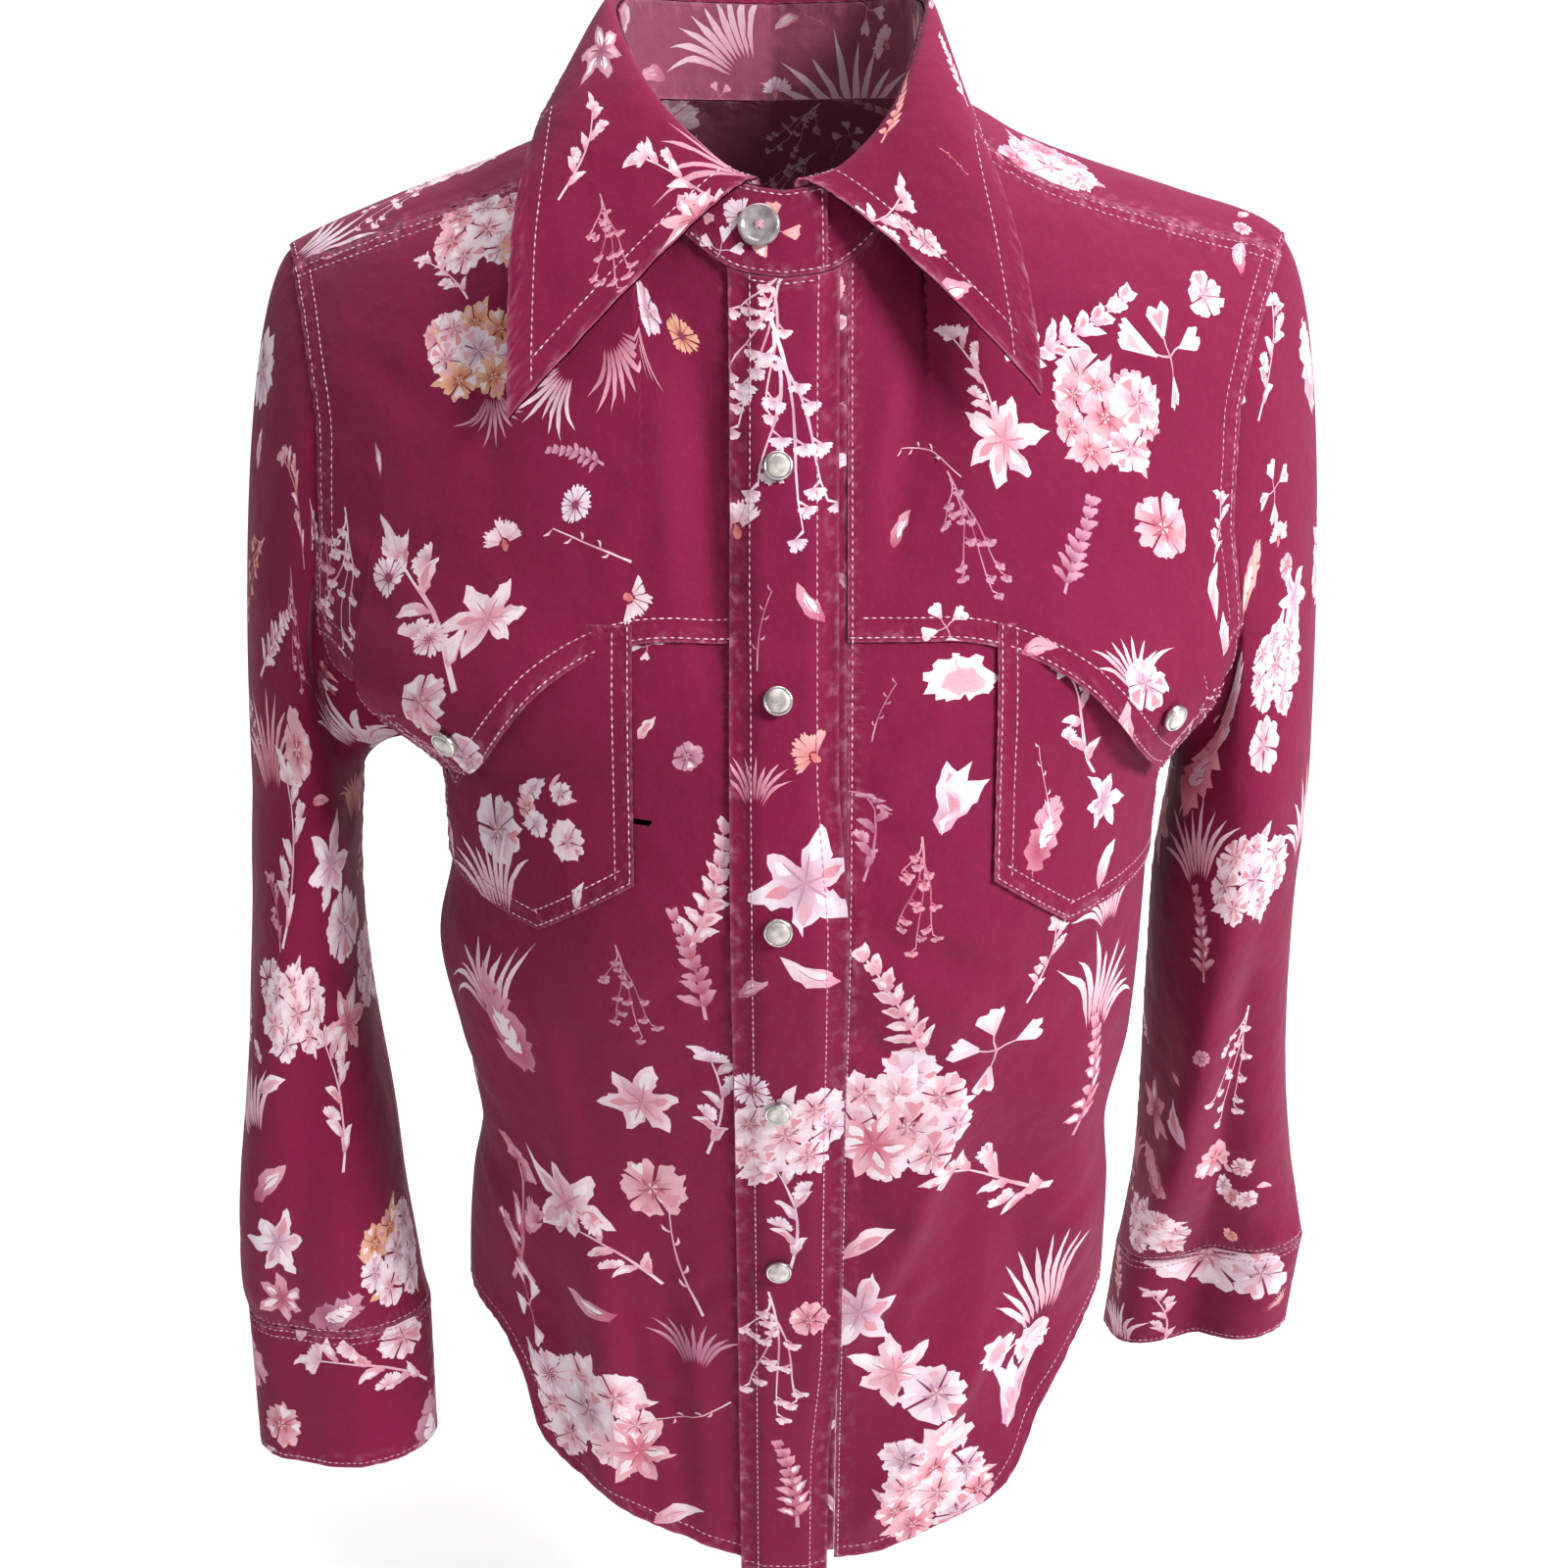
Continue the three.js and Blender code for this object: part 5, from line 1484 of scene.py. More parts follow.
def coons(inner: Edge2, outer: Edge2, top: Edge2, bottom: Edge2) -> Callable[[Array, Array], tuple[Array, Array]]:
    """A smooth map of the unit square to turn and run between four edges.

    Args:
        inner: the edge at 0 across.
        outer: the edge at 1 across.
        top: the edge at 0 down.
        bottom: the edge at 1 down.

    Returns:
        The map.
    """
    ends = np.array([0.0, 1.0])
    top_ends, bottom_ends = top(ends), bottom(ends)

    def mapped(u: Array, v: Array) -> tuple[Array, Array]:
        """Turn and run at a place of the square."""
        tops, bottoms, inners, outers = top(u), bottom(u), inner(v), outer(v)
        result = []
        for k in (0, 1):
            corner = lerp(lerp(top_ends[k][0], top_ends[k][1], u), lerp(bottom_ends[k][0], bottom_ends[k][1], u), v)
            result.append(lerp(tops[k], bottoms[k], v) + lerp(inners[k], outers[k], u) - corner)
        return result[0], result[1]

    return mapped


def lens(u: Array, rise: float) -> Array:
    """A crown across a strip: 0 at its two edges, a plateau between its stitch rows."""
    return rise * smoothstep(u, 0.06, 0.3) * smoothstep(1 - u, 0.06, 0.3)


@dataclass
class Closure:
    """Sizes of the closure strips."""

    placket_width: float = 38
    under_left: float = -15
    under_right: float = 22
    gap: float = 0.15
    placket_edge_lift: float = 1.7
    placket_crown: float = 2.7
    upper_end_z: float = -611
    under_end_z: float = -600

    def edge_x(self, side: str) -> float:
        """Where a front's edge stands beside the closure."""
        return self.under_left - self.gap if side == "right" else self.under_right + self.gap

    def strip(
        self, left: float, right: float, lift: Callable[[Array], Array], low_z: float, bulge: float = 0
    ) -> Surface:
        """A placket strip from the neck seam to the hem.

        Args:
            left: its edge on the wearer's right.
            right: its edge on the wearer's left.
            lift: how far it stands off the cloth, across it.
            low_z: its lower end.
            bulge: how far its edge on the wearer's left swings out between the chest and the waist.

        Returns:
            The strip's surface.
        """

        def across(u: Array) -> Array:
            """Distance from the centre across the strip."""
            return lerp(left, right, u)

        def top_z(x: Array | float) -> Array:
            """Height of the strip's upper end."""
            return NECKLINE.at["z"](NECKLINE.turn_at(x)) - NECKLINE.foot_gap

        def swing(v: Array) -> Array:
            """How far the edge on the wearer's left swings out."""
            return bulge * smoothstep(v, 0.3, 0.42) * smoothstep(1 - v, 0.1, 0.24)

        edges = coons(
            lambda v: FORM.place(np.full_like(v, left), lerp(top_z(left), low_z, v), True),
            lambda v: FORM.place(right + swing(v), lerp(top_z(right), low_z, v), True),
            lambda u: FORM.place(across(u), top_z(across(u)), True),
            lambda u: FORM.place(across(u), np.full_like(u, low_z), True),
        )

        def surface(u: Array, v: Array, out: Array | float) -> Array:
            """The strip's points."""
            raised = lift(u)
            points = FORM.lifted(*edges(u, v), raised + out)
            top_edge = FORM.lifted(*edges(u, np.zeros_like(v)), raised + out)
            x = across(u)
            seam = NECKLINE.below(NECKLINE.turn_at(x), np.where(x < 0, -1.0, 1.0), raised + out)
            return points + (seam - top_edge) * np.power(1 - v, 14)[..., None]

        return surface

    def snap_placket(self) -> Panel:
        """The upper strip, which carries the snaps."""
        half = self.placket_width / 2
        crown = self.placket_crown
        surface = self.strip(
            -half, half, lambda u: self.placket_edge_lift + lens(u, crown), self.upper_end_z, 4.2
        )
        margin = 8 / self.placket_width
        rows = (
            StitchRow(Edge.INNER, 8),
            StitchRow(Edge.OUTER, 8),
            StitchRow(Edge.BOTTOM, 6, 0.02, 0.98),
            StitchRow(Edge.TOP, 2, margin, 1 - margin),
        )
        return Panel("snap_placket", surface, ripple=0.3, rows=rows, small_motifs=1, sprays=PRINT["snap_placket"])

    def under_placket(self) -> Panel:
        """The strip below it, under the snaps."""
        surface = self.strip(self.under_left, self.under_right, lambda u: np.zeros_like(u), self.under_end_z)
        return Panel("under_placket", surface, step=4, small_motifs=20)


@dataclass
class Fronts:
    """The two fronts below their yokes."""

    closure: Closure
    top_z: float = -150
    underarm_z: float = -237
    hem_profile_z: float = -560
    arm_share: float = 9 / 23

    def hem_z(self, side: str, x: Array | float) -> Array:
        """Height of the shirttail hem."""
        return self.hems[side](np.abs(x))

    def panel(self, side: str) -> Panel:
        """One front, from the closure to the side seam and from the yoke to the hem."""
        self.hems = {name: Curve(rows, "x", "z") for name, rows in FRONT_HEM.items()}
        edge_x = self.closure.edge_x(side)
        side_turn = SIGNS[side] * FORM.side_turn
        top_start = float(FORM.place(edge_x, self.top_z, True)[0])
        top_end = float(FORM.armhole(side, np.array(self.top_z), True)[0])
        hem_start = float(FORM.place(edge_x, self.closure.under_end_z, True)[0])
        half = float(FORM.section[side](self.hem_profile_z))
        hem_outer = float(FORM.run_to(side_turn, self.hem_z(side, half * math.sin(side_turn)), True))
        under_run = float(FORM.run_to(side_turn, self.underarm_z, True))
        hem_inner = float(self.hem_z(side, edge_x))

        def top(u: Array) -> tuple[Array, Array]:
            """The edge below the yoke."""
            turn = lerp(top_start, top_end, u)
            return turn, FORM.run_to(turn, self.top_z, True)

        def bottom(u: Array) -> tuple[Array, Array]:
            """The hem."""
            turn = lerp(hem_start, side_turn, u)
            return turn, FORM.run_to(turn, self.hem_z(side, half * np.sin(turn)), True)

        def below(v: Array) -> Array:
            """Share of the way below the underarm."""
            return np.clip((v - self.arm_share) / (1 - self.arm_share), 0, 1)

        def beside(v: Array) -> Array:
            """Share of the way down the armhole."""
            return np.clip(v / self.arm_share, 0, 1)

        def inner(v: Array) -> tuple[Array, Array]:
            """The edge beside the closure."""
            high = lerp(self.top_z, self.underarm_z, beside(v))
            z = np.where(v < self.arm_share, high, lerp(self.underarm_z, hem_inner, below(v)))
            return FORM.place(np.full_like(v, edge_x), z, True)

        def outer(v: Array) -> tuple[Array, Array]:
            """The armhole, then the side seam."""
            arm = FORM.armhole(side, lerp(self.top_z, self.underarm_z, beside(v)), True)
            low = lerp(under_run, hem_outer, below(v))
            high = v < self.arm_share
            return np.where(high, arm[0], side_turn), np.where(high, arm[1], low)

        edges = coons(inner, outer, top, bottom)
        rows = (
            StitchRow(Edge.BOTTOM, 6.5),
            StitchRow(Edge.INNER, 1.6, 0.05, 1),
            StitchRow(Edge.OUTER, 2.2, 0, self.arm_share),
        )
        return Panel(
            "front_" + side,
            lambda u, v, out: FORM.lifted(*edges(u, v), out),
            step=3.4,
            rows=rows,
            sprays=PRINT["front_" + side],
            small_motifs=0,
        )


@dataclass
class FrontYokes:
    """The two front yokes with their scalloped flaps."""

    closure: Closure
    flat_lift: float = 1.0
    flap_lift: float = 9
    neck_share: float = 4 / 16
    point_share: float = 11 / 16
    tip_x: float = 196

    def lower_z(self, side: str, x: Array) -> Array:
        """The scalloped lower edge."""
        cut = SCALLOP[side]
        away = np.abs(x)
        rise = np.clip((away - cut.arch_x) / (cut.point_x - cut.arch_x), 0, 1)
        fall = np.clip((cut.end_x - away) / (cut.end_x - cut.point_x), 0, 1)
        before = lerp(cut.level_z, cut.point_z, np.power(rise, cut.inner))
        after = lerp(cut.end_z, cut.point_z, np.power(fall, cut.outer))
        return np.where(away <= cut.point_x, before, after)

    def panel(self, side: str) -> Panel:
        """One yoke, from the neck and shoulder seams to the flap."""
        cut = SCALLOP[side]
        sign = SIGNS[side]
        edge_x = self.closure.edge_x(side)
        start_turn = float(NECKLINE.turn_at(edge_x))
        end_turn = NECKLINE.corner_turn
        tip_z = float(FORM.shoulder_z(sign * self.tip_x))
        corner_x = float(NECKLINE.x(np.array(end_turn), sign))
        tip_x = sign * float(FORM.armholes[side]["front"](tip_z))

        def neck_turn(u: Array) -> Array:
            """Turn round the neck along the top edge."""
            return lerp(start_turn, end_turn, np.clip(u / self.neck_share, 0, 1))

        def top(u: Array) -> tuple[Array, Array]:
            """The neck seam, then the shoulder seam."""
            turn = neck_turn(u)
            neck = FORM.place(NECKLINE.x(turn, sign), NECKLINE.at["z"](turn), True)
            x = lerp(corner_x, tip_x, np.clip((u - self.neck_share) / (1 - self.neck_share), 0, 1))
            shoulder = FORM.place(x, FORM.shoulder_z(x) - self.closure.gap, True)
            return tuple(np.where(u < self.neck_share, a, b) for a, b in zip(neck, shoulder))

        def bottom(u: Array) -> tuple[Array, Array]:
            """The scalloped edge."""
            before = lerp(abs(edge_x), cut.point_x, u / self.point_share)
            after = lerp(cut.point_x, cut.end_x, (u - self.point_share) / (1 - self.point_share))
            x = sign * np.where(u < self.point_share, before, after)
            return FORM.place(x, self.lower_z(side, x), True)

        first = [float(part) for part in top(np.array(1.0))]

        def outer(v: Array) -> tuple[Array, Array]:
            """The armhole."""
            arm = FORM.armhole(side, lerp(tip_z, cut.end_z, v), True)
            return tuple(np.where(v <= 0, a, b) for a, b in zip(first, arm))

        def inner(v: Array) -> tuple[Array, Array]:
            """The edge beside the closure."""
            z = lerp(float(NECKLINE.at["z"](start_turn)), cut.level_z, v)
            return FORM.place(np.full_like(v, edge_x), z, True)

        edges = coons(inner, outer, top, bottom)

        def surface(u: Array, v: Array, out: Array | float) -> Array:
            """The yoke's points."""
            turn, run = edges(u, v)
            z = FORM.cloth(turn, run)[..., 2]
            free = smoothstep(u, 0.3, 0.62) * smoothstep(1 - u, 0.02, 0.26) * smoothstep(-z, 150, 212)
            lift = self.flat_lift * smoothstep(-z, 100, 144) + free * (self.flap_lift - self.flat_lift)
            points = FORM.lifted(turn, run, lift + out)
            top_edge = FORM.lifted(*edges(u, np.zeros_like(v)), out)
            seam = NECKLINE.below(neck_turn(u), sign, out)
            pull = np.where(u <= self.neck_share + 1e-6, np.power(1 - v, 3), 0)
            return points + (seam - top_edge) * pull[..., None]

        rows = (
            StitchRow(Edge.TOP, 1.8, self.neck_share, 1),
            StitchRow(Edge.TOP, 7.5, self.neck_share + 0.01, 0.99),
            StitchRow(Edge.BOTTOM, 1.6),
            StitchRow(Edge.BOTTOM, 8.5, 0.03, 0.97),
            StitchRow(Edge.OUTER, 2.2),
            StitchRow(Edge.OUTER, 8.5, 0.03, 0.95),
            StitchRow(Edge.INNER, 1.6),
        )
        return Panel(
            "front_yoke_" + side, surface, step=3.2, rows=rows, sprays=PRINT["front_yoke_" + side], small_motifs=0
        )


@dataclass
class Pockets:
    """The patch pockets below the flaps."""

    lift: float = 1.4
    point_share: float = 0.5

    def panel(self, side: str) -> Panel:
        """One pocket."""
        cut = POCKET[side]
        sign = SIGNS[side]

        def level(v: Array, x: float, low: float) -> tuple[Array, Array]:
            """A side edge of the pocket."""
            return FORM.place(np.full_like(v, sign * x), lerp(cut.top_z, low, v), True)

        def bottom(u: Array) -> tuple[Array, Array]:
            """The pointed lower edge."""
            near = np.clip(u / self.point_share, 0, 1)
            far = np.clip((u - self.point_share) / (1 - self.point_share), 0, 1)
            inside = u < self.point_share
            x = np.where(inside, lerp(cut.inner_x, cut.point_x, near), lerp(cut.point_x, cut.outer_x, far))
            z = np.where(inside, lerp(cut.inner_z, cut.point_z, near), lerp(cut.point_z, cut.outer_z, far))
            return FORM.place(sign * x, z, True)

        edges = coons(
            lambda v: level(v, cut.inner_x, cut.inner_z),
            lambda v: level(v, cut.outer_x, cut.outer_z),
            lambda u: FORM.place(sign * lerp(cut.inner_x, cut.outer_x, u), np.full_like(u, cut.top_z), True),
            bottom,
        )

        def surface(u: Array, v: Array, out: Array | float) -> Array:
            """The pocket's points, a little full in the middle."""
            full = 0.9 * np.sin(np.pi * u) * np.sin(np.pi * np.clip(v, 0, 1))
            return FORM.lifted(*edges(u, v), self.lift + full + out)

        rows = tuple(
            StitchRow(edge, inset, 0.02 if inset > 5 else 0, 0.98 if inset > 5 else 1)
            for edge in (Edge.INNER, Edge.OUTER, Edge.BOTTOM)
            for inset in (1.6, 7.2)
        )
        return Panel("pocket_" + side, surface, rows=rows, sprays=PRINT["pocket_" + side], small_motifs=0)


@dataclass
class Backs:
    """The back yoke and the back with its longer tail."""

    seam_z: float = -105
    underarm_z: float = -237
    hem_centre_z: float = -640
    hem_side_z: float = -499
    hem_power: float = 3
    neck_share: float = 8 / 22
    arm_share: float = 9 / 20
    tip_x: float = 196
    gap: float = 0.15

    def yoke(self) -> Panel:
        """The yoke over both shoulders, round the back of the neck."""
        ends = [float(FORM.armhole(side, np.array(self.seam_z), False)[0]) for side in SIGNS]

        def sign_of(u: Array) -> Array:
            """The side of a place along the yoke."""
            return np.where(u < 0.5, -1.0, 1.0)

        def share(u: Array) -> Array:
            """0 at the centre back, 1 at the shoulder tips."""
            return np.abs(2 * u - 1)

        def neck_turn(u: Array) -> Array:
            """Turn round the neck along the top edge."""
            return lerp(180, NECKLINE.corner_turn, np.clip(share(u) / self.neck_share, 0, 1))

        def top(u: Array) -> tuple[Array, Array]:
            """The neck seam, then the shoulder seams."""
            sign = sign_of(u)
            turn = neck_turn(u)
            front = NECKLINE.at["y"](turn) < FORM.ridge_y
            neck = FORM.place(NECKLINE.x(turn, sign), NECKLINE.at["z"](turn), front)
            tips = [
                float(FORM.armholes[side]["front"](float(FORM.shoulder_z(s * self.tip_x))))
                for side, s in SIGNS.items()
            ]
            corner = NECKLINE.x(np.full_like(u, NECKLINE.corner_turn), sign)
            tip = np.where(sign < 0, -tips[0], tips[1])
            x = lerp(corner, tip, np.clip((share(u) - self.neck_share) / (1 - self.neck_share), 0, 1))
            shoulder = FORM.place(x, FORM.shoulder_z(x), True)
            return tuple(np.where(share(u) < self.neck_share - 1e-9, a, b) for a, b in zip(neck, shoulder))

        def bottom(u: Array) -> tuple[Array, Array]:
            """The straight seam across the back."""
            turn = lerp(ends[0], ends[1], u)
            return turn, FORM.run_to(turn, self.seam_z, False)

        def edge(side: str) -> Edge2:
            """An armhole edge over the shoulder."""
            u = 0.0 if side == "right" else 1.0
            high = float(top(np.array(u))[1])
            low = float(bottom(np.array(u))[1])

            def along(v: Array) -> tuple[Array, Array]:
                """Turn and run down the edge."""
                run = lerp(high, low, v)
                drop, _ = FORM.roll(run)
                z = FORM.ridge(SIGNS[side] * self.tip_x) - drop
                seam = np.where(run <= 0, FORM.armholes[side]["front"](z), FORM.armholes[side]["back"](z))
                return SIGNS[side] * np.arcsin(np.clip(seam / FORM.section[side](z), 0, 1)), run

            return along

        edges = coons(edge("right"), edge("left"), top, bottom)

        def surface(u: Array, v: Array, out: Array | float) -> Array:
            """The yoke's points."""
            points = FORM.lifted(*edges(u, v), out)
            top_edge = FORM.lifted(*edges(u, np.zeros_like(v)), out)
            seam = NECKLINE.below(neck_turn(u), sign_of(u), out)
            pull = np.where(share(u) <= self.neck_share + 1e-6, np.power(1 - v, 3), 0)
            return points + (seam - top_edge) * pull[..., None]

        rows = (
            StitchRow(Edge.BOTTOM, 1.8),
            StitchRow(Edge.BOTTOM, 8),
            StitchRow(Edge.INNER, 2.2),
            StitchRow(Edge.OUTER, 2.2),
        )
        return Panel(
            "back_yoke", surface, rows=rows, sprays=PRINT["back_yoke"], big_motifs=7, small_motifs=4,
            inside_motifs=9,
        )

    def back(self) -> Panel:
        """The back below its yoke."""
        top_z = self.seam_z - self.gap
        ends = [float(FORM.armhole(side, np.array(top_z), False)[0]) for side in SIGNS]
        turn_end = FORM.side_turn

        def top(u: Array) -> tuple[Array, Array]:
            """The edge at the yoke."""
            turn = lerp(ends[0], ends[1], u)
            return turn, FORM.run_to(turn, top_z, False)

        def bottom(u: Array) -> tuple[Array, Array]:
            """The tail's hem."""
            turn = lerp(-turn_end, turn_end, u)
            aside = np.power(np.abs(np.sin(turn)), self.hem_power)
            return turn, FORM.run_to(turn, lerp(self.hem_centre_z, self.hem_side_z, aside), False)

        def edge(side: str) -> Edge2:
            """An armhole, then a side seam."""
            turn = SIGNS[side] * turn_end
            high = float(FORM.run_to(turn, self.underarm_z, False))
            low = float(FORM.run_to(turn, self.hem_side_z, False))

            def along(v: Array) -> tuple[Array, Array]:
                """Turn and run down the edge."""
                arm = FORM.armhole(side, lerp(top_z, self.underarm_z, np.clip(v / self.arm_share, 0, 1)), False)
                run = lerp(high, low, np.clip((v - self.arm_share) / (1 - self.arm_share), 0, 1))
                beside = v < self.arm_share
                return np.where(beside, arm[0], turn), np.where(beside, arm[1], run)

            return along

        edges = coons(edge("right"), edge("left"), top, bottom)
        rows = (
            StitchRow(Edge.BOTTOM, 6.5),
            StitchRow(Edge.INNER, 2.2, 0, self.arm_share),
            StitchRow(Edge.OUTER, 2.2, 0, self.arm_share),
        )
        return Panel(
            "back", lambda u, v, out: FORM.lifted(*edges(u, v), out), step=4.2, rows=rows,
            big_motifs=23, small_motifs=12, inside_motifs=8,
        )


@dataclass
class Sleeves:
    """The sleeves and their cuffs."""

    underarm_z: float = -237
    tip_x: float = 196
    gap: float = -1.4
    tuck: float = 0.75
    cap_share: float = 7 / 16
    low_across: float = 0.62
    high_across: float = 0.86
    low_down: float = 0.78
    high_down: float = 0.5
    low_reach: float = 14
    high_reach: float = 22
    start_share: float = 0.4
    end_share: float = 0.45
    lean: float = 4
    cuff_wall: float = 1.6

    def ring_point(self, side: str, angle: Array, z: Array, out: Array | float) -> Array:
        """Points of the hanging rings: angle 0 is the outer side and 90 degrees the front."""
        sign = SIGNS[side]
        at = self.curves[side]
        degrees = np.degrees(angle) % 360
        folds = SLEEVE_FOLDS[side] + SLEEVE_CREASES[side]
        raised = out + fold_height(folds, degrees, z)
        x = sign * (at["wide"](z) + raised) * np.cos(angle)
        y = -(at["deep"](z) + raised) * np.sin(angle)
        turned = np.radians(at["turn"](z)) * sign
        return np.stack(
            [
                at["x"](z) + x * np.cos(turned) - y * np.sin(turned),
                at["y"](z) + x * np.sin(turned) + y * np.cos(turned),
                z + at["tilt"](z) * np.cos(angle),
            ],
            axis=-1,
        )

    def armhole_point(self, side: str, angle: Array, out: Array | float) -> Array:
        """Points of the armhole's edge round the arm."""
        sign = SIGNS[side]
        tip = float(FORM.ridge(sign * self.tip_x)) - 0.01
        low = (1 - np.cos(angle)) / 2
        z = lerp(tip, self.underarm_z, low)
        ahead = FORM.armhole(side, z, True)
        behind = FORM.armhole(side, z, False)
        front = np.sin(angle) >= 0
        turn, run = (np.where(front, a, b) for a, b in zip(ahead, behind))
        drop = -self.gap * smoothstep(low, 0.6, 0.85)
        away = np.stack([np.full_like(angle, sign * self.gap), np.zeros_like(angle), drop], axis=-1)
        return FORM.lifted(turn, run, out) + away

    def sleeve(self, side: str) -> Panel:
        """One sleeve: a cap that leaves the armhole and turns down into hanging rings."""
        self.curves = {
            name: {column: Curve(rows, "z", column) for column in Ring._fields[1:]} for name, rows in SLEEVES.items()
        }
        sign = SIGNS[side]
        top_z, end_z = SLEEVES[side][0].z, SLEEVES[side][-1].z

        def surface(u: Array, v: Array, out: Array | float) -> Array:
            """The sleeve's points, from the underarm seam round by the back, the outside and the front."""
            angle = (u - 0.5) * 2 * np.pi
            low = np.clip((v - self.cap_share) / (1 - self.cap_share), 0, 1)
            hanging = self.ring_point(side, angle, lerp(top_z, end_z, low), out)
            start = self.armhole_point(side, angle, out - self.tuck)
            end = self.ring_point(side, angle, np.full_like(angle, top_z), out)
            high = (1 + np.cos(angle)) / 2
            leave = np.stack(
                [
                    sign * lerp(self.low_across, self.high_across, high),
                    np.zeros_like(angle),
                    -lerp(self.low_down, self.high_down, high),
                ],
                axis=-1,
            )
            span = np.linalg.norm(end - start, axis=-1)
            reach = np.minimum(lerp(self.low_reach, self.high_reach, high), self.start_share * span)
            above = np.stack([-sign * self.lean * high, np.zeros_like(high), self.end_share * span], axis=-1)
            t = np.clip(v / self.cap_share, 0, 1)[..., None]
            one, two = start + leave * reach[..., None], end + above
            cap = start * (1 - t) ** 3 + one * 3 * t * (1 - t) ** 2 + two * 3 * t * t * (1 - t) + end * t**3
            creases = fold_height(SLEEVE_CREASES[side], np.degrees(angle) % 360, cap[..., 2])
            cap = cap + leave * (creases * np.sin(np.pi * t[..., 0]))[..., None]
            return np.where((v < self.cap_share)[..., None], cap, hanging)

        return Panel(
            "sleeve_" + side, surface, step=3.8, rows=(StitchRow(Edge.BOTTOM, 1.8),),
            sprays=PRINT["sleeve_" + side], big_motifs=13, small_motifs=6,
        )

    def cuff(self, side: str) -> Panel:
        """One cuff: a band that goes on from the sleeve's last ring."""
        end_z = SLEEVES[side][-1].z
        height, shift_x, shift_y, spread = {"right": (72, -1, -1, 0), "left": (60, 0, 14, 1)}[side]

        def surface(u: Array, v: Array, out: Array | float) -> Array:
            """The cuff's points."""
            angle = (u - 0.5) * 2 * np.pi
            point = self.ring_point(side, angle, np.full_like(angle, end_z), out + spread * v)
            shift = np.stack([shift_x * v, shift_y * v, -0.15 - height * v], axis=-1)
            return point + shift

        rows = (StitchRow(Edge.TOP, 1.8), StitchRow(Edge.TOP, 5.2), StitchRow(Edge.BOTTOM, 2.4))
        return Panel(
            "cuff_" + side, surface, outer=self.cuff_wall, thickness=1.4, rows=rows, sprays=PRINT["cuff_" + side],
            big_motifs=3, small_motifs=3,
        )


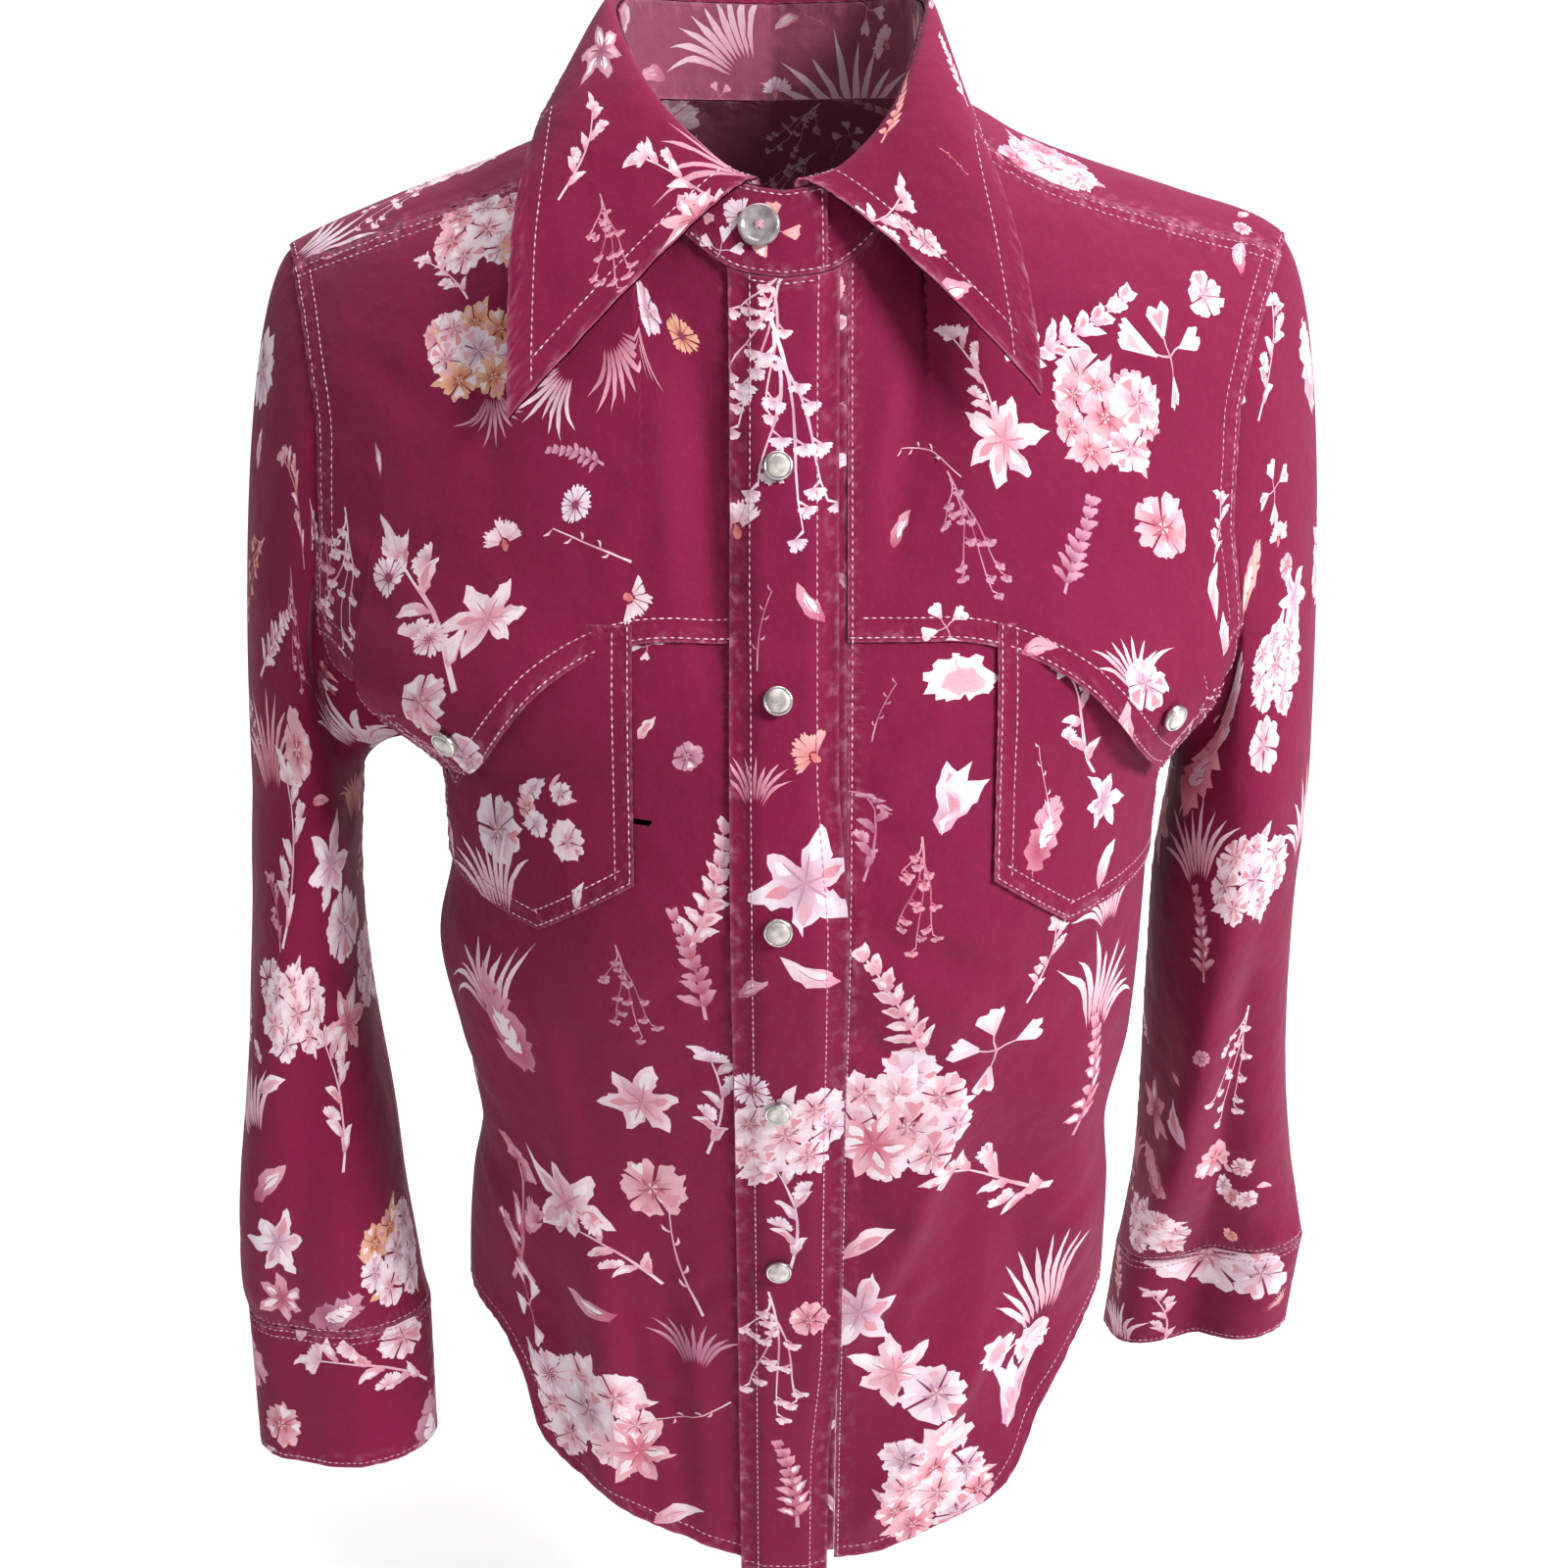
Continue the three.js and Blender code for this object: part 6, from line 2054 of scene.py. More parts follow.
@dataclass
class CollarBand:
    """The collar stand and the collar with its two leaves."""

    stand_wall: float = 1.5
    overlap_lift: float = 2.1
    stand_end_x: float = 15
    roll: float = 5
    foot_gap: float = 0.5
    start_x: dict[str, float] = field(default_factory=lambda: {"right": 9.0, "left": 4.0})

    def stand(self) -> Panel:
        """The band on the neck seam, its ends overlapping at the front."""
        end_turn = float(NECKLINE.turn_at(self.stand_end_x))
        total = 360 + 2 * end_turn

        def surface(u: Array, v: Array, out: Array | float) -> Array:
            """The stand's points."""
            angle = total * u - end_turn
            turned = np.where(angle > 180, 360 - angle, angle)
            sign = np.where((angle < 0) | ((angle > 180) & (angle < 360)), -1.0, 1.0)
            over = smoothstep(u, 0.75, 0.94) * self.overlap_lift
            return NECKLINE.stand(np.abs(turned), sign, v, over + out)

        rows = (StitchRow(Edge.TOP, 1.6), StitchRow(Edge.BOTTOM, 1.6), StitchRow(Edge.OUTER, 1.8))
        return Panel(
            "collar_stand", surface, outer=self.stand_wall, thickness=1.2, ripple=0.12, rows=rows, small_motifs=6,
            inside_motifs=10,
        )

    def collar(self) -> Panel:
        """The collar, which rolls over from the stand and falls to its edge on each side."""
        curves = {
            side: {column: Curve(rows, "along", column) for column in CollarRow._fields[1:]}
            for side, rows in COLLARS.items()
        }

        def surface(u: Array, v: Array, out: Array | float) -> Array:
            """The collar's points."""
            right = u < 0.5
            sign = np.where(right, -1.0, 1.0)
            share = 1 - np.abs(2 * u - 1)
            edge = {
                column: np.where(right, curves["right"][column](share), curves["left"][column](share))
                for column in CollarRow._fields[1:]
            }
            starts = {side: float(NECKLINE.turn_at(x)) for side, x in self.start_x.items()}
            turn = lerp(np.where(right, starts["right"], starts["left"]), 180, share)
            foot = NECKLINE.stand(turn, sign, 1, self.overlap_lift + self.stand_wall / 2)
            foot = foot + [0.0, 0.0, self.foot_gap]
            target = np.stack([edge["x"], edge["y"], edge["z"]], axis=-1)
            flat = (target - foot) * [1.0, 1.0, 0.0]
            across = flat / np.maximum(np.linalg.norm(flat, axis=-1, keepdims=True), 1e-9)
            reach = np.sum((target - foot) * across, axis=-1)
            fall = target[..., 2] - foot[..., 2]
            length = np.hypot(reach, fall)
            bow = 2 * edge["arch"]
            zero = np.zeros_like(reach)
            controls = (
                (zero, zero),
                (zero, zero + 2 * self.roll),
                (0.4 * reach - bow * fall / length, 0.4 * fall + bow * reach / length),
                (reach, fall),
            )
            t = np.clip(np.power(v, 1.3), 0.001, 0.999)
            weights = ((1 - t) ** 3, 3 * t * (1 - t) ** 2, 3 * t * t * (1 - t), t**3)
            slopes = (-3 * (1 - t) ** 2, 3 * (1 - t) * (1 - 3 * t), 3 * t * (2 - 3 * t), 3 * t * t)
            ahead = sum(w * c[0] for w, c in zip(weights, controls))
            rise = sum(w * c[1] for w, c in zip(weights, controls))
            d_ahead = sum(w * c[0] for w, c in zip(slopes, controls))
            d_rise = sum(w * c[1] for w, c in zip(slopes, controls))
            size = np.maximum(np.hypot(d_ahead, d_rise), 1e-9)
            ahead = ahead - d_rise / size * out
            rise = rise + d_ahead / size * out
            return foot + across * ahead[..., None] + np.stack([zero, zero, rise], axis=-1)

        rows = (
            StitchRow(Edge.BOTTOM, 7.5, 0.035, 0.965),
            StitchRow(Edge.INNER, 7.5, 0.06, 0.92),
            StitchRow(Edge.OUTER, 7.5, 0.06, 0.92),
        )
        return Panel(
            "collar", surface, step=3, thickness=1.1, ripple=0.18, rows=rows, sprays=PRINT["collar"],
            big_motifs=1, small_motifs=3, inside_motifs=12,
        )


@dataclass
class SnapCaps:
    """The pearl snaps: a silver rim round a domed cap."""

    diameter: float = 10.5
    height: float = 3.4
    pitch: float = 81
    first_drop: float = 84
    count: int = 5
    x: float = -2
    placket_lift: float = 6.2
    flap_lift: float = 10.8
    flap_places: dict[str, tuple[float, float]] = field(
        default_factory=lambda: {"right": (-118.0, -217.0), "left": (137.0, -211.0)}
    )
    sides: int = 56

    def closure_z(self, length: float) -> float:
        """Height of the closure at a length of cloth below the collar button."""
        z = float(NECKLINE.at["z"](0)) + NECKLINE.stand_front * 0.55
        top = float(NECKLINE.at["z"](0))
        done = 0.0
        front = FORM.section["front"]
        while done < length:
            slope = 0.0 if z > top else float(front(z)) - float(front(z - 1))
            done += math.hypot(1, slope)
            z -= 1
        return z

    @staticmethod
    def seat(x: float, z: float, lift: float) -> tuple[Array, Array]:
        """A point on the front cloth at a lift, and its normal."""
        turn, run = FORM.place(np.array([x]), np.array([z]), True)
        low = FORM.lifted(turn, run, lift)[0]
        high = FORM.lifted(turn, run, lift + 1)[0]
        return low, (high - low) / np.linalg.norm(high - low)

    def seats(self) -> dict[str, tuple[Array, Array]]:
        """Where each snap stands."""
        found = {
            f"placket_snap_{i + 1}": self.seat(
                self.x, self.closure_z(self.first_drop + i * self.pitch), self.placket_lift
            )
            for i in range(self.count)
        }
        for side, (x, z) in self.flap_places.items():
            found["flap_snap_" + side] = self.seat(x, z, self.flap_lift)
        return found

    def build(self, name: str, seat: tuple[Array, Array], finishes: Sequence[bpy.types.Material]) -> bpy.types.Object:
        """Makes one snap.

        Args:
            name: its solid's name.
            seat: the middle of its foot, and its normal.
            finishes: the materials of the rim and the cap.

        Returns:
            The snap's object.
        """
        r, h = self.diameter / 2, self.height
        rim = [(0, 0), (r - 0.5, 0), (r - 0.1, 0.3), (r, h * 0.42), (r - 0.12, h * 0.62), (r - 0.5, h * 0.76)]
        rim += [(r - 0.9, h * 0.74), (r - 1.05, h * 0.62)]
        cap = [(r - 1.0, h * 0.64), (r - 1.2, h * 0.8), (r * 0.56, h * 0.93), (r * 0.28, h * 0.985), (0, h)]
        return lathe(name + "_cap", (rim, cap), self.sides, seat, finishes)


def lathe(
    name: str,
    profiles: Sequence[Sequence[tuple[float, float]]],
    sides: int,
    seat: tuple[Array, Array],
    finishes: Sequence[bpy.types.Material],
) -> bpy.types.Object:
    """A round body turned from joined profiles, one material each, standing on a seat.

    Args:
        name: the object's name.
        profiles: radius and height along each profile.
        sides: how many sides it has.
        seat: the middle of its foot, and its normal.
        finishes: the profiles' materials.

    Returns:
        The object.
    """
    path = [point for profile in profiles for point in profile]
    slots = [k for k, profile in enumerate(profiles) for _ in profile]
    turn = Vector((0, 0, 1)).rotation_difference(Vector(seat[1])).to_matrix()
    vertices: list[Vector] = []
    rings: list[list[int]] = []
    for radius, height in path:
        ring = []
        for i in range(sides if radius > 0 else 1):
            angle = 2 * math.pi * i / sides
            point = turn @ Vector((radius * math.cos(angle), radius * math.sin(angle), height))
            ring.append(len(vertices))
            vertices.append((Vector(seat[0]) + point) * MM)
        rings.append(ring)
    faces, materials = [], []
    for k, (low, high) in enumerate(zip(rings[:-1], rings[1:])):
        for i in range(sides):
            j = (i + 1) % sides
            if len(low) == 1:
                faces.append((low[0], high[j], high[i]))
            elif len(high) == 1:
                faces.append((low[i], low[j], high[0]))
            else:
                faces.append((low[i], low[j], high[j], high[i]))
            materials.append(slots[k + 1])
    mesh = bpy.data.meshes.new(name)
    mesh.from_pydata(vertices, [], faces)
    for finish in finishes:
        mesh.materials.append(finish)
    mesh.polygons.foreach_set("material_index", materials)
    mesh.polygons.foreach_set("use_smooth", [True] * len(faces))
    piece = bpy.data.objects.new(name, mesh)
    bpy.context.collection.objects.link(piece)
    return piece


@dataclass
class NeckButton:
    """The collar's button: a rim round a dished middle, with crossed threads over it."""

    diameter: float = 15
    height: float = 2.6
    x: float = -8.5
    share: float = 0.55
    lift: float = 3.9
    sides: int = 64

    def seat(self) -> tuple[Array, Array]:
        """Where the button stands on the collar stand."""
        turn = NECKLINE.turn_at(np.array([self.x]))
        low = NECKLINE.stand(turn, np.array([-1.0]), self.share, self.lift)[0]
        high = NECKLINE.stand(turn, np.array([-1.0]), self.share, self.lift + 1)[0]
        normal = high - low
        normal[2] = (NECKLINE.slope + NECKLINE.lean) / NECKLINE.stand_front
        return low, normal / np.linalg.norm(normal)

    def build(self, finish: bpy.types.Material) -> bpy.types.Object:
        """Makes the button."""
        r, h = self.diameter / 2, self.height
        profile = [(0, 0), (r - 0.9, 0), (r - 0.2, 0.3), (r, h * 0.45), (r - 0.15, h * 0.75), (r - 0.6, h * 0.97)]
        profile += [(r - 1.1, h), (r - 1.7, h * 0.93), (r - 2.3, h * 0.72), (r * 0.45, h * 0.64), (0, h * 0.62)]
        return lathe("collar_button_disc", (profile,), self.sides, self.seat(), (finish,))

    def thread(self, finish: bpy.types.Material) -> bpy.types.Object:
        """Makes the crossed threads that hold it."""
        point, normal = self.seat()
        turn = Vector((0, 0, 1)).rotation_difference(Vector(normal)).to_matrix()
        vertices: list[Vector] = []
        faces: list[tuple[int, ...]] = []
        top = self.height * 0.66
        for angle, offset in ((45, -0.35), (45, 0.35), (135, -0.35), (135, 0.35)):
            spin = Matrix.Rotation(math.radians(angle), 3, "Z")
            first = len(vertices)
            for i in range(7):
                t = i / 6
                rise = top + 0.75 * math.sin(math.pi * t)
                for dy, dz in ((-0.3, 0.0), (0.3, 0.0), (0.0, 0.35), (0.0, -0.3)):
                    local = spin @ Vector((-1.9 + 3.8 * t, offset + dy, rise + dz))
                    vertices.append((Vector(point) + turn @ local) * MM)
            for i in range(6):
                a = first + 4 * i
                for one, two in ((0, 2), (2, 1), (1, 3), (3, 0)):
                    faces.append((a + one, a + two, a + two + 4, a + one + 4))
            faces.append((first, first + 3, first + 1, first + 2))
            faces.append((first + 24, first + 26, first + 25, first + 27))
        mesh = bpy.data.meshes.new("collar_button_thread")
        mesh.from_pydata(vertices, [], faces)
        mesh.materials.append(finish)
        mesh.polygons.foreach_set("use_smooth", [True] * len(faces))
        piece = bpy.data.objects.new("collar_button_thread", mesh)
        bpy.context.collection.objects.link(piece)
        return piece


M = Motif
I = Ink
PRINT: dict[str, tuple[Spray, ...]] = {
    "front_yoke_right": (
        Spray(M.CLUSTER, 496, 236, 46, 10, I.PINK),
        Spray(M.BLOSSOM, 530, 252, 20, 20, I.PEACH),
        Spray(M.SPRIG, 450, 288, 30, 60, I.PALE),
        Spray(M.BLOSSOM, 454, 342, 22, 0, I.PINK),
        Spray(M.CLUSTER, 488, 358, 44, 0, I.PEACH),
        Spray(M.FAN, 505, 426, 24, 190, I.MAUVE),
        Spray(M.FAN, 556, 404, 34, 140, I.PALE),
        Spray(M.FAN, 640, 376, 38, 215, I.ROSE),
        Spray(M.BLOSSOM, 662, 316, 28, 20, I.LILAC),
        Spray(M.DAISY, 694, 344, 20, 0, I.PEACH),
        Spray(M.LEAF, 342, 240, 18, 30, I.PALE),
        Spray(M.LEAF, 290, 270, 20, 70, I.ROSE),
        Spray(M.SPRIG, 420, 640, 66, 42, I.PALE),
        Spray(M.TWIG, 606, 548, 50, 160, I.PALE),
        Spray(M.DAISY, 585, 515, 17, 0, I.LILAC),
        Spray(M.SIDE_DAISY, 516, 555, 18, 20, I.PALE),
        Spray(M.DAISY, 395, 592, 18, 0, I.LILAC),
        Spray(M.LILY, 498, 629, 34, 10, I.PALE),
        Spray(M.SIDE_DAISY, 643, 608, 20, 250, I.PALE),
        Spray(M.DAISY, 441, 655, 15, 0, I.PALE),
        Spray(M.VINE, 318, 560, 62, 5, I.ROSE),
        Spray(M.VINE, 352, 590, 60, 350, I.PALE),
        Spray(M.BLOSSOM, 430, 716, 26, 15, I.PALE),
        Spray(M.BLOSSOM, 478, 776, 24, 60, I.LILAC),
        Spray(M.FERN, 590, 470, 30, 80, I.MAUVE),
        Spray(M.LEAF, 388, 470, 18, 120, I.MAUVE),
    ),
    "pocket_right": (
        Spray(M.BLOSSOM, 508, 846, 34, 0, I.LILAC),
        Spray(M.CLUSTER, 556, 824, 30, 0, I.PINK),
        Spray(M.BLOSSOM, 580, 858, 18, 20, I.PALE),
        Spray(M.LEAF, 591, 915, 13, 70, I.LILAC),
        Spray(M.FAN, 500, 890, 44, 20, I.PALE),
        Spray(M.LEAF, 462, 860, 20, 100, I.PINK),
    ),
    "front_right": (
        Spray(M.FAN, 490, 990, 44, 10, I.PALE),
        Spray(M.PLUME, 520, 1050, 46, 20, I.ROSE),
        Spray(M.FERN, 476, 1100, 34, 350, I.MAUVE),
        Spray(M.TREFOIL, 660, 658, 13, 0, I.PALE),
        Spray(M.LEAF, 661, 747, 14, 60, I.PALE),
        Spray(M.FERN, 712, 910, 56, 350, I.PALE),
        Spray(M.FERN, 700, 990, 46, 20, I.ROSE),
        Spray(M.LILY, 654, 1122, 42, 10, I.PALE),
        Spray(M.SPRIG, 720, 1128, 50, 0, I.LILAC),
        Spray(M.LILY, 575, 1228, 42, 40, I.PALE),
        Spray(M.BLOSSOM, 666, 1212, 32, 0, I.PINK),
        Spray(M.SPRIG, 620, 1290, 52, 60, I.PALE),
        Spray(M.TWIG, 700, 1290, 60, 100, I.PALE),
        Spray(M.LEAF, 600, 1330, 26, 160, I.ROSE),
        Spray(M.SPRIG, 516, 1240, 66, 350, I.ROSE),
        Spray(M.CLUSTER, 600, 1440, 60, 0, I.PALE),
        Spray(M.DAISY, 560, 1400, 24, 0, I.LILAC),
        Spray(M.LILY, 650, 1480, 36, 0, I.PINK),
        Spray(M.TWIG, 705, 1440, 40, 200, I.PALE),
        Spray(M.BLOSSOM, 700, 770, 16, 0, I.MAUVE),
        Spray(M.VINE, 640, 1010, 46, 10, I.MAUVE),
        Spray(M.FAN, 710, 1370, 30, 0, I.MAUVE),
        Spray(M.LEAF, 690, 1550, 24, 20, I.PALE),
        Spray(M.TREFOIL, 540, 1330, 22, 0, I.PALE),
    ),
    "snap_placket": (
        Spray(M.VINE, 775, 350, 72, 350, I.PALE),
        Spray(M.VINE, 805, 440, 90, 10, I.LILAC),
        Spray(M.SIDE_DAISY, 752, 540, 22, 20, I.PALE),
        Spray(M.LEAF, 828, 610, 20, 120, I.ROSE),
        Spray(M.TWIG, 780, 650, 34, 80, I.MAUVE),
        Spray(M.LILY, 822, 900, 50, 20, I.LILAC),
        Spray(M.LEAF, 828, 992, 30, 150, I.PALE),
        Spray(M.FAN, 770, 800, 26, 0, I.ROSE),
        Spray(M.CLUSTER, 800, 1160, 52, 0, I.PALE),
        Spray(M.SPRIG, 795, 1245, 52, 10, I.LILAC),
        Spray(M.DAISY, 766, 1110, 20, 0, I.LILAC),
        Spray(M.VINE, 790, 1385, 66, 5, I.PALE),
        Spray(M.BLOSSOM, 826, 1350, 20, 0, I.PINK),
        Spray(M.FERN, 800, 1520, 44, 15, I.ROSE),
        Spray(M.LEAF, 770, 1010, 18, 30, I.MAUVE),
    ),
    "front_yoke_left": (
        Spray(M.FERN, 1074, 336, 58, 300, I.LILAC),
        Spray(M.SPRIG, 994, 398, 46, 30, I.PALE),
        Spray(M.TWIG, 944, 452, 36, 170, I.PALE),
        Spray(M.LILY, 1025, 450, 46, 15, I.PALE),
        Spray(M.BLOSSOM, 1102, 382, 28, 0, I.PALE),
        Spray(M.CLUSTER, 1124, 428, 50, 0, I.PINK),
        Spray(M.BLOSSOM, 1160, 410, 26, 20, I.PALE),
        Spray(M.TREFOIL, 1194, 366, 40, 0, I.PALE),
        Spray(M.BLOSSOM, 1188, 540, 28, 10, I.PINK),
        Spray(M.SPRIG, 1238, 540, 28, 0, I.PALE),
        Spray(M.LEAF, 1240, 612, 32, 80, I.PALE),
        Spray(M.LEAF, 1252, 650, 26, 110, I.LILAC),
        Spray(M.FAN, 1154, 672, 26, 10, I.PALE),
        Spray(M.BLOSSOM, 1172, 698, 20, 0, I.LILAC),
        Spray(M.LEAF, 1152, 748, 28, 95, I.PINK),
        Spray(M.TREFOIL, 966, 642, 20, 20, I.PALE),
        Spray(M.LEAF, 1062, 662, 20, 10, I.ROSE),
        Spray(M.VINE, 990, 540, 54, 20, I.MAUVE),
        Spray(M.FERN, 1090, 560, 44, 340, I.MAUVE),
        Spray(M.BLOSSOM, 1230, 300, 22, 0, I.PALE),
        Spray(M.LEAF, 1270, 262, 20, 60, I.ROSE),
        Spray(M.LEAF, 920, 540, 20, 60, I.ROSE),
    ),
    "pocket_left": (
        Spray(M.SPRIG, 1090, 748, 52, 20, I.PALE),
        Spray(M.LILY, 1126, 816, 26, 0, I.LILAC),
        Spray(M.PLUME, 1064, 854, 36, 330, I.ROSE),
        Spray(M.LEAF, 1130, 880, 22, 60, I.PALE),
        Spray(M.TWIG, 1070, 800, 34, 100, I.PALE),
    ),
    "front_left": (
        Spray(M.FAN, 1130, 912, 32, 10, I.PALE),
        Spray(M.ROUND, 981, 690, 29, 0, I.LILAC),
        Spray(M.TULIP, 970, 818, 36, 340, I.LILAC),
        Spray(M.FERN, 912, 1044, 62, 30, I.PALE),
        Spray(M.BLOSSOM, 930, 1097, 26, 0, I.LILAC),
        Spray(M.CLUSTER, 924, 1148, 62, 0, I.PALE),
        Spray(M.LILY, 890, 1170, 40, 0, I.PINK),
        Spray(M.TREFOIL, 1016, 1070, 40, 0, I.LILAC),
        Spray(M.SPRIG, 1016, 1222, 62, 60, I.PALE),
        Spray(M.FAN, 1130, 998, 48, 340, I.PALE),
        Spray(M.FERN, 1108, 1108, 52, 10, I.ROSE),
        Spray(M.FAN, 1064, 1308, 44, 30, I.PALE),
        Spray(M.ROUND, 1018, 1382, 20, 0, I.LILAC),
        Spray(M.ROUND, 1050, 1370, 18, 0, I.PALE),
        Spray(M.TULIP, 1030, 1430, 32, 0, I.LILAC),
        Spray(M.BLOSSOM, 956, 1420, 32, 0, I.LILAC),
        Spray(M.ROUND, 962, 1470, 28, 0, I.PALE),
        Spray(M.BLOSSOM, 925, 1490, 24, 30, I.LILAC),
        Spray(M.CLUSTER, 956, 1524, 54, 0, I.PINK),
        Spray(M.LILY, 876, 1340, 42, 10, I.LILAC),
        Spray(M.LILY, 914, 1400, 38, 40, I.PALE),
        Spray(M.VINE, 940, 920, 50, 0, I.ROSE),
        Spray(M.TWIG, 905, 730, 34, 70, I.MAUVE),
        Spray(M.LEAF, 890, 1270, 26, 30, I.PALE),
        Spray(M.SPRIG, 880, 850, 40, 0, I.MAUVE),
        Spray(M.SPRIG, 1060, 985, 34, 350, I.PALE),
    ),
    "sleeve_left": (
        Spray(M.SPRIG, 1290, 366, 54, 350, I.PALE),
        Spray(M.LILY, 1320, 608, 28, 0, I.LILAC),
        Spray(M.CLUSTER, 1304, 682, 44, 0, I.LILAC),
        Spray(M.BLOSSOM, 1290, 760, 26, 0, I.PALE),
        Spray(M.PLUME, 1224, 785, 60, 350, I.PINK),
        Spray(M.CLUSTER, 1280, 900, 54, 0, I.PALE),
        Spray(M.VINE, 1258, 1082, 66, 0, I.PALE),
        Spray(M.LEAF, 1201, 1148, 26, 100, I.LILAC),
        Spray(M.CLUSTER, 1168, 1258, 42, 0, I.PALE),
        Spray(M.BLOSSOM, 1240, 1180, 28, 0, I.PINK),
        Spray(M.FERN, 1220, 960, 44, 10, I.ROSE),
        Spray(M.TREFOIL, 1300, 500, 26, 0, I.PALE),
        Spray(M.FAN, 1150, 1160, 36, 10, I.ROSE),
    ),
    "cuff_left": (
        Spray(M.BLOSSOM, 1230, 1280, 36, 0, I.PALE),
        Spray(M.BLOSSOM, 1288, 1300, 30, 0, I.LILAC),
        Spray(M.FAN, 1139, 1345, 24, 20, I.PALE),
        Spray(M.SPRIG, 1180, 1350, 30, 20, I.PALE),
    ),
    "sleeve_right": (
        Spray(M.LEAF, 266, 458, 18, 80, I.PALE),
        Spray(M.FAN, 345, 738, 56, 10, I.PALE),
        Spray(M.SPRIG, 291, 880, 72, 0, I.PALE),
        Spray(M.BLOSSOM, 350, 940, 40, 0, I.LILAC),
        Spray(M.SPRIG, 278, 938, 32, 30, I.ROSE),
        Spray(M.DAISY, 276, 998, 22, 0, I.PALE),
        Spray(M.CLUSTER, 304, 1040, 52, 0, I.PALE),
        Spray(M.LILY, 358, 1046, 36, 0, I.PINK),
        Spray(M.LEAF, 278, 1114, 22, 20, I.PALE),
        Spray(M.SPRIG, 336, 1134, 60, 10, I.PALE),
        Spray(M.LEAF, 277, 1212, 30, 40, I.ROSE),
        Spray(M.LILY, 282, 1270, 38, 0, I.LILAC),
        Spray(M.CLUSTER, 404, 1280, 50, 0, I.PEACH),
        Spray(M.VINE, 300, 640, 50, 0, I.ROSE),
    ),
    "cuff_right": (
        Spray(M.BLOSSOM, 410, 1365, 22, 0, I.PALE),
        Spray(M.SPRIG, 388, 1412, 52, 70, I.PALE),
        Spray(M.LEAF, 314, 1348, 14, 60, I.LILAC),
        Spray(M.BLOSSOM, 286, 1454, 22, 0, I.PINK),
    ),
    "collar": (
        Spray(M.SPRIG, 585, 152, 42, 350, I.PALE),
        Spray(M.SPRIG, 700, 205, 52, 60, I.PALE),
        Spray(M.LILY, 735, 250, 34, 0, I.PINK),
        Spray(M.VINE, 620, 250, 46, 20, I.ROSE),
        Spray(M.SPRIG, 870, 220, 50, 300, I.PALE),
        Spray(M.CLUSTER, 930, 260, 40, 0, I.PINK),
        Spray(M.FERN, 972, 70, 38, 10, I.PALE),
        Spray(M.LEAF, 980, 300, 24, 30, I.ROSE),
    ),
    "back_yoke": (),
}


class NodeKit:
    """Adds nodes and links to a node tree."""

    def __init__(self, tree: bpy.types.NodeTree) -> None:
        """Keeps the tree."""
        self.tree = tree

    def node(self, kind: str, **values: object) -> bpy.types.Node:
        """A node with some of its properties set."""
        made = self.tree.nodes.new(kind)
        for name, value in values.items():
            setattr(made, name, value)
        return made

    def link(self, source: bpy.types.NodeSocket, target: bpy.types.NodeSocket) -> None:
        """Links two sockets."""
        self.tree.links.new(source, target)

    def noise(self, vector: bpy.types.NodeSocket, scale: float, detail: float = 2) -> bpy.types.NodeSocket:
        """Noise over a vector."""
        made = self.node("ShaderNodeTexNoise")
        made.inputs["Scale"].default_value = scale
        made.inputs["Detail"].default_value = detail
        self.link(vector, made.inputs["Vector"])
        return made.outputs["Fac"]

    def math(self, operation: str, first: object, second: object = 0.0, clamp: bool = False) -> bpy.types.NodeSocket:
        """A sum, product or the like of sockets or numbers."""
        made = self.node("ShaderNodeMath", operation=operation, use_clamp=clamp)
        for socket, value in zip(made.inputs, (first, second)):
            if isinstance(value, bpy.types.NodeSocket):
                self.link(value, socket)
            else:
                socket.default_value = value
        return made.outputs[0]

    def mix(self, share: object, first: object, second: object, blend: str = "MIX") -> bpy.types.NodeSocket:
        """A mix of two colours."""
        made = self.node("ShaderNodeMix", data_type="RGBA", blend_type=blend)
        for socket, value in ((made.inputs[0], share), (made.inputs[6], first), (made.inputs[7], second)):
            if isinstance(value, bpy.types.NodeSocket):
                self.link(value, socket)
            else:
                socket.default_value = value
        return made.outputs[2]

    def place(self, group: bpy.types.NodeTree, **values: float) -> bpy.types.Node:
        """A node group with some of its inputs set."""
        made = self.node("ShaderNodeGroup", node_tree=group)
        for name, value in values.items():
            made.inputs[name.replace("_", " ")].default_value = value
        return made


def new_group(name: str, inputs: dict[str, tuple[str, object]], outputs: dict[str, str]) -> tuple[NodeKit, dict, dict]:
    """A shader node group with named sockets.

    Args:
        name: the group's name.
        inputs: kind and first value of each input.
        outputs: kind of each output.

    Returns:
        The group's kit, its input sockets and its output sockets.
    """
    group = bpy.data.node_groups.new(name, "ShaderNodeTree")
    for label, (kind, value) in inputs.items():
        socket = group.interface.new_socket(label, in_out="INPUT", socket_type=kind)
        if value is not None:
            socket.default_value = value
    for label, kind in outputs.items():
        group.interface.new_socket(label, in_out="OUTPUT", socket_type=kind)
    kit = NodeKit(group)
    start, end = kit.node("NodeGroupInput"), kit.node("NodeGroupOutput")
    return kit, {s.name: s for s in start.outputs}, {s.name: s for s in end.inputs}


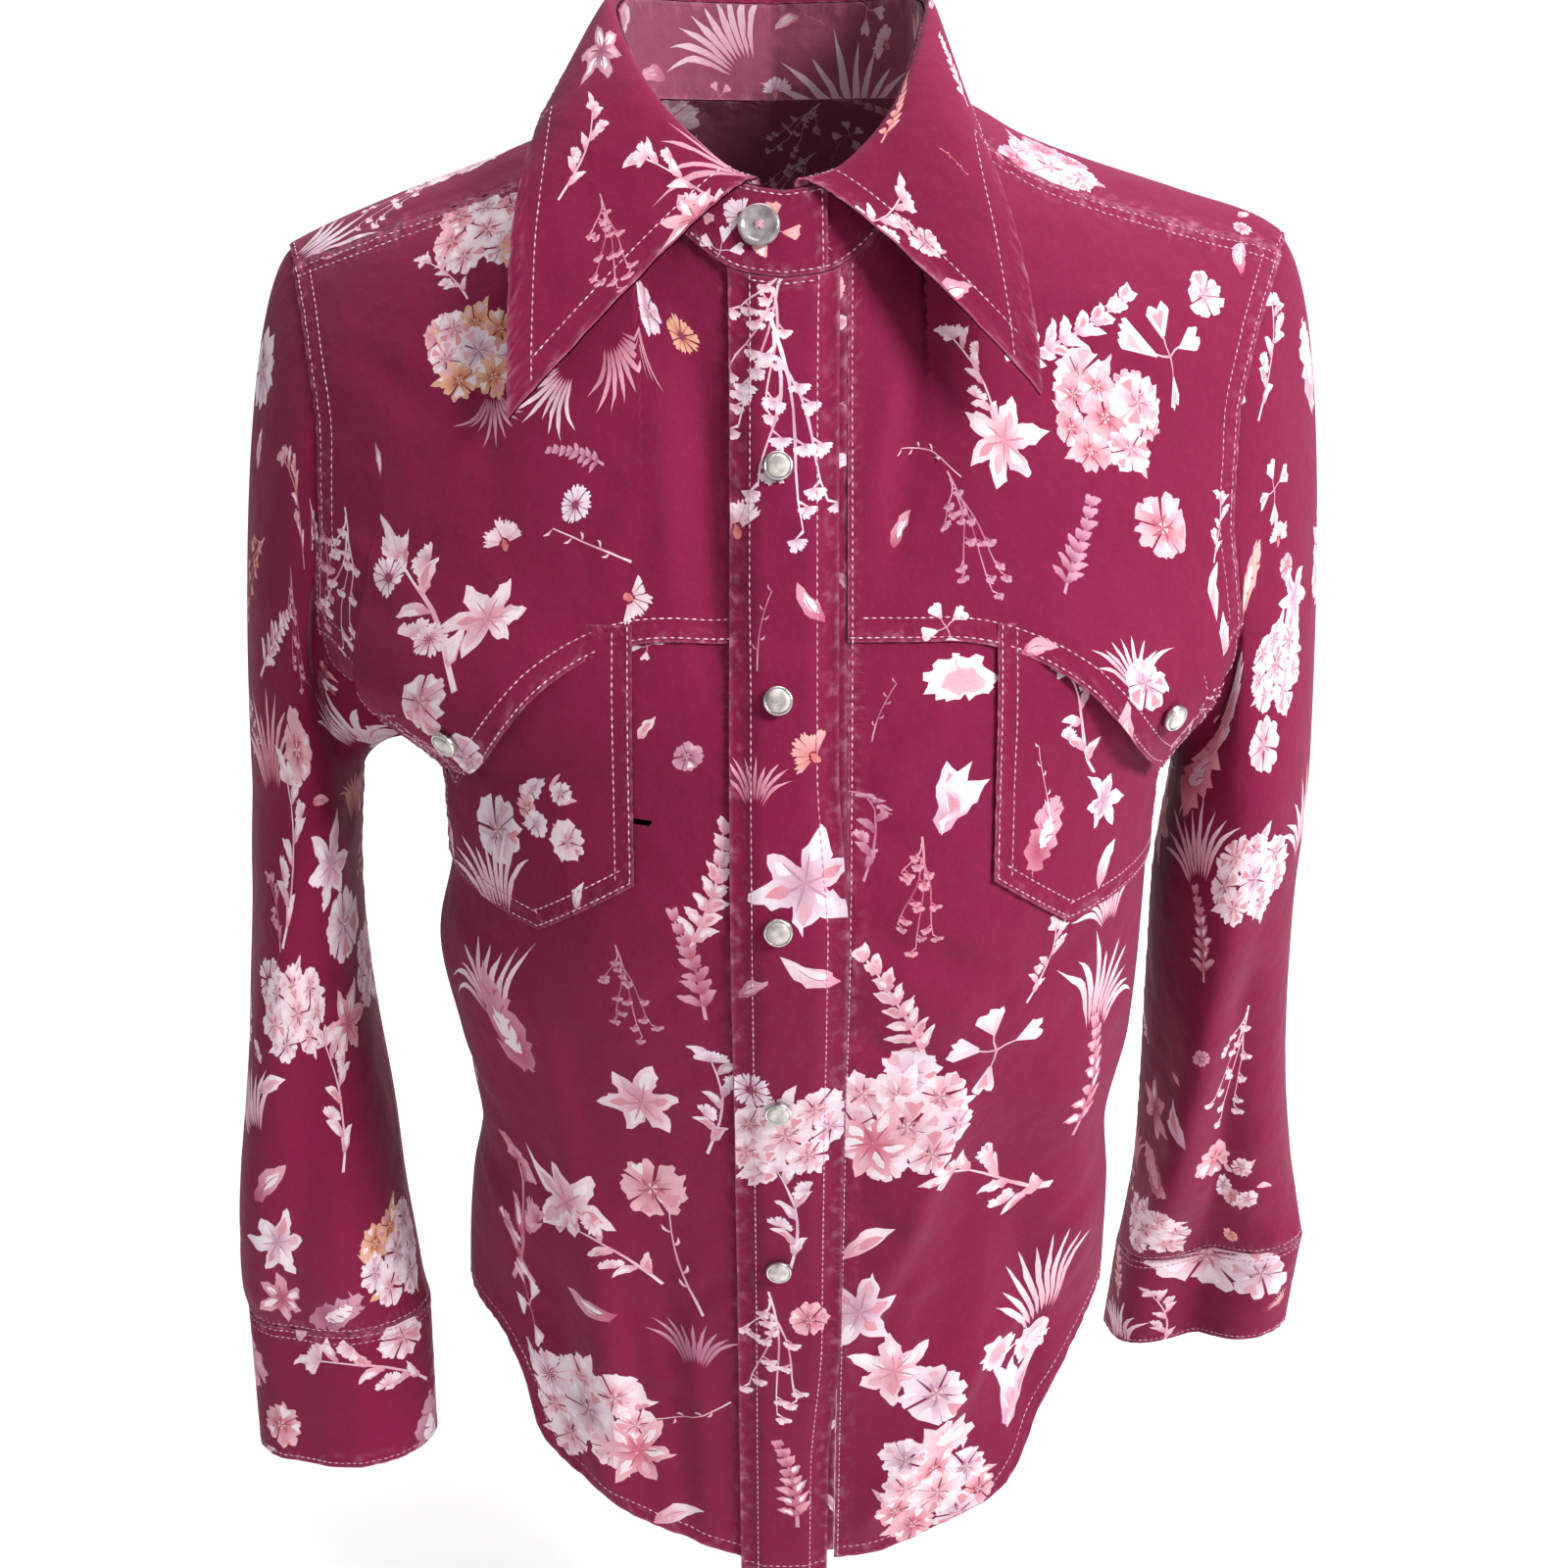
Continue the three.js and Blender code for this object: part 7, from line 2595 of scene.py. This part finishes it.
def woven_cotton() -> bpy.types.NodeTree:
    """The weave: crossed yarns with slubs, as a height, and as a tone that lightens the raised yarns."""
    kit, given, made = new_group(
        "WovenCotton",
        {"Cloth": ("NodeSocketVector", None), "Yarns": ("NodeSocketFloat", 1100.0), "Slub": ("NodeSocketFloat", 0.5)},
        {"Height": "NodeSocketFloat", "Tone": "NodeSocketFloat"},
    )
    parts = kit.node("ShaderNodeSeparateXYZ")
    kit.link(given["Cloth"], parts.inputs[0])
    warp = kit.math("SINE", kit.math("MULTIPLY", kit.math("MULTIPLY", parts.outputs[0], given["Yarns"]), 6.2832))
    weft = kit.math("SINE", kit.math("MULTIPLY", kit.math("MULTIPLY", parts.outputs[1], given["Yarns"]), 6.2832))
    crossed = kit.math("MULTIPLY", warp, weft)
    long_way = kit.node("ShaderNodeVectorMath", operation="MULTIPLY")
    kit.link(given["Cloth"], long_way.inputs[0])
    long_way.inputs[1].default_value = (1.0, 0.12, 1.0)
    cross_way = kit.node("ShaderNodeVectorMath", operation="MULTIPLY")
    kit.link(given["Cloth"], cross_way.inputs[0])
    cross_way.inputs[1].default_value = (0.12, 1.0, 1.0)
    slubs = kit.math("ADD", kit.noise(long_way.outputs[0], 900, 3), kit.noise(cross_way.outputs[0], 900, 3))
    slubs = kit.math("MULTIPLY", kit.math("SUBTRACT", slubs, 1.0), given["Slub"])
    kit.link(kit.math("ADD", kit.math("MULTIPLY", crossed, 0.25), slubs), made["Height"])
    kit.link(kit.math("ADD", kit.math("MULTIPLY", slubs, 1.6), 0.5, True), made["Tone"])
    return kit.tree


def washed_dye() -> bpy.types.NodeTree:
    """The washed dye: paler and darker patches, and yarns whose dye has gone."""
    kit, given, made = new_group(
        "WashedDye",
        {
            "Dye": ("NodeSocketColor", (0.2, 0.02, 0.05, 1.0)),
            "Place": ("NodeSocketVector", None),
            "Tone": ("NodeSocketFloat", 0.5),
            "Wear": ("NodeSocketFloat", 0.0),
            "Fading": ("NodeSocketFloat", 0.3),
        },
        {"Color": "NodeSocketColor"},
    )
    patches = kit.noise(given["Place"], 14, 3)
    flecks = kit.noise(given["Place"], 520, 2)
    darker = kit.mix(1.0, given["Dye"], (0.72, 0.66, 0.70, 1.0), "MULTIPLY")
    tone = kit.math("ADD", kit.math("MULTIPLY", patches, 0.55), kit.math("MULTIPLY", given["Tone"], 0.55), True)
    base = kit.mix(tone, darker, given["Dye"])
    lighter = kit.mix(0.34, base, (0.62, 0.30, 0.42, 1.0))
    faded = kit.math("MULTIPLY", kit.math("SUBTRACT", flecks, 0.5), 2.0, True)
    faded = kit.math("MULTIPLY", faded, given["Fading"])
    faded = kit.math("ADD", faded, given["Wear"], True)
    kit.link(kit.mix(faded, base, lighter), made["Color"])
    return kit.tree


def seam_pucker() -> bpy.types.NodeTree:
    """Puckers beside a seam: a height, and a mask where the raised cloth has worn pale."""
    kit, given, made = new_group(
        "SeamPucker",
        {
            "Cloth": ("NodeSocketVector", None),
            "Distance": ("NodeSocketFloat", 0.01),
            "Reach": ("NodeSocketFloat", 0.008),
        },
        {"Height": "NodeSocketFloat", "Wear": "NodeSocketFloat"},
    )
    near = kit.math("DIVIDE", given["Distance"], given["Reach"])
    near = kit.math("SUBTRACT", 1.0, near, True)
    waves = kit.noise(given["Cloth"], 190, 2)
    kit.link(kit.math("MULTIPLY", near, waves), made["Height"])
    edge = kit.math("SUBTRACT", 1.0, kit.math("DIVIDE", given["Distance"], 0.0016), True)
    ridges = kit.math("MULTIPLY", kit.math("SUBTRACT", waves, 0.48), 3.2, True)
    wear = kit.math("ADD", kit.math("MULTIPLY", edge, 0.8), kit.math("MULTIPLY", near, ridges), True)
    kit.link(kit.math("MULTIPLY", wear, kit.math("ADD", 0.35, ridges, True)), made["Wear"])
    return kit.tree


@dataclass(frozen=True)
class PrintedCotton:
    """The printed face of the cloth, or its paler reverse."""

    name: str = "printed_cotton"
    reverse: bool = False
    roughness: float = 0.86
    sheen: float = 0.06

    def make(self, groups: dict[str, bpy.types.NodeTree]) -> bpy.types.Material:
        """The material."""
        material = bpy.data.materials.new(self.name)
        material.use_nodes = True
        kit = NodeKit(material.node_tree)
        shader = material.node_tree.nodes["Principled BSDF"]
        shader.inputs["Sheen Weight"].default_value = self.sheen
        shader.inputs["Sheen Roughness"].default_value = 0.5
        shader.inputs["Specular IOR Level"].default_value = 0.12
        cloth = kit.node("ShaderNodeUVMap", uv_map="Cloth").outputs[0]
        place = kit.node("ShaderNodeTexCoord").outputs["Object"]
        ink = kit.node("ShaderNodeAttribute", attribute_name="Print").outputs["Color"]
        away = kit.node("ShaderNodeAttribute", attribute_name="SeamDistance").outputs["Fac"]
        weave = kit.place(groups["weave"], Yarns=900, Slub=0.6)
        kit.link(cloth, weave.inputs["Cloth"])
        pucker = kit.place(groups["pucker"], Reach=0.009)
        kit.link(cloth, pucker.inputs["Cloth"])
        kit.link(away, pucker.inputs["Distance"])
        dye = kit.place(groups["dye"], Fading=0.07)
        if self.reverse:
            ink = kit.mix(0.3, ink, (0.46, 0.2, 0.29, 1.0))
        kit.link(ink, dye.inputs["Dye"])
        kit.link(place, dye.inputs["Place"])
        kit.link(weave.outputs["Tone"], dye.inputs["Tone"])
        kit.link(pucker.outputs["Wear"], dye.inputs["Wear"])
        kit.link(dye.outputs["Color"], shader.inputs["Base Color"])
        rough = kit.math("ADD", self.roughness - 0.06, kit.math("MULTIPLY", weave.outputs["Tone"], 0.12), True)
        kit.link(rough, shader.inputs["Roughness"])
        crumple = kit.math("MULTIPLY", kit.noise(place, 75, 3), 1.9)
        crumple = kit.math("ADD", crumple, kit.math("MULTIPLY", kit.noise(place, 24, 2), 5.5))
        height = kit.math("ADD", crumple, kit.math("MULTIPLY", weave.outputs["Height"], 0.10))
        height = kit.math("ADD", height, kit.math("MULTIPLY", pucker.outputs["Height"], 1.4))
        bump = kit.node("ShaderNodeBump")
        bump.inputs["Strength"].default_value = 0.55
        bump.inputs["Distance"].default_value = 0.0011
        kit.link(height, bump.inputs["Height"])
        kit.link(bump.outputs[0], shader.inputs["Normal"])
        return material


@dataclass(frozen=True)
class TopThread:
    """The pale top stitching."""

    name: str = "top_thread"
    colour: tuple[float, float, float, float] = (0.82, 0.58, 0.66, 1.0)
    worn: tuple[float, float, float, float] = (0.55, 0.22, 0.32, 1.0)

    def make(self, groups: dict[str, bpy.types.NodeTree]) -> bpy.types.Material:
        """The material."""
        material = bpy.data.materials.new(self.name)
        material.use_nodes = True
        kit = NodeKit(material.node_tree)
        shader = material.node_tree.nodes["Principled BSDF"]
        shader.inputs["Sheen Weight"].default_value = 0.2
        shader.inputs["Specular IOR Level"].default_value = 0.3
        shader.inputs["Roughness"].default_value = 0.7
        place = kit.node("ShaderNodeTexCoord").outputs["Object"]
        share = kit.math("MULTIPLY", kit.math("SUBTRACT", kit.noise(place, 160, 2), 0.35), 2.6, True)
        twist = kit.place(groups["weave"], Yarns=1500, Slub=0.8)
        kit.link(place, twist.inputs["Cloth"])
        kit.link(kit.mix(share, self.worn, self.colour), shader.inputs["Base Color"])
        bump = kit.node("ShaderNodeBump")
        bump.inputs["Strength"].default_value = 0.5
        bump.inputs["Distance"].default_value = 0.0002
        kit.link(twist.outputs["Height"], bump.inputs["Height"])
        kit.link(bump.outputs[0], shader.inputs["Normal"])
        return material


@dataclass(frozen=True)
class HardFinish:
    """A shell, metal or plastic finish with soft clouding."""

    name: str
    light: tuple[float, float, float, float]
    dark: tuple[float, float, float, float]
    roughness: float
    metallic: float = 0.0
    coat: float = 0.0
    transmission: float = 0.0
    scale: float = 260

    def make(self) -> bpy.types.Material:
        """The material."""
        material = bpy.data.materials.new(self.name)
        material.use_nodes = True
        kit = NodeKit(material.node_tree)
        shader = material.node_tree.nodes["Principled BSDF"]
        shader.inputs["Metallic"].default_value = self.metallic
        shader.inputs["Transmission Weight"].default_value = self.transmission
        shader.inputs["Coat Weight"].default_value = self.coat
        shader.inputs["Coat Roughness"].default_value = 0.08
        place = kit.node("ShaderNodeTexCoord").outputs["Object"]
        cloud = kit.noise(place, self.scale, 3)
        share = kit.math("MULTIPLY", kit.math("SUBTRACT", cloud, 0.35), 3.0, True)
        kit.link(kit.mix(share, self.dark, self.light), shader.inputs["Base Color"])
        scuffs = kit.math("MULTIPLY", kit.noise(place, 1500, 2), 0.14)
        kit.link(kit.math("ADD", self.roughness - 0.07, scuffs, True), shader.inputs["Roughness"])
        bump = kit.node("ShaderNodeBump")
        bump.inputs["Strength"].default_value = 0.25
        bump.inputs["Distance"].default_value = 0.0002
        kit.link(cloud, bump.inputs["Height"])
        kit.link(bump.outputs[0], shader.inputs["Normal"])
        return material


PEARL_CAP = HardFinish("pearl_cap", (0.66, 0.60, 0.55, 1), (0.30, 0.25, 0.25, 1), 0.2, coat=1.0)
SILVER_RIM = HardFinish("silver_rim", (0.80, 0.78, 0.76, 1), (0.46, 0.44, 0.43, 1), 0.3, metallic=1.0)
CLEAR_BUTTON = HardFinish("clear_button", (0.52, 0.47, 0.48, 1), (0.28, 0.22, 0.24, 1), 0.16, coat=1.0, transmission=0.35)
FLOOR_PAPER = HardFinish("floor_paper", (0.93, 0.93, 0.93, 1), (0.90, 0.90, 0.90, 1), 0.8, scale=6)


@dataclass
class Studio:
    """A pale floor and backdrop, soft lights, and the photograph's camera."""

    floor_z: float = -0.76
    half_width: float = 5.0
    backdrop_y: float = 3.2
    world: float = 0.30

    def camera(self) -> None:
        """Sets up the camera."""
        data = bpy.data.cameras.new("photo_camera")
        data.lens = 36
        data.sensor_width = 36
        data.clip_start = 0.01
        camera = bpy.data.objects.new("photo_camera", data)
        camera.location = (0, -VIEW.distance * MM, VIEW.height * MM)
        camera.rotation_euler = (math.radians(90 - VIEW.pitch), 0, 0)
        bpy.context.collection.objects.link(camera)
        bpy.context.scene.camera = camera

    def floor(self) -> bpy.types.Object:
        """Makes the floor, which curves up into a backdrop."""
        profile = [(-4.0, 0.0), (2.0, 0.0)]
        profile += [(2.0 + 1.2 * math.sin(a), 1.2 * (1 - math.cos(a))) for a in np.linspace(0.1, math.pi / 2, 12)]
        profile.append((self.backdrop_y, 5.0))
        vertices = [(x, y, z + self.floor_z) for y, z in profile for x in (-self.half_width, self.half_width)]
        faces = [(2 * i, 2 * i + 1, 2 * i + 3, 2 * i + 2) for i in range(len(profile) - 1)]
        mesh = bpy.data.meshes.new("studio_floor")
        mesh.from_pydata(vertices, [], faces)
        mesh.polygons.foreach_set("use_smooth", [True] * len(faces))
        floor = bpy.data.objects.new("studio_floor", mesh)
        bpy.context.collection.objects.link(floor)
        mesh.materials.append(FLOOR_PAPER.make())
        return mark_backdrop(floor)

    @staticmethod
    def light(name: str, place: tuple[float, float, float], aim: tuple[float, float, float], size: float,
              power: float, colour: tuple[float, float, float] = (1.0, 1.0, 1.0)) -> None:
        """A soft square light that faces a point.

        Args:
            name: its name.
            place: where it stands, in metres.
            aim: the point.
            size: its side in metres.
            power: its power in watts.
            colour: its colour.
        """
        data = bpy.data.lights.new(name, "AREA")
        data.size = size
        data.energy = power
        data.color = colour
        lamp = bpy.data.objects.new(name, data)
        lamp.location = place
        lamp.rotation_euler = (Vector(aim) - Vector(place)).to_track_quat("-Z", "Y").to_euler()
        bpy.context.collection.objects.link(lamp)

    def build(self) -> None:
        """Sets up the studio."""
        scene = bpy.context.scene
        scene.view_settings.view_transform = "Standard"
        world = bpy.data.worlds.new("studio")
        world.use_nodes = True
        world.node_tree.nodes["Background"].inputs["Color"].default_value = (1, 1, 1, 1)
        world.node_tree.nodes["Background"].inputs["Strength"].default_value = self.world
        scene.world = world
        self.floor()
        self.light("key", (1.25, -0.95, 0.7), (0.0, 0.0, -0.25), 0.55, 44)
        self.light("fill", (-1.6, -1.6, 0.2), (0.0, 0.0, -0.3), 1.4, 2.5)
        self.light("top", (0.3, -0.1, 1.7), (0.0, 0.0, -0.1), 0.9, 12)
        self.light("backdrop", (0.0, 1.2, 2.6), (0.0, 3.0, 0.0), 2.5, 110)


@dataclass
class Shirt:
    """The whole shirt: its panels, stitching, snaps and button."""

    closure: Closure = field(default_factory=Closure)
    tailor: Tailor = field(default_factory=Tailor)

    def panels(self) -> list[Panel]:
        """All the cut pieces, in order."""
        fronts, yokes = Fronts(self.closure), FrontYokes(self.closure)
        pockets, sleeves, band, backs = Pockets(), Sleeves(), CollarBand(), Backs()
        pieces = []
        for side in SIGNS:
            pieces += [fronts.panel(side), yokes.panel(side), pockets.panel(side), sleeves.sleeve(side)]
            pieces.append(sleeves.cuff(side))
        pieces += [backs.back(), backs.yoke(), self.closure.under_placket(), self.closure.snap_placket()]
        return pieces + [band.stand(), band.collar()]

    def build(self) -> None:
        """Builds and dresses every piece."""
        groups = {"weave": woven_cotton(), "dye": washed_dye(), "pucker": seam_pucker()}
        face = PrintedCotton().make(groups)
        reverse = PrintedCotton("cotton_reverse", True).make(groups)
        thread = TopThread().make(groups)
        for panel in self.panels():
            piece = self.tailor.cut(panel, (face, reverse))
            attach(piece, "root")
            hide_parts(panel.name)
            sewn = self.tailor.stitch(panel, thread)
            if sewn:
                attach(sewn, "root")
            flat = (panel.width * MM, panel.length * MM)
            LOG.info("%s: %d faces, cut %.0f by %.0f mm", panel.name, len(piece.data.polygons), *np.array(flat) / MM)
        self.fasteners(thread)

    def fasteners(self, thread: bpy.types.Material) -> None:
        """Builds the snaps and the collar button."""
        snaps = SnapCaps()
        finishes = (SILVER_RIM.make(), PEARL_CAP.make())
        for name, seat in snaps.seats().items():
            cap = snaps.build(name, seat, finishes)
            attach(cap, "root")
            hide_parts(name)
        button = NeckButton()
        disc = button.build(CLEAR_BUTTON.make())
        sewing = button.thread(thread)
        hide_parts("collar_button")
        for piece in (disc, sewing):
            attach(piece, "root")
        LOG.info("snaps: %d, and the collar button", len(snaps.seats()))


def main() -> None:
    """Builds the studio and the shirt."""
    logging.basicConfig(level=logging.INFO, format="%(name)s: %(message)s")
    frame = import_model()
    LOG.info("nodes: %d", len(frame["nodes"]))
    studio = Studio()
    studio.camera()
    studio.build()
    Shirt().build()


if __name__ == "__main__":
    main()
